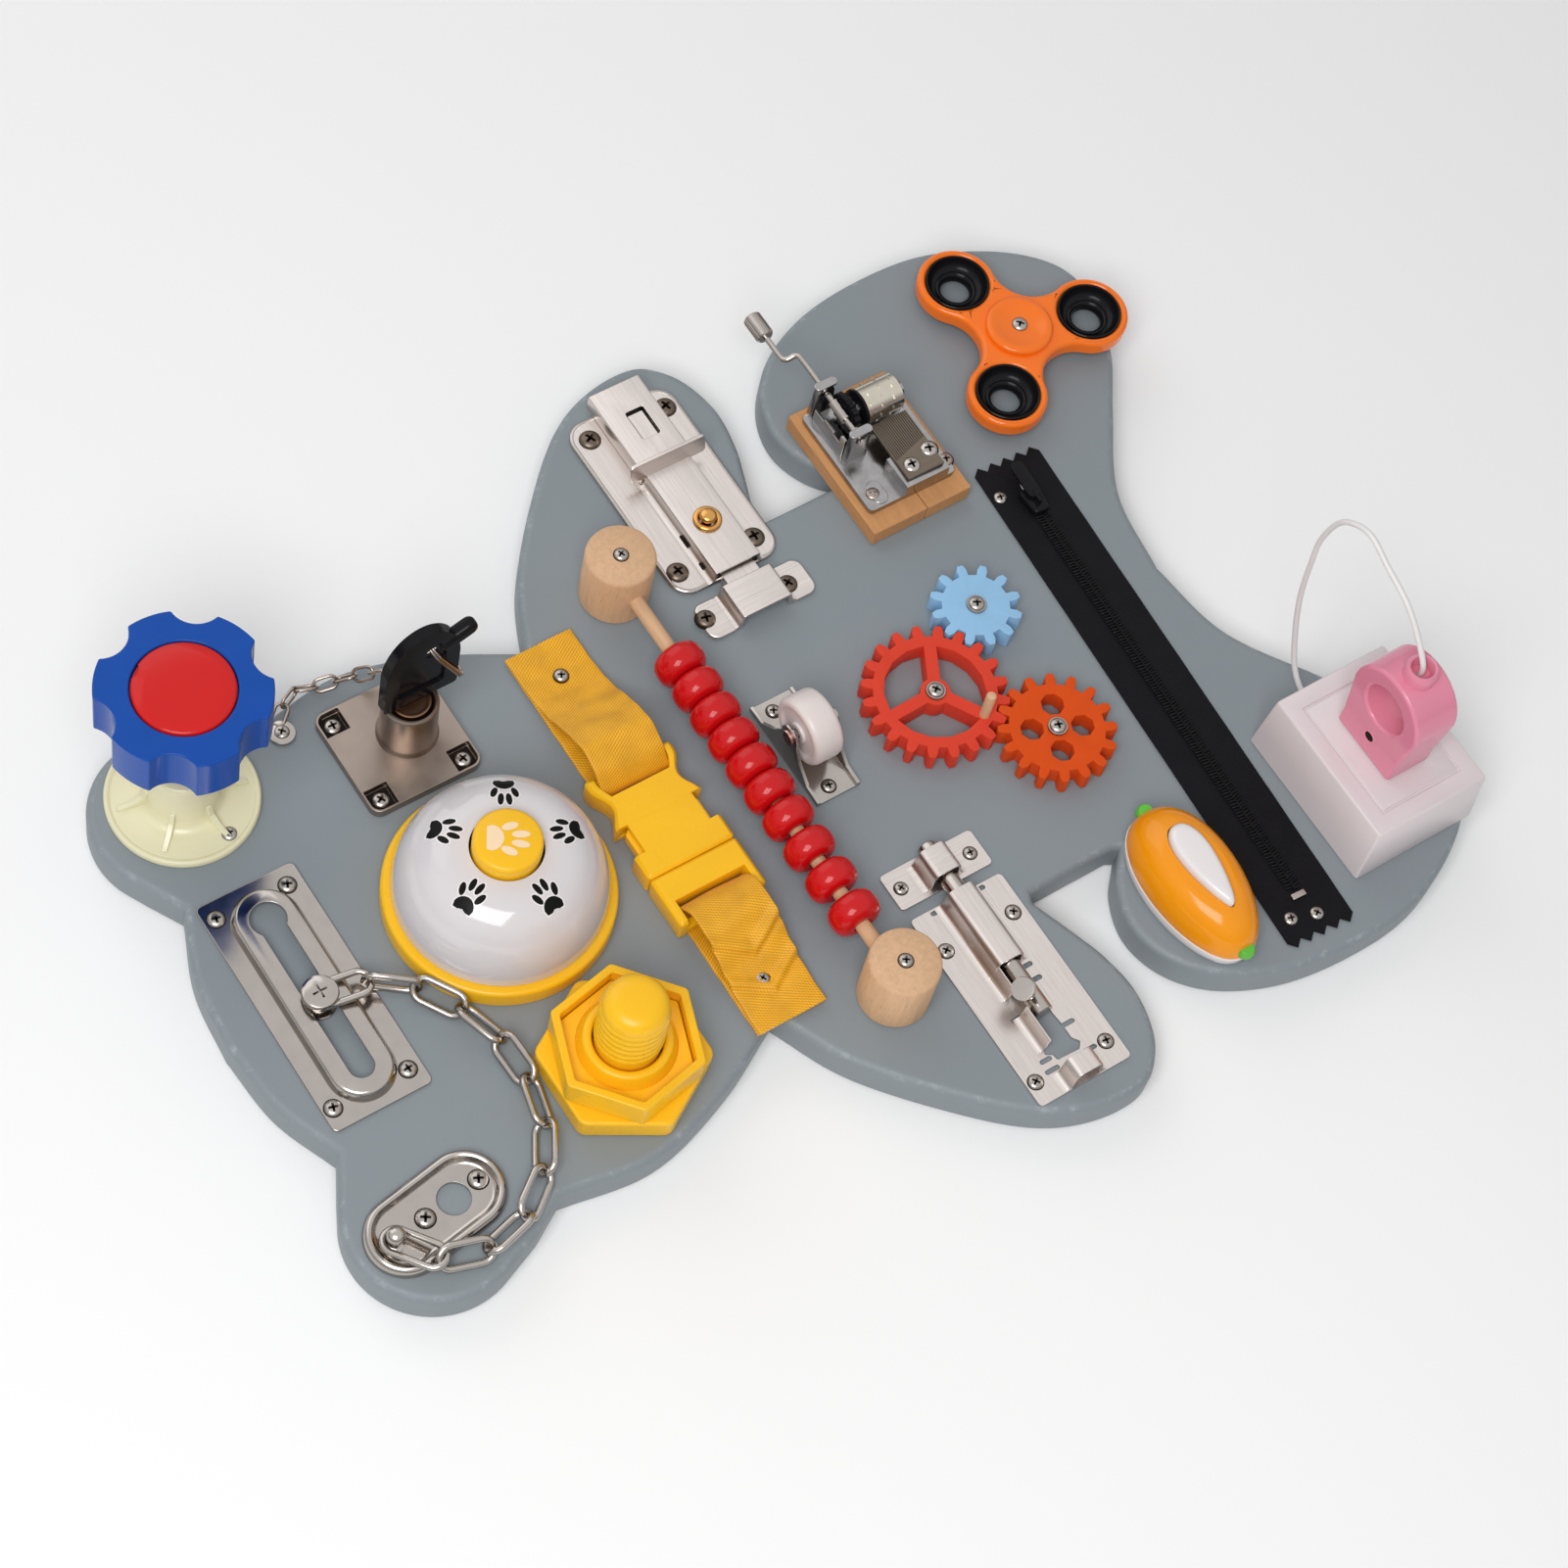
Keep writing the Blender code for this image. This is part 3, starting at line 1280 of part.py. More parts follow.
def make_buckle(where, right_end):
    seam = right_end - socket_long
    half = buckle_wide / 2
    outline = rounded_rectangle(socket_long, buckle_wide, buckle_edge, 2, (right_end - socket_long / 2, 0.0))
    socket = prism(outline, gap, buckle_high, buckle_edge)
    mouth = prong_long + running
    cavity = box((seam - overrun, buckle_wall - half, gap + buckle_wall),
                 (seam + mouth, half - buckle_wall, buckle_high - buckle_wall))
    cutters = [cavity]
    window_at = seam + prong_long - window_long / 2
    for side in (-1.0, 1.0):
        low_y = min(side * (half + overrun), side * (half - window_deep))
        high_y = max(side * (half + overrun), side * (half - window_deep))
        cutters.append(box((window_at - window_long / 2, low_y, -overrun),
                           (window_at + window_long / 2, high_y, buckle_high + overrun)))
    cutters += strap_bar(right_end, 1.0, -overrun, buckle_high + overrun)
    add_piece("buckle_socket", cut(socket, cutters), YELLOW, where)

    left_end = seam - gap - clip_long
    clip = prism(rounded_rectangle(clip_long, buckle_wide, buckle_edge, 2, (left_end + clip_long / 2, 0.0)),
                 gap, buckle_high, buckle_edge)
    low = gap + buckle_wall + running
    high = buckle_high - buckle_wall - running
    reach = seam + prong_long - running
    inner = half - buckle_wall - running
    arms = [clip, box((seam - gap - sink, -tongue_wide / 2, low),
                      (reach - prong_thick, tongue_wide / 2, high))]
    for side in (-1.0, 1.0):
        prong = [Vector((seam - gap - sink, side * inner)),
                 Vector((seam - gap - sink, side * (inner - prong_thick))),
                 Vector((reach - prong_thick, side * (inner - prong_thick))),
                 Vector((reach, side * (inner - prong_thick / 2))),
                 Vector((reach - prong_thick / 2, side * inner))]
        if side < 0.0:
            prong.reverse()
        arms.append(prism(prong, low, high))
    clip = cut(joined(arms), strap_bar(left_end, -1.0, -overrun, buckle_high + overrun))
    add_piece("buckle_clip", clip, YELLOW, where)


# Beads

def bead_ends():
    """The two faces between which the beads slide, and the line that they slide on."""
    right = place(post_right_share)
    left = Vector((post_left_share * board_half_width, right.y, board_thick))
    return left, right


def make_beads():
    left, right = bead_ends()
    for name, centre, sign in (("post_left", left, 1.0), ("post_right", right, -1.0)):
        solid = prism(circle(post_r, 16), gap, post_high, post_edge)
        hole = rod_along((sign * (post_r + overrun), 0.0, rod_high),
                         (sign * (post_r - rod_seat), 0.0, rod_high),
                         rod_r + gap, 8)
        add_piece(name, cut(solid, [hole]), BEECH, centre)
    start = left + Vector((post_r - rod_seat + gap, 0.0, rod_high))
    end = right + Vector((rod_seat - gap - post_r, 0.0, rod_high))
    add_piece("bead_rod", rod_along(start, end, rod_r, 10), BEECH)

    free = right.x - left.x - 2 * post_r - bead_count * bead_thick
    room = sum(bead_room_share)
    edge = right.x - post_r
    for number in range(bead_count):
        edge -= free * bead_room_share[number] / room
        middle = edge - bead_thick / 2
        edge -= bead_thick
        half = bead_thick / 2
        hole = rod_r + running
        bead = turned([(hole, -half), (bead_r * 0.66, -half), (bead_r, -half * 0.25), (bead_r, half * 0.25),
                       (bead_r * 0.66, half), (hole, half)], 10)
        moved(bead, turn=turned_by(90.0, "Y"))
        add_piece(f"bead_{number + 1}", bead, RED, Vector((middle, left.y, board_thick + rod_high)))


# Caster

def make_caster():
    where = place(caster_share)
    base = prism(rounded_rectangle(caster_long, caster_wide, caster_thick, 2), gap, caster_thick)
    parts = [base]
    half = caster_wide / 2
    for side in (-1.0, 1.0):
        ear = ([Vector((-caster_long / 2, gap)), Vector((caster_long / 2, gap)),
                Vector((caster_long / 2, caster_thick * 2)),
                Vector((caster_ear_long * 0.75, caster_thick * 2.4)),
                Vector((caster_ear_long * 0.42, caster_axle_high * 0.55))]
               + arc((0.0, caster_axle_high), caster_ear_r, -15.0, 195.0, 6)
               + [Vector((-caster_ear_long * 0.42, caster_axle_high * 0.55)),
                  Vector((-caster_ear_long * 0.75, caster_thick * 2.4)),
                  Vector((-caster_long / 2, caster_thick * 2))])
        wall = prism(ear, 0.0, caster_thick)
        moved(wall, turn=turned_by(90.0, "X"))
        low = half if side > 0.0 else caster_thick - half
        parts.append(moved(wall, (0.0, low, 0.0)))
    axle = rod_along((0.0, -half - caster_head_high / 2, caster_axle_high),
                     (0.0, half + caster_head_high / 2, caster_axle_high), caster_axle_r, 10)
    parts.append(axle)
    for side in (-1.0, 1.0):
        parts.append(rod_along((0.0, side * (half - sink), caster_axle_high),
                               (0.0, side * (half + caster_head_high), caster_axle_high), caster_head_r, 12))
    add_piece("caster_bracket", joined(parts), NICKEL, where)

    wide = min(caster_wheel_wide, caster_wide - 2 * caster_thick - 2 * running)
    hole = caster_axle_r + running
    edge = caster_wheel_edge
    wheel = turned([(hole, -wide / 2), (caster_wheel_r - edge, -wide / 2),
                    (caster_wheel_r - edge / 3, -wide / 2 + edge / 2),
                    (caster_wheel_r, -wide / 2 + edge * 1.5), (caster_wheel_r, wide / 2 - edge * 1.5),
                    (caster_wheel_r - edge / 3, wide / 2 - edge / 2), (caster_wheel_r - edge, wide / 2),
                    (hole, wide / 2)], 16)
    moved(wheel, turn=turned_by(90.0, "X"))
    add_piece("caster_wheel", wheel, NYLON, where + Vector((0.0, 0.0, caster_axle_high)))


# Spring latch

def make_latch():
    where = place(latch_share)
    plate = prism(rounded_rectangle(latch_long, latch_wide, latch_corner_r, 4), gap, latch_thick, latch_edge)
    rail_y = latch_rail_offset / 4
    half_rail = latch_rail_wide / 2
    rail_start = -latch_long / 2
    rail_end = rail_start + latch_rail_long
    housing = box((rail_start, rail_y - half_rail, latch_thick - sink),
                  (rail_end, rail_y + half_rail, latch_rail_high))
    channel_wide = latch_tongue_wide / 2 + running
    low = latch_floor + running
    channel_top = low + latch_tongue_high + running
    channel = box((rail_start - overrun, rail_y - channel_wide, latch_floor),
                  (latch_long, rail_y + channel_wide, channel_top))
    collar = cylinder(latch_collar_r, latch_rail_high - sink, latch_rail_high + latch_collar_high, 16,
                      (latch_push_place, rail_y))
    hole = cylinder(latch_ball_r + running, channel_top - overrun / 4, latch_rail_high + overrun, 14,
                    (latch_push_place, rail_y))
    add_piece("latch_plate", cut(joined([plate, housing, collar]), [channel, hole]), NICKEL, where)

    tongue_end = latch_cap_place + latch_cap_long / 2 - latch_cap_wall
    tongue = box((-latch_tongue_reach, rail_y - latch_tongue_wide / 2, low),
                 (tongue_end, rail_y + latch_tongue_wide / 2, low + latch_tongue_high))
    cap_low = latch_rail_high + running
    cap_half = half_rail + running + latch_cap_wall
    cap_start = latch_cap_place - latch_cap_long / 2
    cap_end = latch_cap_place + latch_cap_long / 2
    cap = box((cap_start, rail_y - cap_half, latch_thick + running),
              (cap_end, rail_y + cap_half, cap_low + latch_cap_wall))
    inner = box((cap_start - overrun, rail_y - half_rail - running, latch_thick - overrun),
                (cap_end + overrun, rail_y + half_rail + running, cap_low))
    opening = box((latch_cap_place - latch_cap_slot_long / 2, rail_y - latch_cap_slot_wide / 2, 0.0),
                  (latch_cap_place + latch_cap_slot_long / 2, rail_y + latch_cap_slot_wide / 2,
                   cap_low + overrun))
    cap = cut(cap, [inner, opening])
    web_start = max(rail_end + running, latch_cap_place + latch_cap_slot_long / 2)
    web = box((web_start, rail_y - latch_tongue_wide / 2 + sink, low + latch_tongue_high - sink),
              (tongue_end - sink, rail_y + latch_tongue_wide / 2 - sink, cap_low + sink))
    tab = box((cap_start - latch_tab_thick, rail_y - latch_tab_wide / 2, cap_low),
              (cap_start + sink, rail_y + latch_tab_wide / 2, cap_low + latch_tab_high))
    add_piece("latch_bolt", joined([cap, web, tongue, tab]), NICKEL, where)

    ball_low = channel_top + latch_press
    ball_mid = latch_rail_high + latch_ball_high - latch_ball_r * 0.6
    button = turned([(0.0, ball_low), (latch_ball_r, ball_low), (latch_ball_r, ball_mid),
                     (latch_ball_r * 0.7, latch_rail_high + latch_ball_high - latch_ball_r * 0.15),
                     (0.0, latch_rail_high + latch_ball_high)], 14)
    add_piece("latch_button", button, BRASS, where + Vector((latch_push_place, rail_y, 0.0)))

    keeper = [rounded_rectangle(keeper_wide, keeper_long, keeper_corner_r, 3)]
    foot = prism(keeper[0], gap, latch_thick, latch_edge / 2)
    loop_half = keeper_raised / 2
    loop = [Vector((-loop_half - latch_thick, latch_thick - sink)),
            Vector((loop_half + latch_thick, latch_thick - sink)),
            Vector((loop_half, latch_rail_high)), Vector((-loop_half, latch_rail_high))]
    bridge = prism(loop, -keeper_wide / 2 + latch_edge, keeper_wide / 2 - latch_edge)
    moved(bridge, turn=turned_by(90.0, "X"))
    moved(bridge, turn=turned_by(90.0))
    way = box((-keeper_wide, -channel_wide - running, latch_floor),
              (keeper_wide, channel_wide + running, channel_top + running))
    add_piece("latch_keeper", cut(combine(foot, bridge), [way]), NICKEL,
              where + Vector((keeper_place, rail_y, 0.0)))


# Barrel bolt

def half_round(radius, start, end, high):
    """A pressed sleeve along X: a round back on sides that flare out at their foot."""
    section = ([Vector((-radius - barrel_flare, 0.0)), Vector((radius + barrel_flare, 0.0)),
                Vector((radius + barrel_flare / 4, high * 0.4))]
               + [point + Vector((0.0, high)) for point in arc((0.0, 0.0), radius, 0.0, 180.0, 6)]
               + [Vector((-radius - barrel_flare / 4, high * 0.4))])
    return moved(prism(section, start, end), turn=STAND_ALONG_X)


def make_barrel_bolt():
    where = place(barrel_share)
    half = barrel_long / 2
    plate = prism(rounded_rectangle(barrel_long, barrel_wide, barrel_corner_r, 2), gap, barrel_thick)
    bore_r = barrel_rod_r + running
    sleeve = half_round(barrel_sleeve_r, half - barrel_sleeve_long, half - gap, barrel_rod_high)
    end = half_round(barrel_sleeve_r, gap - half, barrel_end_long - half, barrel_rod_high)
    way = rod_along((-half - overrun, 0.0, barrel_rod_high), (half + overrun, 0.0, barrel_rod_high),
                    bore_r, 10)
    window = box((barrel_end_long - half, -barrel_window_wide / 2, -overrun),
                 (half - barrel_sleeve_long, barrel_window_wide / 2, barrel_thick + overrun))
    for part in (sleeve, end):
        moved(part, (0.0, 0.0, barrel_thick / 2))
    solid = cut(joined([plate, sleeve, end]), [way, window])
    add_piece("bolt_plate", solid, NICKEL, where)

    rod = rod_along((barrel_rod_reach - barrel_rod_long, 0.0, barrel_rod_high),
                    (barrel_rod_reach, 0.0, barrel_rod_high), barrel_rod_r, 10)
    lean = Vector((0.0, math.sin(math.radians(30.0)), math.cos(math.radians(30.0))))
    foot = Vector((barrel_knob_place, 0.0, barrel_rod_high))
    top = foot + lean * ((barrel_knob_high - barrel_rod_high) / lean.z)
    stem = rod_along(foot, top, barrel_knob_stem_r, 6)
    knob = rod_along(top - lean * barrel_knob_thick, top, barrel_knob_r, 10)
    add_piece("bolt_rod", joined([rod, stem, knob]), NICKEL, where)

    foot = prism(rounded_rectangle(staple_wide, staple_long, barrel_corner_r, 2), gap, barrel_thick)
    loop = half_round(barrel_sleeve_r, barrel_corner_r - staple_wide / 2, staple_wide / 2 - barrel_corner_r,
                      barrel_rod_high)
    moved(loop, (0.0, 0.0, barrel_thick / 2))
    way = rod_along((-staple_wide, 0.0, barrel_rod_high), (staple_wide, 0.0, barrel_rod_high), bore_r, 10)
    add_piece("bolt_keeper", cut(combine(foot, loop), [way]), NICKEL,
              where + Vector((staple_place, 0.0, 0.0)))


# Gears

def gear_outline(teeth, tooth_at):
    """Involute teeth with working backlash, three points to a flank."""
    pitch_r = gear_module * teeth / 2
    base_r = pitch_r * math.cos(math.radians(pressure_angle))
    root_r = pitch_r - gear_dedendum
    tip_r = pitch_r + gear_addendum
    thick = math.pi * gear_module / 2 - gear_backlash / 2
    lean = math.radians(pressure_angle)
    outline = []
    for number in range(teeth):
        middle = math.radians(tooth_at + 360.0 * number / teeth)
        flank = []
        for radius in (root_r, pitch_r, tip_r):
            roll = math.acos(min(1.0, base_r / radius))
            turn = thick / (2 * pitch_r) + math.tan(lean) - lean - (math.tan(roll) - roll)
            flank.append((radius, turn))
        for radius, turn in flank:
            outline.append(Vector((math.cos(middle - turn), math.sin(middle - turn))) * radius)
        for radius, turn in reversed(flank):
            outline.append(Vector((math.cos(middle + turn), math.sin(middle + turn))) * radius)
    return outline


def spoke_windows():
    """Three openings between the hub, the rim and the spokes of the red gear."""
    windows = []
    for number in range(3):
        start = red_spoke_at + 120.0 * number
        outer_half = math.degrees(math.asin(red_spoke / 2 / red_window_r))
        inner_half = math.degrees(math.asin(red_spoke / 2 / red_hub_r))
        windows.append(arc((0.0, 0.0), red_window_r, start + outer_half, start + 120.0 - outer_half, 5)
                       + arc((0.0, 0.0), red_hub_r, start + 120.0 - inner_half, start + inner_half, 3))
    return windows


def make_gears():
    paints = {"gear_red": RED, "gear_blue": SKY, "gear_orange": SALMON}
    low = gap
    high = gap + gear_thick
    for name, teeth, centre, tooth_at in gear_places():
        holes = [circle(pivot_r + running, 10)]
        if name == "gear_red":
            holes += spoke_windows()
        if name == "gear_orange":
            for number in range(4):
                angle = math.radians(orange_hole_at + 90.0 * number)
                at = (orange_hole_place * math.cos(angle), orange_hole_place * math.sin(angle))
                holes.append(circle(orange_hole_r, 8, at))
        solid = pierced(gear_outline(teeth, tooth_at), holes, low, high)
        if name == "gear_red":
            angle = math.radians(peg_at)
            peg = prism(circle(peg_r, 8), high - sink, high + peg_high, peg_r / 3)
            moved(peg, (peg_place * math.cos(angle), peg_place * math.sin(angle), 0.0))
            solid = combine(solid, peg)
        add_piece(name, solid, paints[name], centre)


# Music box movement

def make_music_box():
    """A hand-cranked comb movement: worm, drum with pins, steel comb, die-cast frame and base."""
    where = place(music_share)
    base_outline = rounded_rectangle(music_long, music_wide, music_corner_r, 2)
    groove_in = inset(base_outline, music_seam_deep)
    mid = music_high / 2
    base = loft([at_height(base_outline, gap), at_height(base_outline, mid), at_height(groove_in, mid),
                 at_height(groove_in, mid + music_seam), at_height(base_outline, mid + music_seam),
                 at_height(base_outline, music_high)])
    add_piece("music_base", base, BEECH, where)

    floor = music_high + gap
    deck = floor + movement_thick
    axle_y = crank_offset_y
    left = movement_offset_x - movement_long / 2
    frame_outline = rounded_rectangle(movement_long, movement_wide, music_corner_r, 2,
                                      (movement_offset_x, 0.0))
    oval = stadium(oval_long, oval_wide, 4, (left + oval_long, axle_y / 3 - oval_wide))
    oval = [Vector((point.x, point.y)) for point in oval]
    frame = pierced(frame_outline, [oval], floor, deck)
    parts = [frame]
    far_x = movement_offset_x + movement_long / 2 - upright_inset
    for at_x in (upright_place, far_x):
        parts.append(upright(at_x, axle_y, upright_thick, upright_wide, deck, crank_high))
    near_y = drum_start_y
    far_y = near_y - drum_long
    wheel_y = axle_y - worm_r - running - drum_wheel_thick
    posts = (near_y + running + bearing_thick / 2, far_y - running - bearing_thick / 2)
    for at_y in posts:
        slab = upright(0.0, 0.0, bearing_thick, drum_r, deck, drum_high)
        moved(slab, turn=turned_by(90.0))
        parts.append(moved(slab, (drum_place, at_y, 0.0)))
    block_end = drum_place - drum_r - drum_pin * 2 - running * 2 - comb_tooth_long
    block = box((block_end - comb_block_long, -comb_wide / 2 - drum_axle_r + comb_mid_y(), deck - sink),
                (block_end, comb_wide / 2 + drum_axle_r + comb_mid_y(), comb_low() - gap))
    parts.append(block)
    crank_hole = rod_along((-music_long, axle_y, crank_high), (music_long, axle_y, crank_high),
                           crank_r + running, 8)
    drum_hole = rod_along((drum_place, -music_wide, drum_high), (drum_place, music_wide / 2, drum_high),
                          drum_axle_r + running, 8)
    add_piece("music_frame", cut(joined(parts), [crank_hole, drum_hole]), STEEL, where)

    make_comb(where)
    make_drum(where, near_y, far_y, wheel_y)
    make_crank(where, axle_y)


def upright(at_x, at_y, thick, wide, low, axis_high):
    """A standing lug with a round top, its face square to X."""
    section = ([Vector((-wide / 2, low - sink)), Vector((wide / 2, low - sink))]
               + [point + Vector((0.0, axis_high)) for point in arc((0.0, 0.0), wide / 2.4, 0.0, 180.0, 4)])
    lug = prism(section, -thick / 2, thick / 2)
    moved(lug, turn=STAND_ALONG_X)
    return moved(lug, (at_x, at_y, 0.0))


def comb_mid_y():
    return drum_start_y - drum_long / 2


def comb_low():
    return drum_high - drum_r / 2


def make_comb(where):
    tip = drum_place - drum_r - drum_pin - running
    root = tip - comb_tooth_long
    pitch = comb_wide / comb_teeth
    outline = [Vector((tip - comb_long, -comb_wide / 2))]
    for number in range(comb_teeth):
        low = -comb_wide / 2 + pitch * number
        short = (tip - root) * 0.02 * number
        outline += [Vector((tip, low)), Vector((tip, low + pitch - comb_slit))]
        if number < comb_teeth - 1:
            outline += [Vector((root - short, low + pitch - comb_slit)), Vector((root - short, low + pitch))]
    outline[1].y = -comb_wide / 2
    outline.append(Vector((tip - comb_long, comb_wide / 2 - comb_slit)))
    solid = prism(outline, comb_low(), comb_low() + comb_thick)
    add_piece("music_comb", moved(solid, (0.0, comb_mid_y(), 0.0)), STEEL, where)


def make_drum(where, near_y, far_y, wheel_y):
    """The pinned drum with its axle and the wheel that the worm turns."""
    start = far_y - bearing_thick - running * 2
    end = wheel_y + drum_wheel_thick
    body = rod_along((0.0, far_y, 0.0), (0.0, near_y, 0.0), drum_r, 16)
    axle = rod_along((0.0, start, 0.0), (0.0, end, 0.0), drum_axle_r, 8)
    blanks = []
    outline = []
    for number in range(drum_wheel_teeth * 2):
        angle = 2.0 * math.pi * number / (drum_wheel_teeth * 2)
        radius = drum_wheel_r if number % 2 else drum_wheel_r - drum_pin
        outline.append(Vector((math.cos(angle), math.sin(angle))) * radius)
    wheel = prism(outline, 0.0, drum_wheel_thick)
    moved(wheel, (0.0, wheel_y + drum_wheel_thick, 0.0), turned_by(90.0, "X"))
    solid = joined([body, axle, wheel])
    for number in range(drum_pin_count):
        angle = 360.0 * number * 0.381966
        at_y = far_y + drum_long * (number + 0.5) / drum_pin_count
        pin = box((drum_r - sink, at_y - drum_pin / 2, -drum_pin / 2),
                  (drum_r + drum_pin, at_y + drum_pin / 2, drum_pin / 2))
        blanks.append(moved(pin, turn=turned_by(angle, "Y")))
    for pin in blanks:
        solid = combine(solid, pin)
    add_piece("music_drum", solid, BRASS, where + Vector((drum_place, 0.0, drum_high)))


def make_crank(where, axle_y):
    start = upright_place - upright_thick
    shaft = rod_along((start, 0.0, 0.0), (crank_out, 0.0, 0.0), crank_r, 8)
    worm = rod_along((drum_place - worm_long / 2, 0.0, 0.0), (drum_place + worm_long / 2, 0.0, 0.0),
                     worm_r, 10)
    throw = Vector((0.0, crank_throw_y, crank_throw_z))
    arm_outline = stadium(throw.length + crank_arm_wide, crank_arm_wide, 4, (throw.length / 2, 0.0))
    arm = prism(arm_outline, 0.0, crank_arm_thick)
    along = throw.normalized()
    face = Matrix(((0.0, 0.0, 1.0, 0.0), (along.y, -along.z, 0.0, 0.0), (along.z, along.y, 0.0, 0.0),
                   (0.0, 0.0, 0.0, 1.0)))
    moved(arm, (crank_out - sink, 0.0, 0.0), face)
    pin_start = crank_out + crank_arm_thick - 2 * sink
    pin_end = pin_start + crank_pin_long
    pin = rod_along(Vector((pin_start, 0.0, 0.0)) + throw, Vector((pin_end, 0.0, 0.0)) + throw,
                    crank_pin_r, 8)
    knob = rod_along(Vector((pin_end - sink, 0.0, 0.0)) + throw,
                     Vector((pin_end + crank_knob_long, 0.0, 0.0)) + throw, crank_knob_r, 12)
    add_piece("music_crank", joined([shaft, worm, arm, pin, knob]), STEEL,
              where + Vector((0.0, axle_y, crank_high)))


# Finger spinner

def spinner_outline():
    """Three round lobes joined by hollow arcs that touch them."""
    d = spinner_lobe_place
    lobe = spinner_lobe_r
    waist = spinner_waist_r
    hollow = (lobe ** 2 - waist ** 2 - d ** 2 + waist * d) / (2 * waist - d - 2 * lobe)
    centre = waist + hollow
    touch = math.degrees(math.atan2(centre * math.sin(math.radians(60.0)), centre * 0.5 - d))
    outline = []
    for number in range(3):
        lobe_at = 120.0 * number
        angle = math.radians(lobe_at)
        outline += arc((d * math.cos(angle), d * math.sin(angle)), lobe, lobe_at - touch, lobe_at + touch, 7)
        between = math.radians(lobe_at + 60.0)
        swing = 180.0 - 60.0 - (180.0 - touch)
        outline += arc((centre * math.cos(between), centre * math.sin(between)), hollow,
                       lobe_at + touch + 180.0, lobe_at + 120.0 - touch + 180.0, 3)[1:-1]
    return outline


def make_spinner():
    where = place(spinner_share)
    high = spinner_low + spinner_thick
    body = prism(spinner_outline(), spinner_low, high, spinner_edge_r, spinner_edge_r)
    cutters = [cylinder(spinner_bore_r, spinner_low - overrun, high + overrun, 14)]
    for number in range(3):
        angle = math.radians(120.0 * number)
        at = (spinner_lobe_place * math.cos(angle), spinner_lobe_place * math.sin(angle))
        cutters.append(cylinder(cup_hole_r, spinner_low - overrun, high + overrun, 8, at))
        cutters.append(pierced(circle(cup_r, 12, at), [circle(cup_hole_r + cup_deep, 8, at)],
                               high - cup_deep, high + overrun))
    moved_body = moved(cut(body, cutters), turn=turned_by(spinner_turn))
    add_piece("spinner_body", moved_body, ORANGE, where)

    inner = spinner_bore_r - running
    hub = turned([(0.0, gap), (inner + running * 3, gap), (inner + running * 3, spinner_low - gap),
                  (inner, spinner_low - gap),
                  (inner, high + gap), (spinner_cap_r, high + gap),
                  (spinner_cap_r, high + spinner_cap_high * 0.6),
                  (spinner_cap_r - spinner_cap_high * 0.6, high + spinner_cap_high),
                  (0.0, high + spinner_cap_high)], 14)
    add_piece("spinner_hub", hub, ORANGE, where)


# Zip

def make_zip():
    where = place(zip_share)
    half_long = zip_long / 2
    half_wide = zip_wide / 2
    outline = []
    for number in range(zip_points * 2 + 1):
        y = -half_wide + zip_wide * number / (zip_points * 2)
        outline.append(Vector((half_long - (zip_point_deep if number % 2 else 0.0), y)))
    for number in range(zip_points * 2 + 1):
        y = half_wide - zip_wide * number / (zip_points * 2)
        outline.append(Vector(((zip_point_deep if number % 2 else 0.0) - half_long, y)))
    tape = prism(outline, gap, zip_tape_thick)
    ridge = [Vector((-coil_wide / 2, zip_tape_thick - sink)), Vector((coil_wide / 2, zip_tape_thick - sink)),
             Vector((coil_wide / 2, zip_tape_thick + coil_high / 2)),
             Vector((coil_wide / 4, zip_tape_thick + coil_high)),
             Vector((-coil_wide / 4, zip_tape_thick + coil_high)),
             Vector((-coil_wide / 2, zip_tape_thick + coil_high / 2))]
    coil = prism(ridge, coil_inset - half_long, half_long - coil_inset)
    moved(coil, turn=STAND_ALONG_X)
    add_piece("zip_tape", moved(combine(tape, coil), turn=turned_by(zip_turn)), TAPE, where)

    low = zip_tape_thick + gap
    top = low + zip_body_high
    taper = zip_body_wide * 0.7
    body_outline = rounded_corners([(-zip_body_long / 2, -taper / 2), (zip_body_long / 2, -zip_body_wide / 2),
                                    (zip_body_long / 2, zip_body_wide / 2), (-zip_body_long / 2, taper / 2)],
                                   zip_body_wide * 0.12, 2)
    body = prism(body_outline, low, top, zip_tab_thick / 2)
    way = box((-zip_body_long, -coil_wide / 2 - gap, 0.0),
              (zip_body_long, coil_wide / 2 + gap, zip_tape_thick + coil_high + gap))
    bridge = box((-zip_body_long / 4, -zip_tab_thick / 2, top - sink),
                 (zip_body_long / 4, zip_tab_thick / 2, top + zip_tab_thick * 2))
    tab = prism(rounded_rectangle(zip_tab_long, zip_tab_wide, zip_tab_wide * 0.4, 3,
                                  (zip_tab_long / 2, 0.0)), top + zip_tab_thick * 0.8,
                                  top + zip_tab_thick * 1.8)
    solid = combine(cut(body, [way]), combine(bridge, tab))
    along = turned_by(zip_turn) @ Vector((zip_place, 0.0, 0.0))
    add_piece("zip_slider", moved(solid, turn=turned_by(zip_turn)), BLACK, where + along)


# Cord switch

def egg(long, half_wide, narrow_share, steps, shift=0.0):
    """An egg outline along X with its narrow end at -X."""
    outline = []
    for number in range(steps):
        angle = 2.0 * math.pi * number / steps
        x = math.cos(angle)
        squeeze = narrow_share + (1.0 - narrow_share) * (x + 1.0) / 2
        outline.append(Vector((long / 2 * x + shift, half_wide * math.sin(angle) * squeeze)))
    return outline


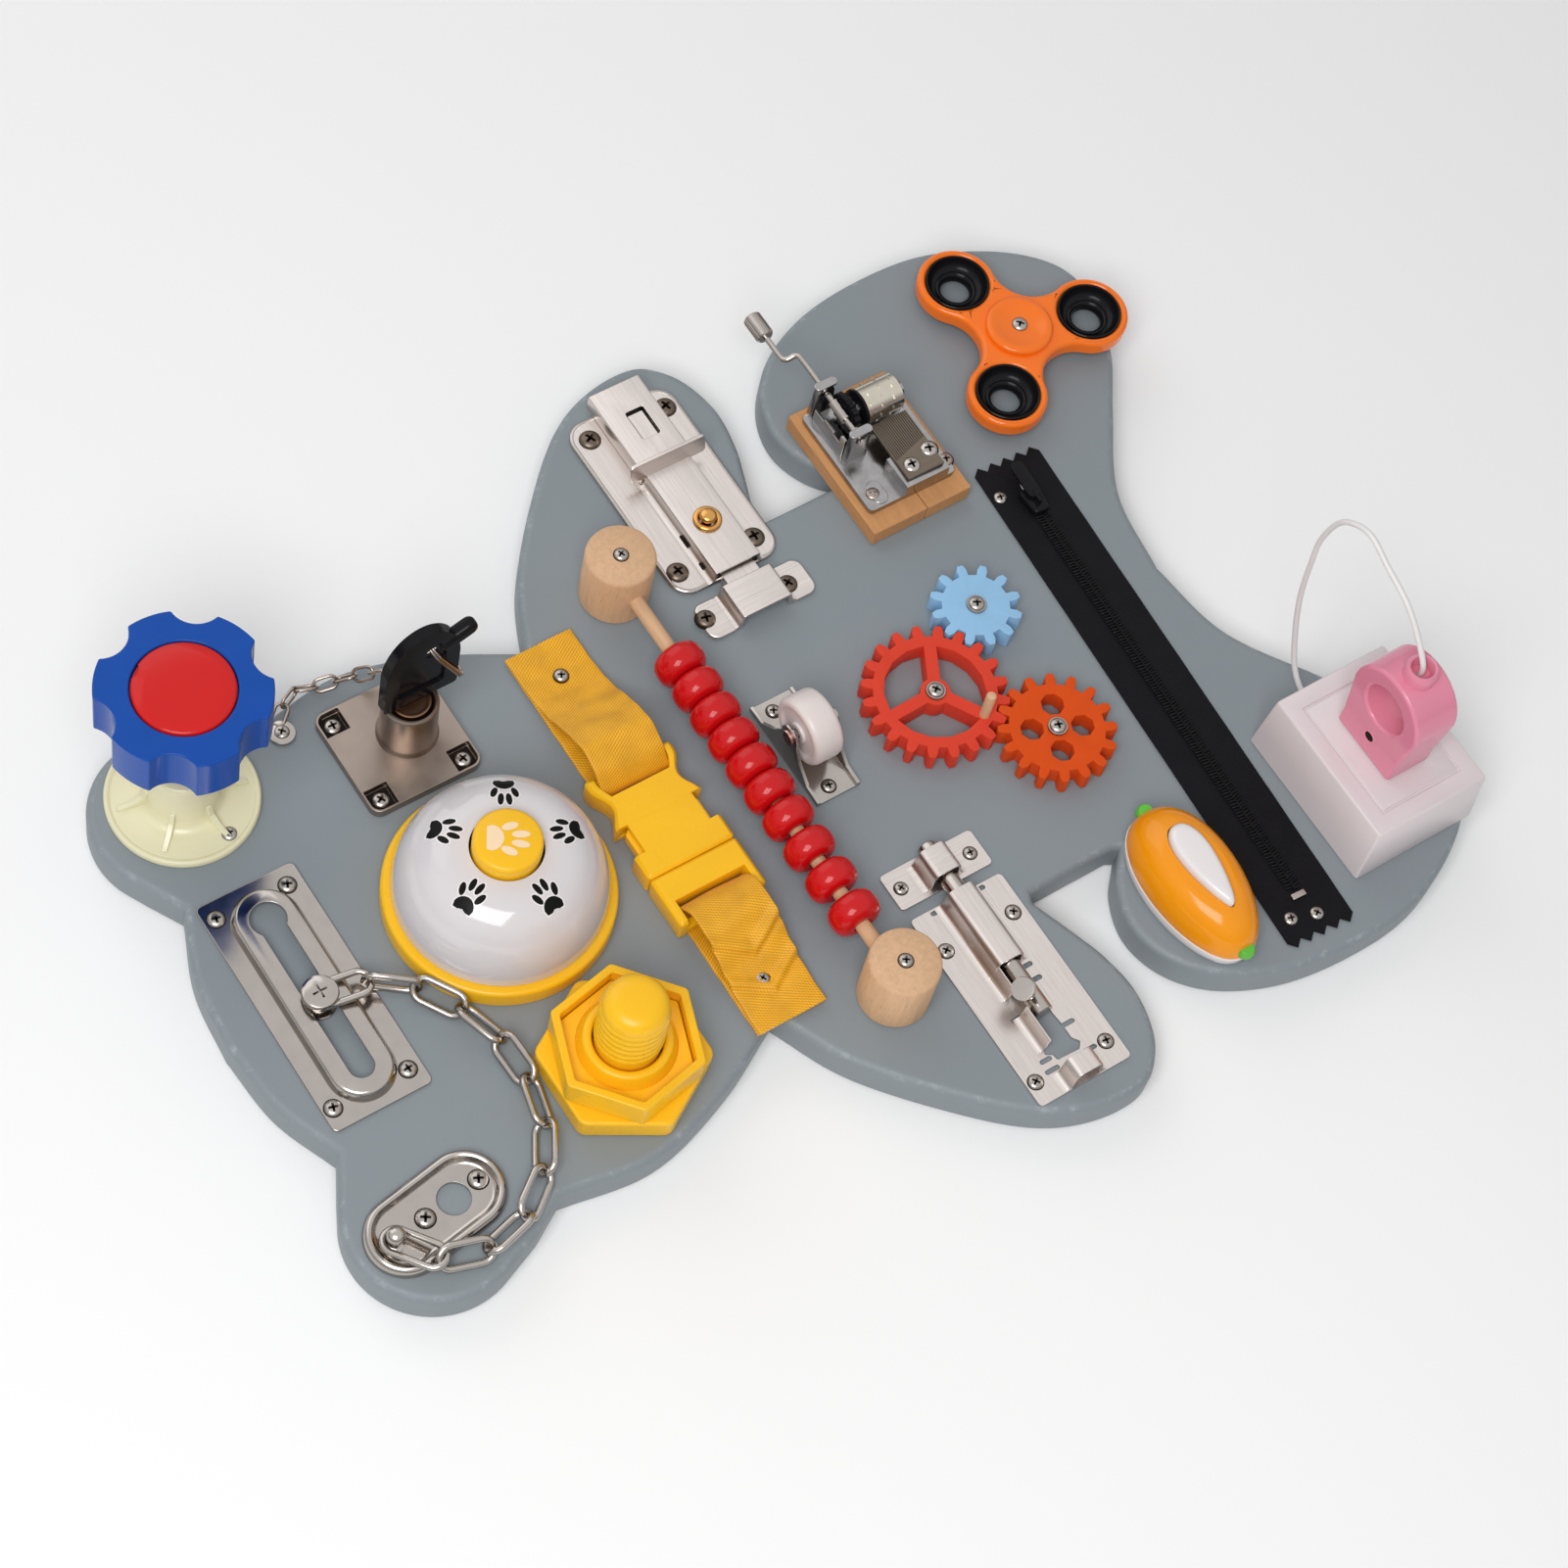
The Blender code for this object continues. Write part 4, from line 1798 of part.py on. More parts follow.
def make_switch():
    where = place(switch_share)
    steps = 22
    sections = []
    for high_share, size_share in ((0.0, 0.94), (0.37, 1.0), (0.39, 0.985), (0.65, 0.91),
                                   (0.86, 0.75), (1.0, 0.50)):
        high = gap + (switch_high - gap) * high_share
        sections.append(at_height(egg(switch_long * size_share, switch_half_wide * size_share,
                                      switch_narrow_share, steps), high))
    body = loft(sections)
    button_outline = egg(switch_button_long, switch_button_wide / 2, switch_narrow_share * 0.6, 16)
    well = prism(egg(switch_button_long + 2 * running, switch_button_wide / 2 + running,
                     switch_narrow_share * 0.6, 16), switch_high - switch_well_deep, switch_high + overrun)
    add_piece("switch_body", cut(body, [well]), YELLOW, where)

    low = switch_high - switch_well_deep + switch_travel + running
    top = switch_high + switch_button_out
    button = loft([at_height(button_outline, low), at_height(button_outline, switch_high),
                   at_height(inset(button_outline, switch_button_out * 0.4),
                             switch_high + switch_button_out * 0.7),
                   at_height(inset(button_outline, switch_button_out), top)])
    add_piece("switch_button", button, WHITE, where)


# Socket box, plug and cord

def make_socket_box():
    where = place(box_share)
    body = loft([at_height(rounded_rectangle(box_long, box_wide, box_edge, 2), gap),
                 at_height(rounded_rectangle(box_top_long, box_top_wide, box_edge, 2), box_high - box_edge),
                 at_height(inset(rounded_rectangle(box_top_long, box_top_wide, box_edge, 2),
                                 box_edge / 2), box_high)])
    long = box_top_long - 2 * box_panel_inset
    wide = box_top_wide - 2 * box_panel_inset
    groove = pierced(rectangle(long, wide), [rectangle(long - 2 * box_groove, wide - 2 * box_groove)],
                     box_high - box_groove_deep, box_high + overrun)
    cutters = [groove]
    for side in (-1.0, 1.0):
        half = pin_wide / 2 + running
        at = side * pin_spread / 2
        cutters.append(box((at - half, -pin_thick / 2 - running, box_high - pin_long - 2 * running),
                           (at + half, pin_thick / 2 + running, box_high + overrun)))
    add_piece("socket_box", cut(body, cutters), WHITE, where)

    add_piece("plug", plug_solid(), PINK, where + Vector((0.0, 0.0, box_high + gap)))


def plug_solid():
    """A pull-ring plug: flat foot with two blades, a flared ring, an eye and a cord mouth on top."""
    foot = [Vector((-plug_long / 2, 0.0)), Vector((plug_long / 2, 0.0)),
            Vector((plug_long / 2, plug_shoulder * 0.6)),
            Vector((plug_ring_r, plug_ring_high)), Vector((-plug_ring_r, plug_ring_high)),
            Vector((-plug_long / 2, plug_shoulder * 0.6))]
    half = plug_thick / 2
    lower = prism(foot, -half, half)
    ring = prism(circle(plug_ring_r, 20, (0.0, plug_ring_high)), -half, half, plug_flare / 2, plug_flare / 2)
    body = combine(lower, ring)
    hole = turned([(0.0, -half - overrun), (plug_hole_r + plug_flare + overrun, -half - overrun),
                   (plug_hole_r, -half * 0.4),
                   (plug_hole_r, half * 0.4), (plug_hole_r + plug_flare + overrun, half + overrun),
                   (0.0, half + overrun)], 14)
    moved(hole, (0.0, plug_ring_high, 0.0))
    eye = cylinder(plug_eye_r, -half - overrun, half + overrun, 10, (0.0, plug_eye_high))
    body = cut(body, [hole, eye])
    moved(body, turn=turned_by(90.0, "X"))
    crown = plug_ring_high + plug_ring_r
    mouth = turned([(0.0, crown - plug_mouth_deep), (plug_mouth_r, crown - plug_mouth_deep),
                    (plug_mouth_r, crown + plug_mouth_high * 0.6),
                    (plug_mouth_r - plug_flare / 4, crown + plug_mouth_high),
                    (0.0, crown + plug_mouth_high)], 12)
    bore = cylinder(plug_mouth_bore_r, crown - plug_mouth_deep / 3, crown + plug_mouth_high + overrun, 10)
    parts = combine(body, mouth)
    parts = cut(parts, [bore])
    for side in (-1.0, 1.0):
        at = side * pin_spread / 2
        blade = box((at - pin_wide / 2, -pin_thick / 2, gap - pin_long),
                    (at + pin_wide / 2, pin_thick / 2, sink))
        parts = combine(parts, blade)
    return parts


def make_cord():
    """The plug's thin cord: out of its mouth, over in an arch and down to the side of the box."""
    where = place(box_share)
    mouth = box_high + gap + plug_ring_high + plug_ring_r - plug_mouth_deep / 3 + gap
    side = box_long / 2 - (box_long - box_top_long) / 8
    route = [(0.0, 0.0, mouth), (0.0, 0.0, mouth + 0.0055), (0.0060, 0.0, mouth + 0.0135),
             (0.0155, 0.0, mouth + 0.0215), (0.0290, 0.0, mouth + 0.0265), (0.0400, 0.0, mouth + 0.0300),
             (0.0500, 0.0, mouth + 0.0230), (0.0550, 0.0, mouth + 0.0060), (0.0545, 0.0, mouth - 0.0090),
             (0.0525, 0.0, mouth - 0.0270), (0.0480, 0.0, mouth - 0.0440), (0.0410, 0.0, 0.0090),
             (side + 0.0050, 0.0, 0.0042), (side + 2 * gap, 0.0, 0.0040)]
    points = smooth_curve([Vector(point) for point in route], count=cord_points)
    curve = bpy.data.curves.new("plug_cord", "CURVE")
    curve.dimensions = "3D"
    curve.bevel_depth = cord_r
    curve.bevel_resolution = 2
    curve.use_fill_caps = True
    curve.render_resolution_u = 0
    spline = curve.splines.new("POLY")
    spline.points.add(len(points) - 1)
    for slot, point in zip(spline.points, points):
        slot.co = (*(where + point), 1.0)
    curve.materials.append(WHITE)
    cord = bpy.data.objects.new("plug_cord", curve)
    bpy.context.scene.collection.objects.link(cord)


def clear_scene():
    for item in list(bpy.data.objects):
        bpy.data.objects.remove(item)


def main():
    clear_scene()
    make_board()
    make_tap()
    make_lock()
    make_key_chain()
    make_track()
    make_chain_anchor()
    make_door_chain()
    make_bell()
    make_toy_bolt()
    make_strap()
    make_beads()
    make_caster()
    make_latch()
    make_barrel_bolt()
    make_gears()
    make_music_box()
    make_spinner()
    make_zip()
    make_switch()
    make_socket_box()
    make_cord()


main()
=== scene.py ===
import math

import bmesh
import bpy
from bpy.props import FloatProperty, FloatVectorProperty, PointerProperty
from bpy.types import Operator, Panel, PropertyGroup
from mathutils import Matrix, Vector


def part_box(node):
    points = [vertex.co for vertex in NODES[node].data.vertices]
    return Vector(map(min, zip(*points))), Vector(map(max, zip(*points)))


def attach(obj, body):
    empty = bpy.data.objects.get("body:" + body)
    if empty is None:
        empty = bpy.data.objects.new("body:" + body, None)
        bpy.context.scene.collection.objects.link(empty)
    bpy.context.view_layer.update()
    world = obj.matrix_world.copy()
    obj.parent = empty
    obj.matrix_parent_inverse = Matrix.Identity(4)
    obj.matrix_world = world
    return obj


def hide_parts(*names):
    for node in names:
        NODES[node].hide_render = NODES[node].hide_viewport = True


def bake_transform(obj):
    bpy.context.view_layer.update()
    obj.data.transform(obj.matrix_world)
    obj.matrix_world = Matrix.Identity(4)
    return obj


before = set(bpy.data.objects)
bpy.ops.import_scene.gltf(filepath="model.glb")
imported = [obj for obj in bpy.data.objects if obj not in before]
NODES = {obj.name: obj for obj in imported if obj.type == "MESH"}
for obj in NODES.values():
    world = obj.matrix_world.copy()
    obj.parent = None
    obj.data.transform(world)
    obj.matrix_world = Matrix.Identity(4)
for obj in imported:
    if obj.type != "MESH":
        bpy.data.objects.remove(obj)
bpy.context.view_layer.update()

bl_info = {"name": "Busy board", "version": (1, 0, 0), "blender": (4, 5, 0),
           "location": "3D View > Sidebar > Busy board",
           "description": "Dresses the packed busy board with its finishes, screws, cloth and chains",
           "category": "Object"}

# Lengths inside the piece functions are in millimetres, and become metres through MM.
MM = 0.001
BOARD_TOP = 0.015
# The materials by their short names, once they are mixed.
FINISH = {}
# Rims are rounded from the first angle between faces, and shaded sharp from the second where they aren't.
BEVEL_FROM = math.radians(32.0)
SHARP_FROM = math.radians(38.0)


def linear(code):
    """An sRGB hex colour as linear red, green, blue and alpha."""
    channels = [int(code[at:at + 2], 16) / 255 for at in (0, 2, 4)]
    return (*(c / 12.92 if c <= 0.04045 else ((c + 0.055) / 1.055) ** 2.4 for c in channels), 1.0)


def colour_property(name, description, code):
    return FloatVectorProperty(name=name, description=description, subtype="COLOR", size=4,
                               min=0.0, max=1.0, default=linear(code))


def length_property(name, description, millimetres):
    return FloatProperty(name=name, description=description, default=millimetres * MM, min=0.0,
                         unit="LENGTH", precision=5)


class BoardColours(PropertyGroup):
    """Colours of the paint, plastics, metals and cloth"""
    board: colour_property("Board", "Satin paint on the board", "868E93")
    cream: colour_property("Cream", "Polypropylene of the tap's flange", "EAE4C0")
    blue: colour_property("Blue", "ABS of the tap's wheel", "0C4CA8")
    red: colour_property("Red", "ABS of the tap's cap", "D31A18")
    yellow: colour_property("Yellow", "Plastic of the bell, bolt and buckle", "FDC21A")
    amber: colour_property("Amber", "ABS of the cord switch", "F89A06")
    white: colour_property("White", "ABS of the bell's dome, the switch and the socket", "ECE7E6")
    pink: colour_property("Pink", "ABS of the plug", "E58CA4")
    orange: colour_property("Orange", "ABS of the spinner", "FF7A18")
    coral: colour_property("Coral", "Paint of the large gear", "E1452F")
    tangerine: colour_property("Tangerine", "Paint of the middle gear", "DE5012")
    sky: colour_property("Sky", "Paint of the small gear", "94C2E6")
    bead: colour_property("Bead", "Gloss enamel of the beads", "D21015")
    webbing: colour_property("Webbing", "Polyester webbing", "F6AF1C")
    black: colour_property("Black", "Black plastic and tape", "161518")
    nickel: colour_property("Nickel", "Bright nickel plate", "B7B0AA")
    steel: colour_property("Steel", "Satin stainless steel", "E0D7D2")
    beech: colour_property("Beech", "Bare beech wood", "DDB38C")
    bamboo: colour_property("Bamboo", "Oiled bamboo of the music box's base", "CE9560")


class ScrewSizes(PropertyGroup):
    """Sizes of the cross-head screws"""
    head_r: length_property("Head radius", "Radius of a screw's head", 2.9)
    head_high: length_property("Head height", "Height of a screw's head", 1.3)
    arm: length_property("Recess arm", "Reach of the cross recess from its centre", 1.75)
    arm_wide: length_property("Recess width", "Width of an arm of the cross recess", 0.85)


class ClothSizes(PropertyGroup):
    """Sizes of the webbing and the zip's tape"""
    rib: length_property("Rib spacing", "Distance between the ribs of the webbing", 0.9)
    webbing_thick: length_property("Webbing thickness", "Thickness of the webbing", 1.0)
    tooth: length_property("Coil pitch", "Distance between the turns of the zip's coil", 1.15)


class ChainSizes(PropertyGroup):
    """Sizes of the two chains"""
    wire: length_property("Door chain wire", "Thickness of the door chain's wire", 2.35)
    wide: length_property("Door chain width", "Width of a link of the door chain", 10.4)
    key_wire: length_property("Key chain wire", "Thickness of the key chain's wire", 1.15)
    key_wide: length_property("Key chain width", "Width of a link of the key chain", 5.5)


class StageSettings(PropertyGroup):
    """The camera, the lights and the floor"""
    lens: FloatProperty(name="Lens", description="Focal length that frames the board", default=88.67,
                        min=10.0, unit="CAMERA")
    roll: FloatProperty(name="Roll", description="Lean of the camera about its view",
                        default=math.radians(16.86), subtype="ANGLE")
    key_power: FloatProperty(name="Key light", description="Power of the large soft light", default=17.0,
                             min=0.0, unit="POWER")
    fill_power: FloatProperty(name="Fill light", description="Power of the light from the far side",
                              default=5.0, min=0.0, unit="POWER")
    ambient: FloatProperty(name="Ambient", description="Strength of the world's light", default=0.38,
                           min=0.0)
    horizon: FloatProperty(name="Horizon",
                           description="Strength of the world low down, as metal and gloss show it",
                           default=0.30, min=0.0, max=1.0)
    floor_wide: FloatProperty(name="Floor width", description="Side of the square floor", default=6.0,
                              min=1.0, unit="LENGTH")


# Node and material helpers

def node(tree, kind, settings=None, inputs=None, links=None):
    """Adds a node with its settings, its input values and its links."""
    made = tree.nodes.new(kind)
    for key, value in (settings or {}).items():
        setattr(made, key, value)
    for key, value in (inputs or {}).items():
        made.inputs[key].default_value = value
    for key, (source, output) in (links or {}).items():
        tree.links.new(source.outputs[output], made.inputs[key])
    return made


def finish(name, sockets, space="Object"):
    """A material with plain values on its shader's own sockets, its node tree and its coordinates."""
    material = bpy.data.materials.new(name)
    material.use_nodes = True
    tree = material.node_tree
    for key, value in sockets.items():
        tree.nodes["Principled BSDF"].inputs[key].default_value = value
    return material, tree, (node(tree, "ShaderNodeTexCoord"), space)


def joined(material, colour, rough, height, strength, deep):
    """The material with a colour, a roughness and a bump of a depth in millimetres on its shader."""
    tree = material.node_tree
    bump = node(tree, "ShaderNodeBump", inputs={"Strength": strength, "Distance": deep * MM},
                links={"Height": height})
    for key, link in (("Base Color", colour), ("Roughness", rough), ("Normal", (bump, 0))):
        if link:
            tree.links.new(link[0].outputs[link[1]], tree.nodes["Principled BSDF"].inputs[key])
    return material


def noise(tree, where, size, detail, roughness=0.5, distortion=0.0):
    """Noise whose pattern repeats about every so many millimetres."""
    return node(tree, "ShaderNodeTexNoise",
                inputs={"Scale": 1.0 / (size * MM), "Detail": detail, "Roughness": roughness,
                        "Distortion": distortion}, links={"Vector": where}), "Fac"


def stretched(tree, where, scale, rotation=(0.0, 0.0, 0.0)):
    """Coordinates turned and scaled, so that a pattern runs along one direction."""
    return node(tree, "ShaderNodeMapping", inputs={"Rotation": rotation, "Scale": scale},
                links={"Vector": where}), 0


def spread(tree, source, low, high, start=0.0, end=1.0):
    """A source's values from start to end, spread between low and high."""
    return node(tree, "ShaderNodeMapRange", inputs={1: start, 2: end, 3: low, 4: high},
                links={0: source}), 0


def product(tree, first, second):
    return node(tree, "ShaderNodeMath", {"operation": "MULTIPLY"}, links={0: first, 1: second}), 0


def tinted(tree, share, low, high):
    """A colour between a low one and a high one, by a share."""
    return node(tree, "ShaderNodeMix", {"data_type": "RGBA"}, {6: low, 7: high}, {0: share}), 2


def covered(tree, share, under, colour):
    """A plain colour over what lies under it, by a share."""
    return node(tree, "ShaderNodeMix", {"data_type": "RGBA"}, {7: colour}, {0: share, 6: under}), 2


def shade(colour, factor):
    """A colour made darker or lighter, kept within range."""
    return (*(min(1.0, channel * factor) for channel in colour[:3]), 1.0)


def moulded_plastic(name, colour, roughness, deep=0.9, grain=0.35, dent=0.01, coat=0.0, glow=0.0,
                    shine=0.5):
    """Injection-moulded plastic: even colour, a faint flow mottle and a fine moulded skin."""
    material, tree, place = finish(name, {
        "IOR": 1.5, "Specular IOR Level": shine, "Coat Weight": coat, "Coat Roughness": 0.08,
        "Subsurface Weight": glow, "Subsurface Radius": (0.004, 0.003, 0.002), "Subsurface Scale": 1.0})
    flow = noise(tree, place, 14.0, 3.0)
    return joined(material, tinted(tree, flow, shade(colour, deep), colour),
                  spread(tree, flow, roughness * 0.85, roughness * 1.25),
                  noise(tree, place, grain, 2.0), 0.25, dent)


def board_paint(colour):
    """Satin water-based paint rolled on MDF: orange peel, a soft mottle and pale wear on the rims."""
    material, tree, place = finish("satin_paint_on_mdf", {"IOR": 1.45})
    cloud = noise(tree, place, 60.0, 4.0, 0.6)
    paint = tinted(tree, cloud, shade(colour, 0.93), shade(colour, 1.05))
    height = node(tree, "ShaderNodeSeparateXYZ", links={0: place}), "Z"
    rim = spread(tree, height, 0.0, 1.0, BOARD_TOP - 2.2 * MM, BOARD_TOP - 0.8 * MM)
    below_face = spread(tree, height, 1.0, 0.0, BOARD_TOP - 0.15 * MM, BOARD_TOP - 0.03 * MM)
    scuffs = spread(tree, noise(tree, place, 5.0, 5.0, 0.7), 0.0, 0.55, 0.52, 0.70)
    worn = product(tree, product(tree, rim, below_face), scuffs)
    return joined(material, covered(tree, worn, paint, shade(colour, 1.7)),
                  spread(tree, cloud, 0.42, 0.60), noise(tree, place, 0.9, 3.0, 0.6), 0.5, 0.06)


def plated_metal(name, colour, roughness, smear=0.10, scratch=0.01):
    """Nickel plate or polished brass: mirror-like, with a soft haze and fine handling scratches."""
    material, tree, place = finish(name, {"Metallic": 1.0})
    haze = noise(tree, place, 6.0, 4.0)
    lines = noise(tree, stretched(tree, place, (1.0, 14.0, 3.0), (0.3, 0.2, 0.7)), 3.0, 6.0, 0.75)
    return joined(material, tinted(tree, haze, shade(colour, 0.82), colour),
                  spread(tree, haze, roughness, roughness + smear), lines, 0.3, scratch)


def brushed_steel(name, colour, stretch, roughness=0.28, line=0.6):
    """Stainless sheet: long brush lines on the rolling direction, with a satin sheen and wipe marks."""
    material, tree, place = finish(name, {"Metallic": 1.0})
    lines = noise(tree, stretched(tree, place, stretch), line, 4.0, 0.7)
    return joined(material, tinted(tree, lines, shade(colour, 0.66), shade(colour, 1.10)),
                  spread(tree, lines, roughness * 0.8, roughness * 1.35), lines, 0.4, 0.01)


def cast_zinc(name, colour, roughness=0.42):
    """Die-cast zinc: grey, a sandy skin and blotches of oil."""
    material, tree, place = finish(name, {"Metallic": 1.0})
    blot = noise(tree, place, 4.0, 5.0)
    return joined(material, tinted(tree, blot, shade(colour, 0.65), shade(colour, 1.15)),
                  spread(tree, blot, roughness * 0.7, roughness * 1.3),
                  noise(tree, place, 0.3, 2.0), 0.5, 0.03)


def bare_wood(name, colour, stretch, ring=2.2, fleck=0.5):
    """Planed beech or bamboo: straight grain on its length, short dark flecks and a dry, open surface."""
    material, tree, place = finish(name, {"IOR": 1.45})
    along = stretched(tree, place, stretch)
    grain = noise(tree, along, ring, 5.0, distortion=0.6)
    pores = noise(tree, along, fleck, 2.0)
    wood = tinted(tree, grain, shade(colour, 0.74), shade(colour, 1.12))
    flecks = spread(tree, pores, 0.0, 0.45, 0.58, 0.72)
    return joined(material, covered(tree, flecks, wood, shade(colour, 0.55)),
                  spread(tree, grain, 0.55, 0.75), pores, 0.4, 0.05)


def woven_cloth(name, colour, spacing, slant, sheen, deep=0.55, shine=0.5):
    """Woven polyester: slanting ribs crossed by picks, a soft sheen, and threads of uneven depth, their
    colour darker on the low threads as painted shade and lighter on the high ones as painted highlight.

    It reads the piece's UV map, which is in metres along and across the band."""
    material, tree, place = finish(name, {"Sheen Weight": sheen, "Sheen Roughness": 0.4, "IOR": 1.45,
                                          "Specular IOR Level": shine, "Roughness": 0.42}, "UV")
    scale = math.pi / (10.0 * spacing)
    slanted = stretched(tree, place, (1.0, 1.0, 1.0), (0.0, 0.0, slant))
    rib = node(tree, "ShaderNodeTexWave", {"bands_direction": "X"},
               {"Scale": scale, "Distortion": 0.6, "Detail": 1.0, "Detail Scale": 1.0 / MM},
               {"Vector": slanted})
    pick = node(tree, "ShaderNodeTexWave", {"bands_direction": "Y"}, {"Scale": scale, "Distortion": 0.4},
                {"Vector": place})
    weave = node(tree, "ShaderNodeMix", inputs={0: 0.35}, links={2: (rib, "Fac"), 3: (pick, "Fac")}), 0
    depth = product(tree, weave, noise(tree, place, 9.0, 3.0))
    # Painted shade and highlight: the colour follows the weave's height, darker low down and lighter high
    # up, varied by a noise.
    weave_shading = tinted(tree, spread(tree, depth, 0.0, 1.0, 0.05, 0.5), shade(colour, deep),
                     shade(colour, 1.15))
    return joined(material, weave_shading, None, weave, 0.7, 0.15)


def mix_finishes(colours, cloth):
    """Every finish of the board, named for what the real one is."""
    plastic, plated = moulded_plastic, plated_metal
    FINISH.update({
        "board": board_paint(colours.board),
        "cream": plastic("milky_polypropylene", colours.cream, 0.22, 0.94, glow=0.15),
        "blue": plastic("gloss_blue_abs", colours.blue, 0.20, 0.86, grain=7.0, dent=0.3, shine=0.2),
        "red": plastic("gloss_red_abs", colours.red, 0.12, 0.9, grain=9.0, dent=0.2, shine=0.25),
        "yellow": plastic("satin_yellow_plastic", colours.yellow, 0.26, 0.95, glow=0.08, shine=0.35),
        "amber": plastic("gloss_amber_abs", colours.amber, 0.14, 0.95, shine=0.35),
        "white": plastic("gloss_white_abs", colours.white, 0.16, 0.97, coat=0.5),
        "socket": plastic("satin_white_abs", linear("E0D6D8"), 0.34, 0.97, grain=0.5, dent=0.02),
        "pink": plastic("gloss_pink_abs", colours.pink, 0.12, 0.95, shine=0.4),
        "orange": plastic("gloss_orange_abs", colours.orange, 0.14, 0.95, shine=0.35),
        "coral": plastic("coral_paint_on_plywood", colours.coral, 0.5, 0.9, grain=0.7, dent=0.04,
                         shine=0.2),
        "tangerine": plastic("tangerine_paint_on_plywood", colours.tangerine, 0.5, 0.9, grain=0.7,
                             dent=0.04, shine=0.2),
        "sky": plastic("sky_paint_on_plywood", colours.sky, 0.52, 0.95, grain=0.7, dent=0.04),
        "bead": plastic("gloss_red_enamel", colours.bead, 0.12, 0.85, grain=1.6, dent=0.03, shine=0.3),
        "black": plastic("black_plastic", colours.black, 0.16, 0.8, shine=0.12),
        "nylon": plastic("white_nylon", linear("E3D9D6"), 0.30, 0.97, glow=0.3),
        "green": plastic("green_cord_grip", linear("5FBE38"), 0.30, 0.9),
        "dome": plastic("gloss_dome_abs", linear("DAD5D7"), 0.10, 0.97, coat=0.3, shine=0.4),
        "ink": plastic("black_print", linear("0E0C0C"), 0.30, 0.8, shine=0.1),
        "cream_print": plastic("pale_print", linear("FBDDB4"), 0.35, 0.97),
        "cord": plastic("white_pvc", linear("E9E6E5"), 0.42, 0.97),
        "nickel": plated("bright_nickel", colours.nickel, 0.12),
        "satin_nickel": plated("satin_nickel", linear("A3958B"), 0.26, 0.14),
        "warm_nickel": plated("worn_nickel_wire", linear("A89A90"), 0.12, 0.14),
        "zinc": plated("zinc_plated_screw", linear("ABA59F"), 0.20, 0.15, 0.02),
        "dark_screw": plated("bronzed_screw", linear("6E6258"), 0.30, 0.15, 0.02),
        "brass": plated("polished_brass", linear("D8A25C"), 0.16, 0.12),
        "bronze": plated("worn_bronze", linear("8A6A55"), 0.28, 0.15),
        "copper": plated("coppered_rivet", linear("B04A3C"), 0.25, 0.15),
        "steel": brushed_steel("brushed_stainless", colours.steel, (0.03, 1.0, 1.0)),
        "steel_across": brushed_steel("brushed_stainless_across", colours.steel, (1.0, 0.03, 1.0)),
        "comb": brushed_steel("spring_steel", linear("7A6E62"), (1.0, 0.04, 1.0), 0.34),
        "zinc_cast": cast_zinc("die_cast_zinc", linear("A8A6A6"), 0.20),
        "drum": plated("drum_nickel", linear("CFC8BA"), 0.10, 0.15),
        "beech": bare_wood("beech_end_up", colours.beech, (1.0, 1.0, 0.10)),
        "beech_rod": bare_wood("beech_rod", colours.beech, (0.06, 1.0, 1.0), 1.2),
        "bamboo": bare_wood("oiled_bamboo", colours.bamboo, (0.10, 1.0, 1.0), 1.6),
        "webbing": woven_cloth("polyester_webbing", colours.webbing, cloth.rib, math.radians(32.0),
                               0.12, 0.66),
        "tape": woven_cloth("zip_tape", colours.black, cloth.rib * 0.8, 0.0, 0.0, 0.6, 0.1),
        # Painted shade: a near-black finish laid where recesses, slits, gaps and holes fall into shade.
        "soot": plastic("shaded_recess", linear("211B18"), 0.7, 0.7, shine=0.1),
        "coil": plastic("black_nylon_coil", linear("151417"), 0.26, 0.8, shine=0.16)})


# Mesh helpers

def spun(profile, steps=96, ring=False):
    """A body of revolution about Z from points (radius, height) in millimetres."""
    bm = bmesh.new()
    verts = [bm.verts.new((radius * MM, 0.0, high * MM)) for radius, high in profile]
    edges = [bm.edges.new(pair) for pair in zip(verts, verts[1:])]
    if ring:
        edges.append(bm.edges.new((verts[-1], verts[0])))
    bmesh.ops.spin(bm, geom=verts + edges, cent=(0.0, 0.0, 0.0), axis=(0.0, 0.0, 1.0),
                   angle=2.0 * math.pi, steps=steps, use_merge=True)
    bmesh.ops.remove_doubles(bm, verts=bm.verts[:], dist=0.0005 * MM)
    bmesh.ops.dissolve_degenerate(bm, edges=bm.edges[:], dist=0.0001 * MM)
    return bm


def cylinder(radius, low, high, steps=48):
    return spun([(0.0, low), (radius, low), (radius, high), (0.0, high)], steps)


def even_ended(lower):
    """A profile that is the same upside down, from its lower half."""
    return [*lower, *[(radius, -high) for radius, high in reversed(lower)]]


def mm(x, y, z=0.0):
    """A point from its millimetres, in metres."""
    return Vector((x, y, z)) * MM


def polar(radius, degrees):
    """A flat point from its distance and its direction."""
    return radius * math.cos(math.radians(degrees)), radius * math.sin(math.radians(degrees))


def hexagon(radius, turn=0.0):
    return [polar(radius, 60 * number + turn) for number in range(6)]


def mirrored(half):
    """A run of points and the same run mirrored, on the far side and backwards."""
    return [*half, *[(-across, high) for across, high in reversed(half)]]


def round_over(corners, radius, steps=6):
    """A closed run of corners (x, y), which go round anticlockwise, with each one rounded."""
    result = []
    for number, corner in enumerate(corners):
        corner = Vector(corner)
        before = (Vector(corners[number - 1]) - corner).normalized()
        after = (Vector(corners[(number + 1) % len(corners)]) - corner).normalized()
        half = before.angle(after) / 2
        centre = corner + (before + after).normalized() * (radius / math.sin(half))
        start = corner + before * (radius / math.tan(half)) - centre
        sweep = math.pi - 2 * half
        if before.cross(after) > 0:
            sweep = -sweep
        result += [centre + Matrix.Rotation(sweep * step / steps, 2) @ start for step in range(steps + 1)]
    return result


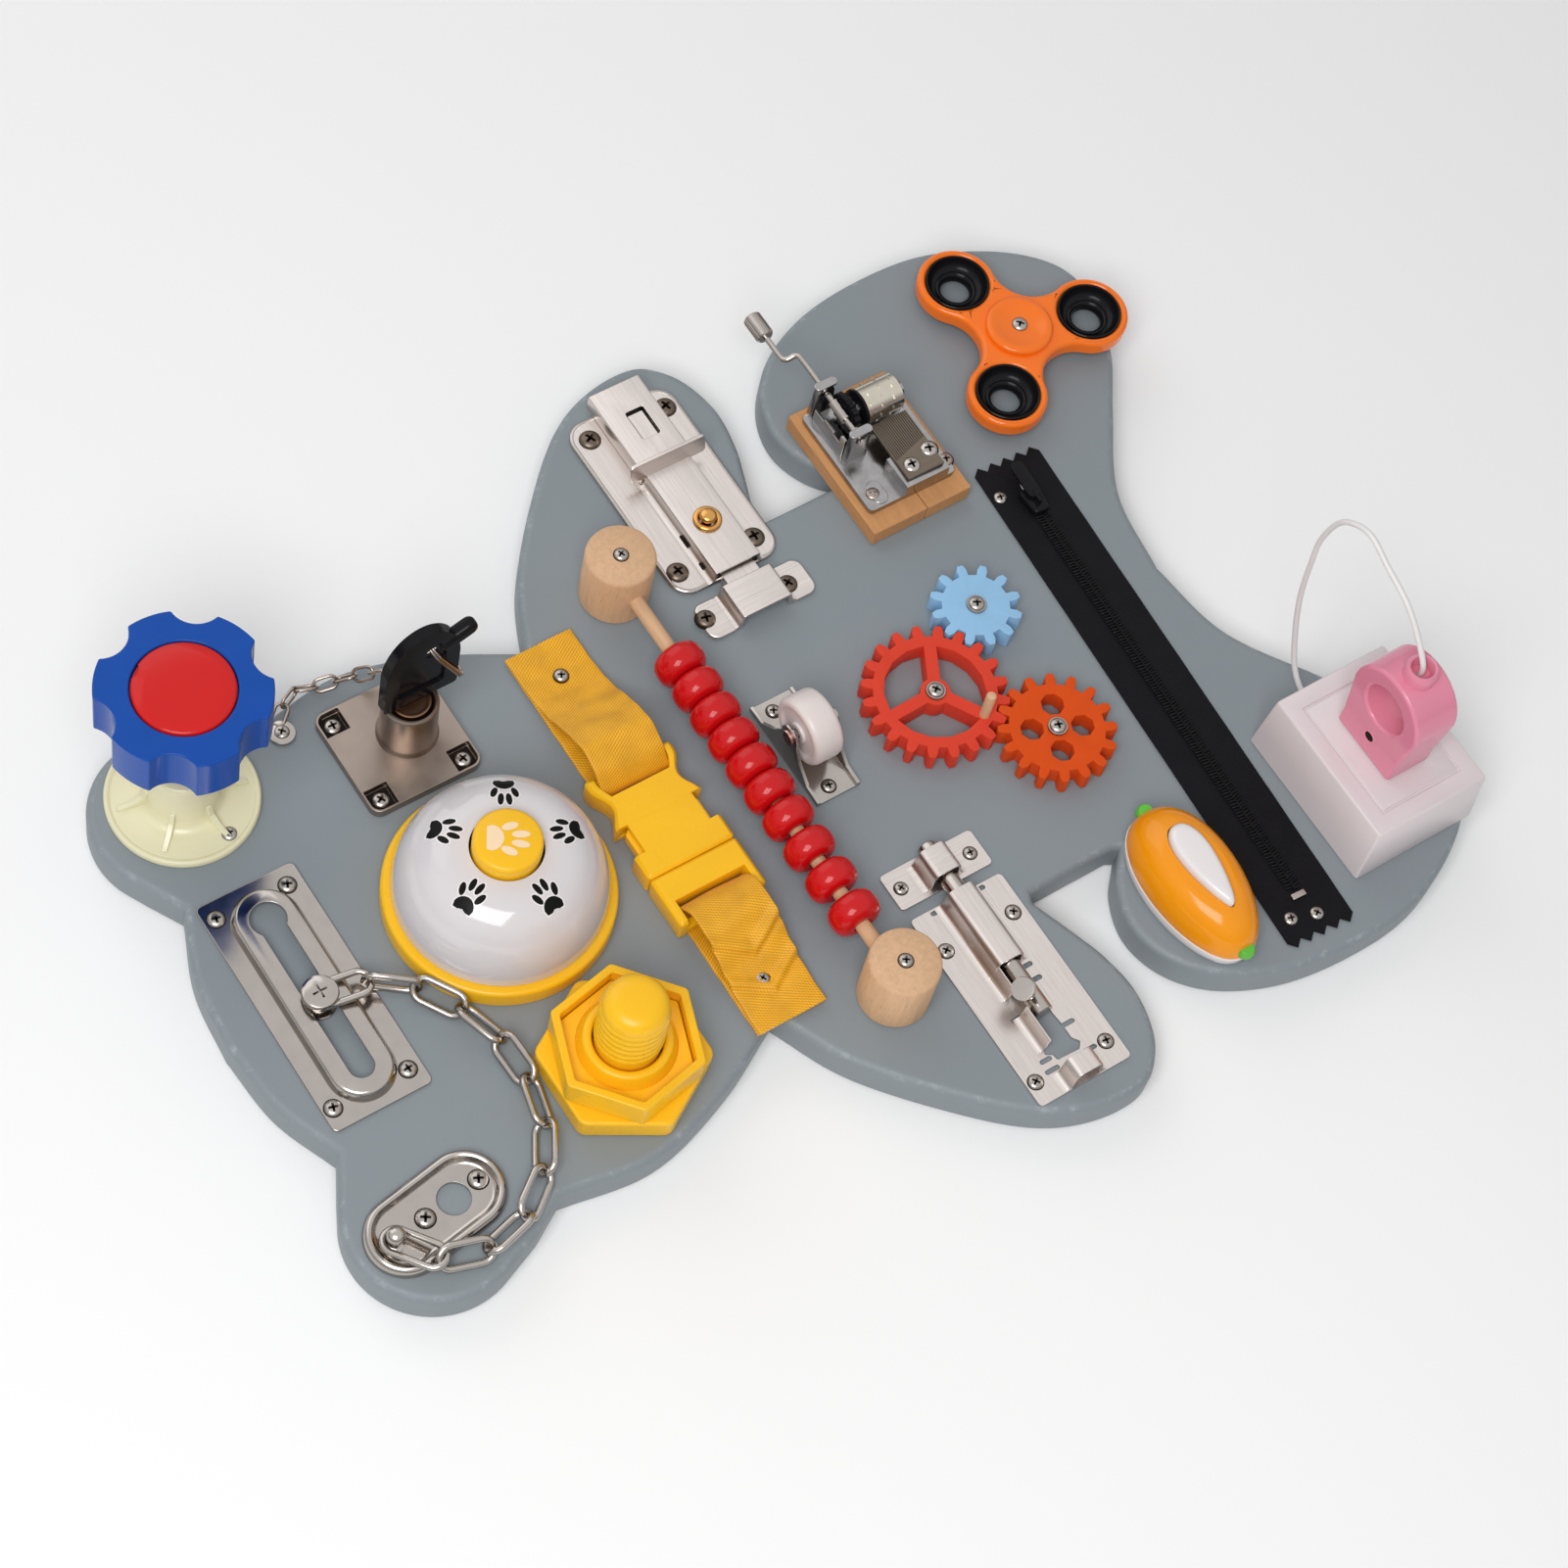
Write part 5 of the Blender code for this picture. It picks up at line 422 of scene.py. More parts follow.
def arc(centre, radius, start, end, steps):
    """Points on an arc, its angles in degrees."""
    turns = [math.radians(start + (end - start) * number / steps) for number in range(steps + 1)]
    return [Vector(centre) + Vector((math.cos(turn), math.sin(turn))) * radius for turn in turns]


def ring_of(radius, steps=48, centre=(0.0, 0.0)):
    return arc(centre, radius, 0.0, 360.0 * (steps - 1) / steps, steps - 1)


def stadium(long, wide, steps=16, centre=(0.0, 0.0)):
    """A slot's outline on X with round ends."""
    x, y = centre
    straight = (long - wide) / 2
    return (arc((x + straight, y), wide / 2, -90.0, 90.0, steps)
            + arc((x - straight, y), wide / 2, 90.0, 270.0, steps))


def rectangle(long, wide, centre=(0.0, 0.0)):
    x, y = centre
    return [(x - long / 2, y - wide / 2), (x + long / 2, y - wide / 2),
            (x + long / 2, y + wide / 2), (x - long / 2, y + wide / 2)]


def slab(outline, low, high, holes=()):
    """A plate between two heights from an outline and any holes, in millimetres."""
    bm = bmesh.new()
    edges = []
    for loop in [outline, *holes]:
        verts = [bm.verts.new((point[0] * MM, point[1] * MM, low * MM)) for point in loop]
        edges += [bm.edges.new((verts[number - 1], verts[number])) for number in range(len(verts))]
    if holes:
        bmesh.ops.triangle_fill(bm, edges=edges, use_beauty=True, use_dissolve=False)
    else:
        bmesh.ops.contextual_create(bm, geom=edges)
    raised = bmesh.ops.extrude_face_region(bm, geom=bm.faces[:])
    bmesh.ops.translate(bm, vec=(0.0, 0.0, (high - low) * MM),
                        verts=[item for item in raised["geom"] if isinstance(item, bmesh.types.BMVert)])
    return bm


def lofted(sections, closed=False):
    """A skin over sections of equally many points, in metres, with its ends filled or joined."""
    bm = bmesh.new()
    loops = []
    for section in sections:
        verts = [bm.verts.new(point) for point in section]
        loops.append([bm.edges.new((verts[number - 1], verts[number])) for number in range(len(verts))])
    pairs = list(zip(loops, loops[1:])) + ([(loops[-1], loops[0])] if closed else [])
    for low, high in pairs:
        bmesh.ops.bridge_loops(bm, edges=low + high)
    if not closed:
        bmesh.ops.contextual_create(bm, geom=loops[0])
        bmesh.ops.contextual_create(bm, geom=loops[-1])
    return bm


def stacked(outline, levels):
    """A skin over outlines at several heights: the outline is a function of each level's first value."""
    return lofted([[mm(point[0], point[1], high) for point in outline(value)] for value, high in levels])


def pipe(routes, radius, closed=False, sides=2):
    """Round wire along each route of points, in metres."""
    curve = bpy.data.curves.new("wire", "CURVE")
    curve.dimensions = "3D"
    curve.bevel_depth = radius
    curve.bevel_resolution = sides
    curve.use_fill_caps = not closed
    for route in routes:
        spline = curve.splines.new("POLY")
        spline.points.add(len(route) - 1)
        spline.use_cyclic_u = closed
        for slot, point in zip(spline.points, route):
            slot.co = (*point, 1.0)
    holder = bpy.data.objects.new("wire", curve)
    bpy.context.scene.collection.objects.link(holder)
    bpy.context.view_layer.update()
    mesh = bpy.data.meshes.new_from_object(holder)
    bm = bmesh.new()
    bm.from_mesh(mesh)
    bmesh.ops.remove_doubles(bm, verts=bm.verts[:], dist=0.001 * MM)
    bpy.data.objects.remove(holder)
    bpy.data.curves.remove(curve)
    bpy.data.meshes.remove(mesh)
    return bm


def placed(bm, where=(0.0, 0.0, 0.0), turn=None):
    """The shape turned about its origin and then moved."""
    matrix = Matrix.Translation(Vector(where))
    if turn is not None:
        matrix = matrix @ turn
    bmesh.ops.transform(bm, matrix=matrix, verts=bm.verts[:])
    return bm


def turned(degrees, axis="Z"):
    return Matrix.Rotation(math.radians(degrees), 4, axis)


def gathered(shapes):
    """Several shapes in one mesh."""
    whole = shapes[0]
    for shape in shapes[1:]:
        mesh = bpy.data.meshes.new("part")
        shape.to_mesh(mesh)
        shape.free()
        whole.from_mesh(mesh)
        bpy.data.meshes.remove(mesh)
    return whole


def cut_away(bm, cutter):
    """The shape less the cutter."""
    holders = []
    for shape in (bm, cutter):
        bmesh.ops.recalc_face_normals(shape, faces=shape.faces[:])
        mesh = bpy.data.meshes.new("shape")
        shape.to_mesh(mesh)
        shape.free()
        holder = bpy.data.objects.new("shape", mesh)
        bpy.context.scene.collection.objects.link(holder)
        holders.append(holder)
    step = holders[0].modifiers.new("cut", "BOOLEAN")
    step.operation = "DIFFERENCE"
    step.solver = "EXACT"
    step.object = holders[1]
    graph = bpy.context.evaluated_depsgraph_get()
    mesh = bpy.data.meshes.new_from_object(holders[0].evaluated_get(graph))
    result = bmesh.new()
    result.from_mesh(mesh)
    for holder in holders:
        used = holder.data
        bpy.data.objects.remove(holder)
        bpy.data.meshes.remove(used)
    bpy.data.meshes.remove(mesh)
    return result


def piece(name, bm, finish_name, body="base", at=None, turn=None, cad=None, edge=0.0,
          segments=2, ride=True):
    """A finished piece of the board: faces out, smooth, its rims rounded, on the body it moves with.

    It is turned and put at its place, and stands for the CAD solid where one is named."""
    if at is not None:
        placed(bm, at, turn)
    bmesh.ops.recalc_face_normals(bm, faces=bm.faces[:])
    mesh = bpy.data.meshes.new(name)
    bm.to_mesh(mesh)
    bm.free()
    mesh.materials.append(FINISH[finish_name])
    mesh.shade_smooth()
    made = bpy.data.objects.new(name, mesh)
    bpy.context.scene.collection.objects.link(made)
    if edge:
        bevel = made.modifiers.new("rounded rims", "BEVEL")
        bevel.width = edge * MM
        bevel.segments = segments
        bevel.limit_method = "ANGLE"
        bevel.angle_limit = BEVEL_FROM
        bevel.harden_normals = True
    else:
        mesh.set_sharp_from_angle(angle=SHARP_FROM)
    if cad:
        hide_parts(cad)
    if ride:
        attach(made, body)
    return made


def length_of(path):
    return sum((b - a).length for a, b in zip(path, path[1:]))


def middle(name):
    """The centre of a CAD node's box."""
    low, high = (Vector(corner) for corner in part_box(name))
    return (low + high) / 2


def on_board(x, y, high=0.0):
    """A point over the board's face, in millimetres."""
    return Vector((x * MM, y * MM, BOARD_TOP + high * MM))


def resampled(fine, count):
    """Even points along a fine run of points, its two ends among them."""
    lengths = [0.0]
    for a, b in zip(fine, fine[1:]):
        lengths.append(lengths[-1] + (b - a).length)
    result = []
    at = 0
    for number in range(count):
        goal = lengths[-1] * number / (count - 1)
        while at < len(fine) - 2 and lengths[at + 1] < goal:
            at += 1
        span = max(lengths[at + 1] - lengths[at], 1e-12)
        result.append(fine[at].lerp(fine[at + 1], (goal - lengths[at]) / span))
    return result


def smooth_curve(points, count=None):
    """Points along a smooth curve through the given ones; every one of them where no count is given."""
    points = [Vector(point) for point in points]
    ends = [2.0 * points[0] - points[1]] + points + [2.0 * points[-1] - points[-2]]
    fine = []
    for a, b, c, d in zip(ends, ends[1:], ends[2:], ends[3:]):
        t1 = max((b - a).length, 0.3 * MM) ** 0.5
        t2 = t1 + max((c - b).length, 0.3 * MM) ** 0.5
        t3 = t2 + max((d - c).length, 0.3 * MM) ** 0.5
        for part in range(12):
            t = t1 + (t2 - t1) * part / 12
            a1 = a * ((t1 - t) / t1) + b * (t / t1)
            a2 = b * ((t2 - t) / (t2 - t1)) + c * ((t - t1) / (t2 - t1))
            a3 = c * ((t3 - t) / (t3 - t2)) + d * ((t - t2) / (t3 - t2))
            b1 = a1 * ((t2 - t) / t2) + a2 * (t / t2)
            b2 = a2 * ((t3 - t) / (t3 - t1)) + a3 * ((t - t1) / (t3 - t1))
            fine.append(b1 * ((t2 - t) / (t2 - t1)) + b2 * ((t - t1) / (t2 - t1)))
    fine.append(points[-1])
    return fine if count is None else resampled(fine, count)


def link_route(long, wide, wire, start, end, roll):
    """The middle line of an oval link from one joint to the next, rolled about its length."""
    along = (end - start).normalized()
    across = along.cross(Vector((0.0, 0.0, 1.0))).normalized()
    across = Matrix.Rotation(math.radians(roll), 3, along) @ across
    centre = (start + end) / 2
    return [centre + along * point.x + across * point.y
            for point in stadium(long - wire, wide - wire, 10)]


def from_cad(name, cad, finish_name, body="base", edge=0.2, segments=2, mould=None):
    """A merged copy of a CAD solid with rounded rims, which stands for that solid."""
    bm = bmesh.new()
    bm.from_mesh(NODES[cad].data)
    bmesh.ops.remove_doubles(bm, verts=bm.verts[:], dist=0.002 * MM)
    bmesh.ops.dissolve_limit(bm, angle_limit=math.radians(0.5), verts=bm.verts[:], edges=bm.edges[:],
                             delimit={"NORMAL"})
    if mould:
        mould(bm)
    return piece(name, bm, finish_name, body, cad=cad, edge=edge, segments=segments)


# The operators, one for each fitting

class BUSYBOARD_OT_finishes(Operator):
    """Mixes every finish"""
    bl_idname = "busy_board.finishes"
    bl_label = "Finishes"

    def execute(self, context):
        mix_finishes(context.scene.busy_colours, context.scene.busy_cloth)
        return {"FINISHED"}


# The bear's right half in millimetres: crotch, leg, notch, arm and cheek up to the ear, then the head.
BEAR_RUNS = (
    ((0.0, -160.0), (31.0, -165.5), (61.0, -184.5), (81.0, -198.0), (100.0, -205.0),
     (110.0, -205.8), (121.3, -202.3), (134.0, -190.0), (147.0, -163.0), (149.6, -137.0),
     (145.6, -106.5), (135.0, -85.0), (122.1, -74.3), (107.0, -70.8), (92.5, -75.3), (82.0, -84.3)),
    ((80.8, -82.0), (80.8, -49.0)),
    ((84.0, -47.6), (101.0, -54.0), (111.0, -57.2), (126.0, -59.2), (141.0, -56.0), (149.0, -51.0),
     (154.5, -44.0), (155.5, -32.0), (152.0, -17.0), (145.4, -4.8), (131.0, 11.5), (101.0, 37.3),
     (76.0, 49.5)),
    ((89.5, 76.0), (98.4, 108.0), (94.0, 141.0)))
EAR = (79.5, 177.5)
HEAD_RUN = ((59.2, 199.5), (47.8, 193.0), (25.0, 202.0), (0.0, 204.7))


def bear_outline():
    """The board's outline, anticlockwise, its left half mirrored from the right one."""
    half = []
    for number, run in enumerate(BEAR_RUNS):
        points = [Vector(point) for point in run]
        if number == 3:
            points = [half[-1]] + points
        fine = smooth_curve(points)
        half += fine if number < 3 else fine[1:]
    half.append(Vector((101.0, 153.0)))
    half += arc(EAR, 29.0, -21.6, 115.2, 60)
    half.append(Vector(HEAD_RUN[0]))
    half += smooth_curve([Vector(point) for point in HEAD_RUN[1:]])
    whole = half + [Vector((-point.x, point.y)) for point in reversed(half[1:-1])]
    return [point for number, point in enumerate(whole) if (point - whole[number - 1]).length > 0.4]


def without_crowding(outline, reach):
    """The outline less the points that crowd one of its sharp corners."""
    corners = []
    for number, point in enumerate(outline):
        before = point - outline[number - 1]
        after = outline[(number + 1) % len(outline)] - point
        if before.angle(after) > math.radians(24.0):
            corners.append(point)
    return [point for point in outline
            if point in corners or all((point - corner).length > reach for corner in corners)]


def inset(outline, distance):
    """An outline that runs anticlockwise, moved inward by a distance."""
    result = []
    for number, point in enumerate(outline):
        first = (point - outline[number - 1]).normalized()
        second = (outline[(number + 1) % len(outline)] - point).normalized()
        a, b = Vector((-first.y, first.x)), Vector((-second.y, second.x))
        result.append(point + (a + b) * (distance / (1.0 + a.dot(b))))
    return result


class BUSYBOARD_OT_board(Operator):
    """Cuts the bear-shaped board and rounds its rims"""
    bl_idname = "busy_board.board"
    bl_label = "Board"

    def execute(self, context):
        outline = without_crowding(bear_outline(), 4.2)
        edge = 2.8
        levels = [(edge * (1.0 - math.sin(a)), edge * (1.0 - math.cos(a)))
                  for a in (math.radians(15.0 * step) for step in range(7))]
        levels += [(margin, BOARD_TOP / MM - high) for margin, high in reversed(levels)]
        bm = stacked(lambda margin: inset(outline, margin), levels)
        broad = [face for face in bm.faces if len(face.verts) == len(outline)]
        bmesh.ops.inset_individual(bm, faces=broad, thickness=0.4 * MM, use_even_offset=True)
        piece("bear_board", bm, "board", cad="board")
        return {"FINISHED"}


# The camera's and the lamps' places, and the points that they face, in metres.
EYE = Vector((-0.4209, 0.4615, 1.1223))
LOOKED_AT = Vector((-0.0077, 0.0010, 0.015))
SOFTBOX_AT = Vector((-0.55, 0.75, 1.40))
FILL_AT = Vector((1.3, 0.15, 0.95))
LIT_AT = Vector((0.0, 0.0, 0.02))


class BUSYBOARD_OT_stage(Operator):
    """Adds the floor, the world, the lights and the camera"""
    bl_idname = "busy_board.stage"
    bl_label = "Stage"

    def execute(self, context):
        stage = context.scene.busy_stage
        bm = bmesh.new()
        bmesh.ops.create_grid(bm, x_segments=1, y_segments=1, size=stage.floor_wide / 2)
        mesh = bpy.data.meshes.new("floor")
        bm.to_mesh(mesh)
        bm.free()
        floor = bpy.data.objects.new("floor", mesh)
        context.scene.collection.objects.link(floor)
        paper, tree, place = finish("pale_paper", {"Base Color": linear("FAFAFA"), "Roughness": 0.9})
        mesh.materials.append(joined(paper, None, None, noise(tree, place, 1.5, 2.0), 0.05, 0.05))

        world = bpy.data.worlds.new("studio")
        context.scene.world = world
        world.use_nodes = True
        tree = world.node_tree
        tree.nodes.clear()
        rays = node(tree, "ShaderNodeLightPath")
        shown = node(tree, "ShaderNodeMath", {"operation": "MAXIMUM"},
                     links={0: (rays, "Is Camera Ray"), 1: (rays, "Is Transmission Ray")})
        lit = spread(tree, (shown, 0), stage.ambient, 1.0)
        sky_place = (node(tree, "ShaderNodeTexCoord"), "Generated")
        height = node(tree, "ShaderNodeSeparateXYZ", links={0: sky_place})
        # Low down the studio is darker, which draws the edges of metal and gloss.
        mirror = spread(tree, (height, "Z"), stage.horizon, 1.0, 0.10, 0.62)
        strength = node(tree, "ShaderNodeMix", links={0: (rays, "Is Glossy Ray"), 2: lit, 3: mirror})
        sky = node(tree, "ShaderNodeBackground", inputs={"Color": (1.0, 1.0, 1.0, 1.0)},
                   links={"Strength": (strength, 0)})
        node(tree, "ShaderNodeOutputWorld", links={"Surface": (sky, 0)})

        for name, where, power, wide in (("softbox", SOFTBOX_AT, stage.key_power, 0.9),
                                         ("fill", FILL_AT, stage.fill_power, 1.4)):
            lamp = bpy.data.lights.new(name, "AREA")
            lamp.energy = power
            lamp.size = wide
            holder = bpy.data.objects.new(name, lamp)
            context.scene.collection.objects.link(holder)
            holder.location = where
            holder.rotation_euler = (LIT_AT - where).to_track_quat("-Z", "Y").to_euler()

        view = (EYE - LOOKED_AT).normalized()
        right = Vector((0.0, 0.0, 1.0)).cross(view).normalized()
        up = view.cross(right)
        lean, rise = math.cos(stage.roll), math.sin(stage.roll)
        right, up = right * lean + up * rise, up * lean - right * rise
        lens = bpy.data.cameras.new("camera")
        lens.lens = stage.lens
        lens.sensor_width = 36.0
        lens.clip_start = 0.05
        camera = bpy.data.objects.new("camera", lens)
        context.scene.collection.objects.link(camera)
        camera.matrix_world = Matrix.Translation(EYE) @ Matrix((right, up, view)).transposed().to_4x4()
        context.scene.camera = camera
        context.scene.view_settings.view_transform = "Standard"
        return {"FINISHED"}


class BUSYBOARD_OT_cord(Operator):
    """Adds the plug, its thin cord and the socket's box"""
    bl_idname = "busy_board.cord"
    bl_label = "Socket, plug and cord"

    def execute(self, context):
        at = on_board(-100.7, -172.3)
        # The plug stands this high over the board's face, on the socket's box.
        foot = 27.3
        plug_at = at + mm(0.0, 0.0, foot)
        from_cad("socket_shell", "socket_box", "socket", edge=0.7, segments=3)

        outline = ([Vector((-13.75, 0.0)), Vector((13.75, 0.0)), Vector((13.75, 7.5))]
                   + arc((0.0, 27.0), 16.0, 0.0, 180.0, 40) + [Vector((-13.75, 7.5))])
        grip = slab(outline, -8.95, 8.95, [ring_of(9.0, 48, (0.0, 27.0))])
        placed(grip, plug_at, turned(90.0, "X"))
        piece("plug_grip", grip, "pink", "plug", cad="plug", edge=1.3, segments=4)
        mouth = spun([(3.7, 41.6), (5.6, 41.6), (5.6, 46.2), (5.3, 47.4), (4.7, 48.0), (4.1, 47.8),
                      (3.7, 47.0)], 48, True)
        piece("plug_mouth", mouth, "pink", "plug", at=plug_at)
        eyelet = spun([(1.9, 8.7), (2.9, 8.7), (2.9, 9.0), (2.6, 9.2), (2.1, 9.15), (1.9, 8.95)],
                      32, True)
        # Painted shade: a dark disc sits inside the eyelet's hole.
        dark = cylinder(2.0, 8.8, 8.98, 24)
        for name, shape, kind in (("plug_eyelet", eyelet, "pink"), ("plug_eyelet_shade", dark, "soot")):
            faces = [placed(shape.copy(), turn=turned(side, "X")) for side in (90.0, -90.0)]
            shape.free()
            piece(name, gathered(faces), kind, "plug", at=at + mm(0.0, 0.0, foot + 9.5))
        blades = []
        for side in (-1.0, 1.0):
            blade = slab(round_over(rectangle(6.0, 15.0, (side * 7.0, -7.2)), 0.8), -0.9, 0.9)
            blades.append(placed(blade, turn=turned(90.0, "X")))
        piece("plug_blades", gathered(blades), "nickel", "plug", at=plug_at, edge=0.2)

        # The cord leaves the plug at this height, and goes back into the box's side at this distance.
        mouth_high, side = foot + 41.8, 29.9125
        route = [(0.0, mouth_high), (0.0, mouth_high + 5.5), (6.0, mouth_high + 13.5),
                 (15.5, mouth_high + 21.5), (29.0, mouth_high + 26.5), (40.0, mouth_high + 30.0),
                 (50.0, mouth_high + 23.0), (55.0, mouth_high + 6.0), (54.5, mouth_high - 9.0),
                 (52.5, mouth_high - 27.0), (48.0, mouth_high - 44.0), (41.0, 9.0), (side + 5.0, 4.2),
                 (side + 0.6, 4.0)]
        path = smooth_curve([at + mm(x, 0.0, high) for x, high in route], 120)
        cord = piece("plug_lead", pipe([path], 1.0 * MM, sides=3), "cord", cad="plug_cord", ride=False)
        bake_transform(cord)
        grommet = spun([(1.15, 0.0), (2.6, 0.0), (2.6, 0.5), (2.2, 1.0), (1.7, 1.2), (1.15, 1.2)],
                       32, True)
        placed(grommet, path[-1] - mm(0.6, 0.0), turned(90.0, "Y"))
        piece("cord_grommet", grommet, "socket")
        return {"FINISHED"}


class BUSYBOARD_OT_tap(Operator):
    """Adds the tap's flange, nut and spindle, its lobed wheel and its cap"""
    bl_idname = "busy_board.tap"
    bl_label = "Water tap"

    def execute(self, context):
        at = on_board(82.10, 174.41)
        flange = spun([(0.0, 0.3), (24.7, 0.3), (25.0, 0.6), (25.0, 2.2), (24.8, 2.7), (24.4, 3.1),
                       (23.8, 3.1), (23.3, 2.8), (23.0, 2.5), (18.4, 2.6), (17.6, 2.9), (15.4, 3.1),
                       (13.6, 3.5), (12.6, 4.4), (12.1, 5.6), (11.6, 7.0), (11.5, 23.6), (11.2, 24.6),
                       (10.6, 25.2), (9.9, 25.5), (6.0, 25.5), (0.0, 25.5)])
        ribs = []
        for number in range(6):
            rib = slab([(10.8, 2.2), (21.4, 2.2), (21.2, 3.2), (17.0, 4.6), (13.4, 7.4), (12.2, 11.0),
                        (10.8, 11.4)], -0.9, 0.9)
            placed(rib, turn=turned(60.0 * (number + 0.25)) @ turned(90.0, "X"))
            ribs.append(rib)
        piece("tap_flange", gathered([flange, *ribs]), "cream", at=at, cad="valve_flange", edge=0.25)
        nut = slab(round_over(hexagon(8.0), 0.6, 4), 25.3, 29.0)
        piece("tap_nut", nut, "nickel", at=at, edge=0.5)
        spindle = spun([(0.0, 28.0), (4.5, 28.0), (4.5, 54.6), (4.1, 55.0), (0.0, 55.0)])
        piece("tap_spindle", spindle, "zinc", at=at)

        # Six round notches are cut into the wheel's circle, 4.5 mm deep.
        wheel_r, notch_r = 27.5, 9.0
        reach = wheel_r - 4.5 + notch_r
        half_notch = math.degrees(math.acos((wheel_r ** 2 + reach ** 2 - notch_r ** 2)
                                            / (2 * wheel_r * reach)))
        swing = math.degrees(math.asin(wheel_r * math.sin(math.radians(half_notch)) / notch_r))
        outline = []
        for number in range(6):
            lobe = 60.0 * number
            outline += arc((0.0, 0.0), wheel_r, lobe - 30.0 + half_notch, lobe + 30.0 - half_notch, 14)
            outline += arc(polar(reach, lobe + 30.0), notch_r,
                           lobe + 210.0 + swing, lobe + 210.0 - swing, 12)[1:-1]
        rim = slab(outline, 53.5, 72.5, [ring_of(16.6, 72)])
        web = spun([(4.9, 45.5), (9.2, 45.5), (9.5, 45.8), (9.5, 62.5), (17.0, 62.5), (17.0, 69.2),
                    (0.0, 69.2), (0.0, 55.4), (4.9, 55.4)], 72, True)
        spokes = []
        for number in range(6):
            spoke = slab(rectangle(8.6, 1.4, (13.0, 0.0)), 55.0, 63.0)
            spokes.append(placed(spoke, turn=turned(60.0 * number)))
        piece("tap_wheel_rim", rim, "blue", "tap_wheel", at=at, turn=turned(-6.0), cad="valve_handwheel",
              edge=2.2, segments=6)
        piece("tap_wheel_web", gathered([web, *spokes]), "blue", "tap_wheel", at=at, turn=turned(-6.0),
              edge=0.3)
        cap = spun([(0.0, 69.5), (15.7, 69.5), (16.2, 69.9), (16.2, 72.1), (16.0, 72.5), (15.4, 72.9),
                    (12.0, 73.1), (6.0, 73.3), (0.0, 73.35)], 120)
        cap = cut_away(cap, spun_cutter(4.2, 70.6, 76.0, (0.0, 19.0)))
        piece("tap_cap", cap, "red", "tap_wheel", at=at, turn=turned(-50.0), cad="valve_cap")
        return {"FINISHED"}


def spun_cutter(radius, low, high, centre):
    """An upright round cutter, in millimetres."""
    return placed(cylinder(radius, low, high), mm(*centre))


STAND_ALONG_X = Matrix(((0.0, 0.0, 1.0, 0.0), (1.0, 0.0, 0.0, 0.0), (0.0, 1.0, 0.0, 0.0),
                        (0.0, 0.0, 0.0, 1.0)))


def key_bow(margin):
    """The D outline of the key's bow, across and up from the lock's axis, drawn in by a margin."""
    middle_x, corner = -2.2, 1.5
    half, arch = 13.5 - margin, 20.0 - margin
    low, high = 26.8 + margin, 66.0 - margin
    outline = (arc((middle_x - half + corner, low + corner), corner, 180.0, 270.0, 5)
               + arc((middle_x + half - corner, low + corner), corner, 270.0, 360.0, 5))
    return outline + [Vector((middle_x + half * point.x, high - arch + arch * point.y))
                      for point in arc((0.0, 0.0), 1.0, 0.0, 180.0, 40)]


# The screws of the lock from its plate's centre, and the key chain's tab.
LOCK_CORNERS = ((15.4, 15.4), (-15.4, 15.4), (-15.4, -15.4), (15.4, -15.4))
KEY_TAB = (87.4, 135.1)


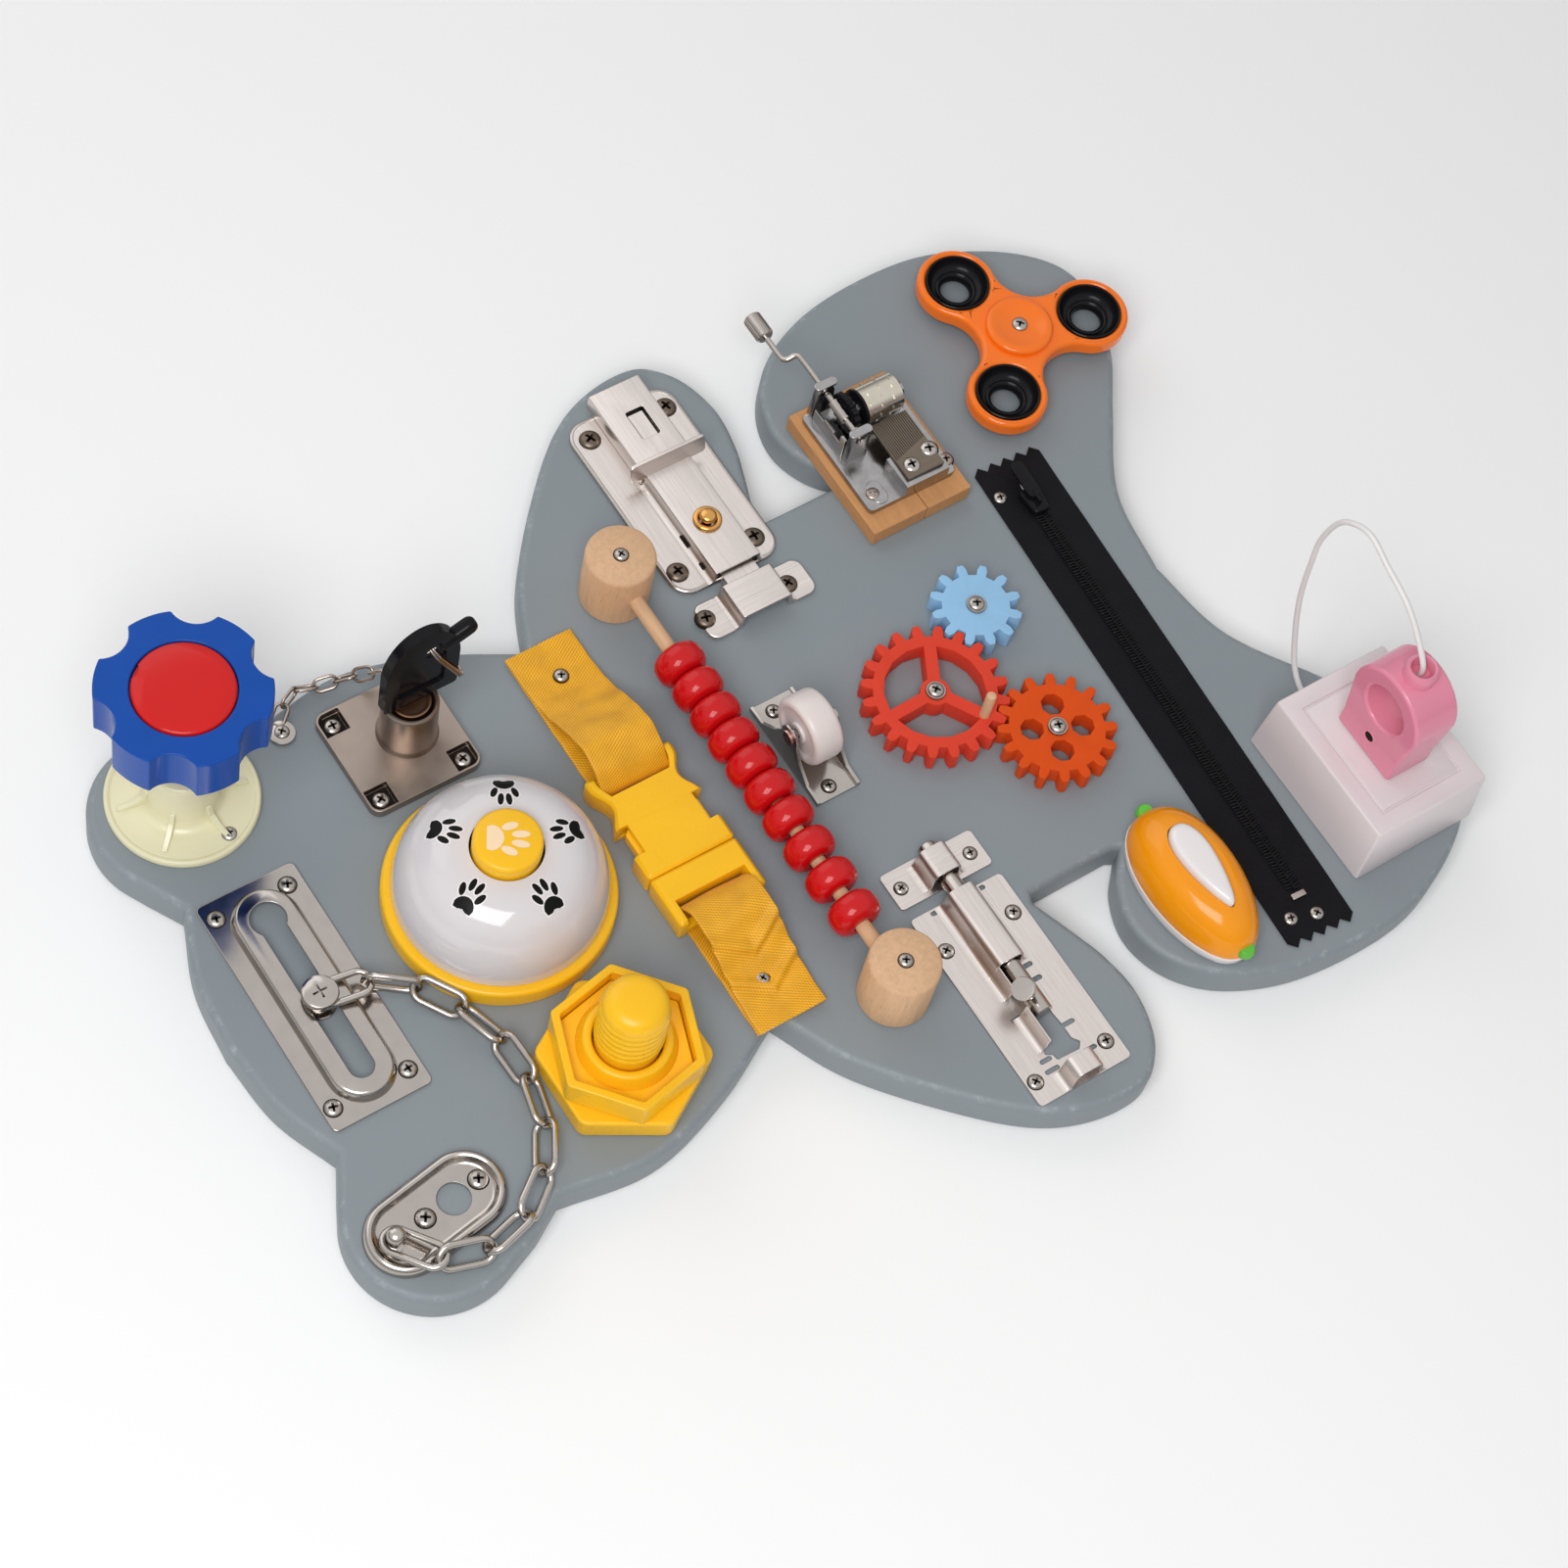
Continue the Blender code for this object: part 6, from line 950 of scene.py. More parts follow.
class BUSYBOARD_OT_lock(Operator):
    """Adds the drawer lock, its core, the key and the small chain"""
    bl_idname = "busy_board.lock"
    bl_label = "Lock, key and key chain"

    def execute(self, context):
        chains = context.scene.busy_chains
        at = on_board(67.2, 100.3)
        shift = Vector((-1.4, 4.2))
        square = [Vector(point) + shift for point in rectangle(41.0, 41.0)]
        plate = slab(round_over(square, 4.0, 10), 0.3, 4.0)
        corner = [(11.3, 11.3), (19.6, 11.3), *arc((16.4, 16.4), 3.2, 0.0, 90.0, 8), (11.3, 19.6)]
        for across, along in ((1.0, 1.0), (-1.0, 1.0), (-1.0, -1.0), (1.0, -1.0)):
            pocket = [Vector((point[0] * across, point[1] * along)) + shift for point in corner]
            plate = cut_away(plate, slab(pocket, 1.2, 6.0))
        piece("lock_case", plate, "satin_nickel", at=at, cad="lock_body", edge=0.3, segments=3)
        barrel = spun([(7.3, 3.6), (10.4, 3.6), (10.4, 4.3), (10.1, 4.8), (9.8, 5.4), (9.6, 6.4),
                       (9.4, 23.8), (9.25, 24.5), (8.8, 24.95), (8.2, 25.0), (7.8, 24.7), (7.6, 24.0),
                       (7.3, 22.0)], ring=True)
        piece("lock_barrel", barrel, "satin_nickel", at=at)
        core = spun([(0.0, 5.0), (6.8, 5.0), (6.8, 24.3), (6.6, 24.8), (6.1, 25.0), (5.4, 24.8),
                     (5.1, 24.3), (0.0, 24.2)], 72)
        core = cut_away(core, slab(rectangle(2.0, 8.4), 8.4, 30.0))
        piece("lock_plug", core, "bronze", "lock_cylinder", at=at, cad="lock_core")

        # The key's bow is thick round its rim, and its web has a hole for the chain's ring.
        half_rim, hole = 1.9, (-6.0, 51.5)
        rim = slab(key_bow(0.0), -half_rim, half_rim, [key_bow(5.2)])
        piece("key_rim", rim, "black", "key", at=at, turn=STAND_ALONG_X, cad="key", edge=1.3, segments=5)
        web = slab(key_bow(4.6), -0.9, 0.9, [ring_of(2.8, 32, hole)])
        piece("key_web", web, "black", "key", at=at, turn=STAND_ALONG_X, edge=0.2)
        lug = placed(slab(stadium(14.0, 5.6, 14), -2.5, 2.5), (-15.0 * MM, 54.7 * MM, 0.0), turned(-23.0))
        piece("key_lug", lug, "black", "key", at=at, turn=STAND_ALONG_X, edge=1.7, segments=5)
        teeth = [(-3.6, 9.2), (1.8, 9.2), (3.6, 11.0), (2.4, 12.8), (3.2, 14.6), (2.2, 16.4), (3.6, 18.2),
                 (2.8, 20.0), (3.6, 21.8), (3.6, 23.6), (4.6, 24.6), (4.6, 28.5), (-4.6, 28.5),
                 (-4.6, 25.6), (-3.6, 24.6)]
        blade = placed(slab(teeth, -0.6, 0.6), at, STAND_ALONG_X)
        piece("key_blade", blade, "brass", "key", edge=0.15)

        tab_at = on_board(*KEY_TAB)
        wire, wide = chains.key_wire, chains.key_wide
        down, across = polar(1.0, 27.0)
        hang = Vector((0.0, -across, -down))
        loop_long, loop_wide = 29.0 * MM, 11.5 * MM
        half_wide = (loop_wide - wire) / 2
        behind = half_wide - half_rim * MM - wire / 2 - 0.3 * MM
        half_chord = (loop_long - loop_wide) / 2 + math.sqrt(half_wide ** 2 - behind ** 2)
        loop_at = at + mm(0.0, *hole) + hang * half_chord + Vector((behind, 0.0, 0.0))
        lies = [(3.4, 0.0, 1.2), (10.7, -9.4, 3.3), (8.9, -14.9, 3.4), (7.8, -19.8, 3.6),
                (5.6, -26.4, 6.0), (0.9, -32.9, 11.0), (-5.5, -38.5, 20.0)]
        route = [tab_at + mm(*point) for point in lies]
        route.append(loop_at + Vector((half_wide + wire / 4, 0.0, 0.0)))
        fine = resampled(smooth_curve(route), 400)
        length = length_of(fine)
        pitch, bite = 6.9 * MM, 0.1 * MM
        count = round(length / pitch)
        joints = resampled(fine, count + 1)
        reach = length / count + 2 * wire - bite
        routes = []
        for number, (a, b) in enumerate(zip(joints, joints[1:])):
            roll = 80.0 * number if number < 2 else (45.0 if number % 2 else -45.0)
            routes.append(link_route(reach, wide, wire, a, b, roll))
        half = 2 * count // 3
        lower = piece("key_chain_lower", pipe(routes[:half], wire / 2, True, 3), "warm_nickel",
                      cad="key_chain", ride=False)
        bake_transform(lower)
        upper = piece("key_chain_upper", pipe(routes[half:], wire / 2, True, 3), "warm_nickel",
                      ride=False)
        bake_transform(upper)
        loop = link_route(loop_long, loop_wide, wire, loop_at - hang * MM, loop_at + hang * MM, 0.0)
        side = hang.cross(Vector((1.0, 0.0, 0.0))) * wire * 0.4
        coil = [[point + side * sign for point in loop] for sign in (-1.0, 1.0)]
        piece("key_ring", pipe(coil, wire * 0.4, True, 3), "warm_nickel", "key")
        tab = spun([(1.4, 0.3), (4.4, 0.3), (4.6, 0.6), (4.4, 1.2), (3.4, 1.5), (1.4, 1.5)], 40, True)
        piece("key_chain_tab", tab, "nickel", at=tab_at)
        # Painted shade: dark squares lie in the plate's pockets, where shade falls.
        shades = [slab(rectangle(7.6, 7.6, (shift.x + x, shift.y + y)), 1.15, 1.45)
                  for x, y in LOCK_CORNERS]
        piece("lock_pocket_shade", gathered(shades), "soot", at=at)
        return {"FINISHED"}


class BUSYBOARD_OT_door_chain(Operator):
    """Adds the slotted plate, its slider, the anchor and the chain between them"""
    bl_idname = "busy_board.door_chain"
    bl_label = "Door chain"

    def execute(self, context):
        chains = context.scene.busy_chains
        at = on_board(1.60, 173.0)
        plate = slab(round_over(rectangle(87.6, 35.4), 2.0, 6), 0.3, 1.2)
        plate = cut_away(plate, slab(stadium(78.0, 19.0, 24), -1.0, 3.0))
        piece("slot_plate", plate, "nickel", at=at, cad="chain_track", edge=0.35, segments=3)
        hill = stacked(lambda margin: stadium(81.0 - 2 * margin, 23.0 - 2 * margin, 28),
                       ((0.0, 0.7), (0.0, 1.2), (0.3, 1.9), (0.8, 2.9), (1.3, 3.9), (1.7, 4.35),
                        (2.3, 4.6)))
        slot = [*arc((-29.35, 0.0), 4.25, 90.0, 270.0, 20), *arc((28.4, 0.0), 6.0, -135.0, 135.0, 32)]
        for cutter in (slab(stadium(72.0, 14.2, 24), -1.0, 3.6), slab(slot, -2.0, 8.0)):
            hill = cut_away(hill, cutter)
        piece("slot_hill", hill, "nickel", at=at, edge=0.2)
        slider_at = on_board(-2.0, 173.0)
        slider = spun([(0.0, 0.6), (5.3, 0.6), (5.6, 0.9), (5.6, 1.7), (5.3, 2.0), (3.4, 2.0), (3.4, 4.9),
                       (3.2, 5.2), (1.9, 5.2), (1.9, 8.2), (5.6, 8.2), (6.0, 8.6), (6.0, 9.8),
                       (5.6, 10.5), (4.8, 10.8), (0.0, 10.8)], 64)
        for bar in cross_recess(3.0, 0.9, 9.6, 12.0):
            slider = cut_away(slider, bar)
        piece("slider_knob", slider, "nickel", "chain_slide", at=slider_at, cad="chain_slider")

        anchor_at = on_board(-80.29, 177.61)
        lean, stud_out = 99.0, 16.0
        dish = stacked(lambda margin: stadium(50.0 - 2 * margin, 27.0 - 2 * margin, 28),
                       ((0.0, 0.3), (0.0, 1.2), (0.25, 2.4), (0.8, 3.5), (1.5, 4.1), (2.1, 4.2),
                        (2.8, 3.9), (3.4, 2.9), (3.8, 2.1), (4.4, 1.7), (5.2, 1.6)))
        dish = cut_away(dish, spun_cutter(5.5, -1.0, 6.0, (-7.5, 0.0)))
        piece("anchor_dish", dish, "nickel", at=anchor_at, turn=turned(lean), cad="chain_anchor",
              edge=0.12)
        stud = spun([(0.0, 1.5), (3.0, 1.5), (3.0, 2.0), (1.8, 2.4), (1.8, 6.6), (2.4, 7.0), (3.0, 7.9),
                     (3.1, 8.8), (2.8, 9.9), (2.0, 10.7), (1.0, 11.1), (0.0, 11.2)], 48)
        placed(stud, mm(stud_out, 0.0))
        piece("anchor_stud", stud, "nickel", at=anchor_at, turn=turned(lean))

        wire, wide = chains.wire, chains.wide
        long, bite = 20.7 * MM, 0.3 * MM
        start = slider_at + mm(0.0, 0.0, 6.7)
        stud_at = anchor_at + mm(*polar(stud_out, lean), 4.5)
        high = ((wide - wire) * math.sqrt(0.5) / 2 + wire / 2) / MM + 0.3
        lies = [(-6.22, 152.736), (-17.105, 141.384), (-34.505, 132.509), (-53.492, 130.032),
                (-69.198, 132.509), (-85.525, 141.384), (-97.188, 157.896), (-99.52, 172.344),
                (-97.188, 182.664)]
        route = [start, *(on_board(x, y, high) for x, y in lies), stud_at]
        route[1].z = BOARD_TOP + 6.8 * MM
        route[-2].z = BOARD_TOP + 6.4 * MM
        fine = smooth_curve(route)
        length = length_of(fine)
        count = round((length - long / 2) / (long - 2 * wire + bite)) + 1
        joints = resampled(fine, count + 1)
        reach = length / count + 2 * wire - bite
        routes = []
        for number, (a, b) in enumerate(zip(joints, joints[1:])):
            roll = (0.0, 90.0, 45.0)[number] if number < 3 else (-45.0 if number % 2 else 45.0)
            roll = 0.0 if number == count - 1 else roll
            span = reach
            if number in (0, count - 1):
                end, other = (a, b) if number == 0 else (b, a)
                push = (end - other).normalized() * (wire / 2 + 1.8 * MM)
                a, b = (a + push, b) if number == 0 else (a, b + push)
                span = (b - a).length + 2 * wire - bite
            routes.append(link_route(span, wide, wire, a, b, roll))
        chain = piece("door_chain_links", pipe(routes, wire / 2, True, 5), "nickel", cad="door_chain",
                      ride=False)
        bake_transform(chain)
        return {"FINISHED"}


def cross_recess(arm, wide, low, high):
    """The two cutters for the cross of a screw's head, narrowing downwards."""
    bars = []
    for turn in (0.0, 90.0):
        bar = stacked(lambda share: rectangle(2 * arm * share, wide * share),
                      ((0.45, low), (1.0 + 0.1 * (high - low), high)))
        bars.append(placed(bar, turn=turned(turn)))
    return bars


# The bell's dome: a flat top of this radius, the reach and height of its curve, and its foot's height.
DOME_IN, DOME_REACH, DOME_HIGH, DOME_LOW = 12.0, 22.8, 28.0, 8.3


def dome_height(reach):
    """The height of the bell's dome over the board at a distance from its axis, in millimetres."""
    lean = min(1.0, max(0.0, (reach - DOME_IN) / DOME_REACH)) ** (1.0 / 0.8)
    return DOME_LOW + DOME_HIGH * max(0.0, 1.0 - lean * lean) ** 0.45


def print_spot(outline, lift, surface):
    """A flat print laid on a surface of revolution, its outline in millimetres from the axis."""
    bm = bmesh.new()
    centre = sum(outline, Vector((0.0, 0.0))) / len(outline)
    rings = []
    for share in (0.15, 0.4, 0.65, 0.85, 1.0):
        ring = []
        for point in outline:
            flat = centre.lerp(point, share)
            ring.append(bm.verts.new(mm(flat.x, flat.y, surface(flat.length) + lift)))
        rings.append([bm.edges.new((ring[number - 1], ring[number])) for number in range(len(ring))])
    for low, high in zip(rings, rings[1:]):
        bmesh.ops.bridge_loops(bm, edges=low + high)
    bmesh.ops.contextual_create(bm, geom=rings[0])
    return bm


def paw(x, y, size, turn, surface, lift, margin=0.0):
    """A plain paw print: a half-round pad and four toes, each with an optional margin round it."""
    pad = round_over([(-3.1, -5.2), (3.1, -5.2), *arc((0.0, -4.6), 3.6, 15.0, 165.0, 8)], 0.35, 3)
    shapes = [inset(pad, -margin)]
    for side, along, wide, long, lean in ((-3.3, 0.3, 2.1, 4.2, 20.0), (-1.3, 3.0, 2.0, 4.5, 6.0),
                                          (1.3, 3.0, 2.0, 4.5, -6.0), (3.3, 0.3, 2.1, 4.2, -20.0)):
        swing = Matrix.Rotation(math.radians(lean), 2)
        half_wide, half_long = wide / 2 + margin, long / 2 + margin
        shapes.append([Vector((side, along)) + swing @ Vector((point.x * half_wide, point.y * half_long))
                       for point in ring_of(1.0, 28)])
    swing = Matrix.Rotation(math.radians(turn), 2)
    shapes = [[swing @ (point * size) + Vector((x, y)) for point in shape] for shape in shapes]
    return gathered([print_spot(shape, lift, surface) for shape in shapes])


class BUSYBOARD_OT_bell(Operator):
    """Adds the counter bell: yellow ring, white dome with paw prints, and the button"""
    bl_idname = "busy_board.bell"
    bl_label = "Bell"

    def execute(self, context):
        at = on_board(2.5, 104.7)
        base = spun([(0.0, 0.3), (37.6, 0.3), (38.0, 0.7), (38.0, 6.6), (37.8, 7.4), (37.2, 7.9),
                     (36.4, 8.0), (5.8, 8.0), (5.8, 18.9), (5.4, 19.1), (0.0, 19.1)], 128)
        piece("bell_ring", base, "yellow", at=at, cad="bell_base")
        leans = [math.radians(90.0 * step / 28) for step in range(29)]
        outer, inner = ([(DOME_IN + (DOME_REACH - thick) * math.cos(a) ** 0.8,
                          DOME_LOW + (DOME_HIGH - thick) * math.sin(a) ** 0.9) for a in leans]
                        for thick in (0.0, 1.6))
        dome = spun(outer + inner[::-1], 128, True)
        piece("bell_shell", dome, "dome", at=at, cad="bell_dome")
        for name, lift, margin, finish_name in (("bell_print_edges", 0.03, 0.5, "white"),
                                                ("bell_prints", 0.07, 0.0, "ink")):
            prints = []
            for number in range(5):
                angle = 72.0 * number + 42.8
                prints.append(paw(*polar(20.0, angle), 1.0, angle + 90.0, dome_height, lift, margin))
            piece(name, gathered(prints), finish_name, at=at)
        knob_high = 42.2
        button = spun([(0.0, 23.6), (11.2, 23.6), (11.2, 40.4), (11.0, 41.1), (10.5, 41.5), (9.8, 41.7),
                       (5.0, 42.05), (0.0, knob_high)], 96)
        piece("bell_knob", button, "yellow", "bell_push", at=at, cad="bell_button")
        mark = paw(0.0, 0.0, 1.3, 147.7, lambda reach: knob_high - 0.5 * (reach / 9.8) ** 2, 0.08)
        piece("bell_knob_print", mark, "cream_print", "bell_push", at=at)
        return {"FINISHED"}


def helix(radius, depth, pitch, low, turns, flank=0.7):
    """A helical ridge on a shaft, in millimetres."""
    bm = bmesh.new()
    half, crest = pitch * flank / 2, pitch * 0.1
    section = ((radius - 0.3, low - half), (radius, low - half), (radius + depth, low - crest),
               (radius + depth, low + crest), (radius, low + half), (radius - 0.3, low + half))
    face = bm.faces.new([bm.verts.new(mm(r, 0.0, z)) for r, z in section])
    steps = int(turns * 60)
    bmesh.ops.spin(bm, geom=[face], cent=(0.0, 0.0, 0.0), axis=(0.0, 0.0, 1.0),
                   dvec=(0.0, 0.0, pitch * turns * MM / steps), angle=2.0 * math.pi * turns, steps=steps)
    return bm


class BUSYBOARD_OT_toy_bolt(Operator):
    """Adds the fat plastic bolt and its nut"""
    bl_idname = "busy_board.toy_bolt"
    bl_label = "Toy bolt"

    def execute(self, context):
        at = on_board(-66.0, 101.0)
        head = slab(round_over(hexagon(28.5), 4.0, 10), 0.3, 9.6)
        piece("toy_head", head, "yellow", at=at, cad="toy_bolt", edge=1.1, segments=4)
        shaft = spun([(0.0, 9.0), (10.7, 9.0), (10.7, 41.6), (10.6, 43.4), (10.2, 45.2), (9.3, 46.8),
                      (7.8, 47.9), (5.6, 48.4), (0.0, 48.5)], 96)
        thread = helix(10.7, 0.5, 3.4, 23.5, 5.6)
        piece("toy_shaft", gathered([shaft, thread]), "yellow", at=at)
        low, high, swing = 9.9, 21.1, 40.7
        side = 2.8 / math.cos(math.radians(30.0))
        bore = ring_of(11.35, 64)
        ring = slab(round_over(hexagon(25.5, swing), 2.0, 8), low, high,
                    [round_over(hexagon(25.5 - side, swing), 1.4, 8)])
        floor = slab(round_over(hexagon(25.0 - side, swing), 1.4, 8), low + 0.2, high - 5.0, [bore])
        boss = spun([(11.35, low + 0.1), (16.2, low + 0.1), (16.2, high - 4.9), (15.6, high - 3.4),
                     (14.8, high - 1.4), (14.2, high - 0.4), (13.4, high), (12.2, high),
                     (11.6, high - 0.4), (11.35, high - 1.0)], 72, True)
        piece("toy_nut_rim", ring, "yellow", "nut", at=at, cad="toy_nut", edge=0.6, segments=3)
        piece("toy_nut_floor", floor, "yellow", "nut", at=at)
        piece("toy_nut_boss", boss, "yellow", "nut", at=at, edge=0.5, segments=3)
        return {"FINISHED"}


def band(route, thick, wide, fold=None):
    """Webbing along a route in the XZ plane, with round selvedges and a UV map in metres.

    The fold gives how far the cloth stands out at a distance along it and across it, both in metres."""
    bm = bmesh.new()
    flat = bm.verts.layers.float_vector.new("flat")
    half, columns = wide / 2 - thick / 2, 26
    profile = []
    for side in (1.0, -1.0):
        profile += [(side * (half - 2 * half * number / columns), side * thick / 2)
                    for number in range(columns + 1)]
        profile += [(-side * (half + thick * 0.35), side * thick * 0.35),
                    (-side * (half + thick / 2), 0.0),
                    (-side * (half + thick * 0.35), -side * thick * 0.35)]
    run = 0.0
    loops = []
    for number, point in enumerate(route):
        before = route[max(number - 1, 0)]
        after = route[min(number + 1, len(route) - 1)]
        heading = (after - before).normalized()
        out = Vector((-heading.z, 0.0, heading.x))
        run += (point - before).length
        verts = []
        for across, over in profile:
            lift = fold(run, across) if fold else 0.0
            vert = bm.verts.new(point + Vector((0.0, across, 0.0)) + out * (over + lift))
            vert[flat] = (run, across, 0.0)
            verts.append(vert)
        loops.append([bm.edges.new((verts[n - 1], verts[n])) for n in range(len(verts))])
    for low, high in zip(loops, loops[1:]):
        bmesh.ops.bridge_loops(bm, edges=low + high)
    bmesh.ops.contextual_create(bm, geom=loops[0])
    bmesh.ops.contextual_create(bm, geom=loops[-1])
    uv = bm.loops.layers.uv.new("cloth")
    for face in bm.faces:
        for corner in face.loops:
            corner[uv].uv = corner.vert[flat].xy
    return bm, run


def creases(upper):
    """How the webbing is rumpled: slow waves, and on the lower strap two seams that meet in a V."""
    def fold(run, across):
        along, side = run / MM, across / MM
        wave = 0.40 + 0.32 * math.sin(along * 0.55 + side * 0.16) * math.cos(along * 0.17 - side * 0.11)
        if upper:
            return wave * MM
        lift = wave
        for seam in (9.5, 23.5):
            off = along - seam - 0.62 * abs(side)
            lift += 1.5 * math.exp(-((off - 2.6) / 2.2) ** 2) - 0.6 * math.exp(-(off / 1.1) ** 2)
        return max(lift, -0.15) * MM
    return fold


BUCKLE_Y = 45.51


def waisted(bm):
    """Draws the buckle's sides in with a smooth curve where fingers hold it."""
    centre, half, deep = 9.0 * MM, 9.0 * MM, 3.6
    for step in range(15):
        cut = Vector((centre + half * (step / 7.0 - 1.0), 0.0, 0.0))
        bmesh.ops.bisect_plane(bm, geom=bm.verts[:] + bm.edges[:] + bm.faces[:], dist=0.01 * MM,
                               plane_co=cut, plane_no=(1.0, 0.0, 0.0))
    line = on_board(0.0, BUCKLE_Y).y
    for vert in bm.verts:
        away = abs(vert.co.x - centre) / half
        if away < 1.0:
            draw = 1.0 - deep / 16.5 * math.cos(math.pi * away / 2) ** 2
            vert.co.y = line + (vert.co.y - line) * draw


class BUSYBOARD_OT_buckle(Operator):
    """Adds the two webbing straps and the side-release buckle"""
    bl_idname = "busy_board.buckle"
    bl_label = "Straps and buckle"

    def execute(self, context):
        cloth = context.scene.busy_cloth
        at = on_board(0.0, BUCKLE_Y)
        thick, wide = cloth.webbing_thick, 25.6 * MM
        # A strap lies on the board, goes round a bar of the buckle and comes back over itself.
        lay = 1.2
        under = 0.3 + lay / 2
        middle_high = 0.3 + lay + 0.8 + 1.7
        over = middle_high + 1.7 + 0.4 + lay / 2
        for name, edge, sign, reach, rise in (("strap_upper", 21.0, 1.0, 60.0, 15.0),
                                              ("strap_lower", -38.3, -1.0, 48.0, 12.0)):
            upper = name == "strap_upper"
            mid = edge - sign * 5.9
            route = [(mid + sign * out, high) for out, high in (
                (reach, under + lay + 0.3), (reach * 0.86, under + lay + 0.3),
                (reach * 0.62, under + lay + rise * 0.16), (reach * 0.40, under + rise * 0.72),
                (reach * 0.22, under + rise), (reach * 0.07, over + rise * 0.36), (-lay / 4, over),
                (-lay / 2, middle_high), (1.45, under), (reach * 0.25, under),
                (reach * 0.70, under), (reach * 0.98, under))]
            fine = smooth_curve([mm(x, 0.0, high) for x, high in route], 230)
            line = [Vector((p.x, 0.0, max(p.z, under * MM))) + at for p in fine]
            bm, run = band(line, thick, wide, creases(upper))
            strap = piece(name + "_webbing", bm, "webbing", cad=name, ride=upper)
            if not upper:
                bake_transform(strap)
        from_cad("socket_half", "buckle_socket", "yellow", edge=0.5, segments=3, mould=waisted)
        from_cad("clip_half", "buckle_clip", "yellow", "clip", edge=0.5, segments=3)
        return {"FINISHED"}


RAIL_Y = 11.97


class BUSYBOARD_OT_beads(Operator):
    """Adds the two posts, the rod and the ten beads"""
    bl_idname = "busy_board.beads"
    bl_label = "Bead rail"

    def execute(self, context):
        for name, x in (("post_right", 80.80), ("post_left", -88.60)):
            post = spun([(0.0, 0.3), (11.6, 0.3), (12.0, 0.7), (12.0, 23.6), (11.7, 24.5), (11.0, 25.0),
                         (0.0, 25.0)], 96)
            piece(name + "_turned", post, "beech", at=on_board(x, RAIL_Y), cad=name)
        half_long = 84.6
        rod = cylinder(2.6, -half_long, half_long, 40)
        placed(rod, on_board(-3.9, RAIL_Y, 12.5), turned(90.0, "Y"))
        low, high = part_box("bead_rod")
        bmesh.ops.scale(rod, vec=((high.x - low.x) / (2 * half_long * MM), 1.0, 1.0),
                        space=Matrix.Translation(-middle("bead_rod")), verts=rod.verts[:])
        piece("rail", rod, "beech_rod", cad="bead_rod")
        for number in range(1, 11):
            name = f"bead_{number}"
            bead = spun(even_ended([(3.0, -5.0), (3.4, -5.2), (5.0, -5.15), (6.6, -4.7), (7.8, -3.8),
                                    (8.5, -2.5), (8.8, -0.9)]), 64, True)
            placed(bead, middle(name), turned(90.0, "Y"))
            piece(name + "_ball", bead, "bead", name, cad=name)
        return {"FINISHED"}


class BUSYBOARD_OT_caster(Operator):
    """Adds the furniture caster"""
    bl_idname = "busy_board.caster"
    bl_label = "Caster"

    def execute(self, context):
        at = on_board(0.3, -12.2)
        axle_high = 15.0 * MM
        from_cad("caster_fork", "caster_bracket", "nickel", edge=0.3, segments=3)
        wheel = spun(even_ended([(1.9, -5.5), (3.6, -5.5), (3.8, -5.2), (3.9, -4.6), (8.6, -4.4),
                                 (9.0, -5.2), (9.6, -5.5), (11.0, -5.4), (11.8, -4.8),
                                 (12.2, -3.6)]), 96, True)
        placed(wheel, at + Vector((0.0, 0.0, axle_high)), turned(90.0, "X"))
        piece("caster_tyre", wheel, "nylon", "caster_roller", cad="caster_wheel")
        low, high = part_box("caster_bracket")
        rivets = []
        for side, face in ((-1.0, low.y), (1.0, high.y)):
            rivet = spun([(0.0, -0.6), (3.0, -0.6), (3.0, -0.3), (2.7, 0.1), (2.0, 0.35), (1.0, 0.3),
                          (0.0, 0.1)], 40)
            placed(rivet, Vector((at.x, face - side * 0.3 * MM, at.z + axle_high)),
                   turned(-90.0 * side, "X"))
            rivets.append(rivet)
        piece("caster_rivets", gathered(rivets), "copper")
        return {"FINISHED"}


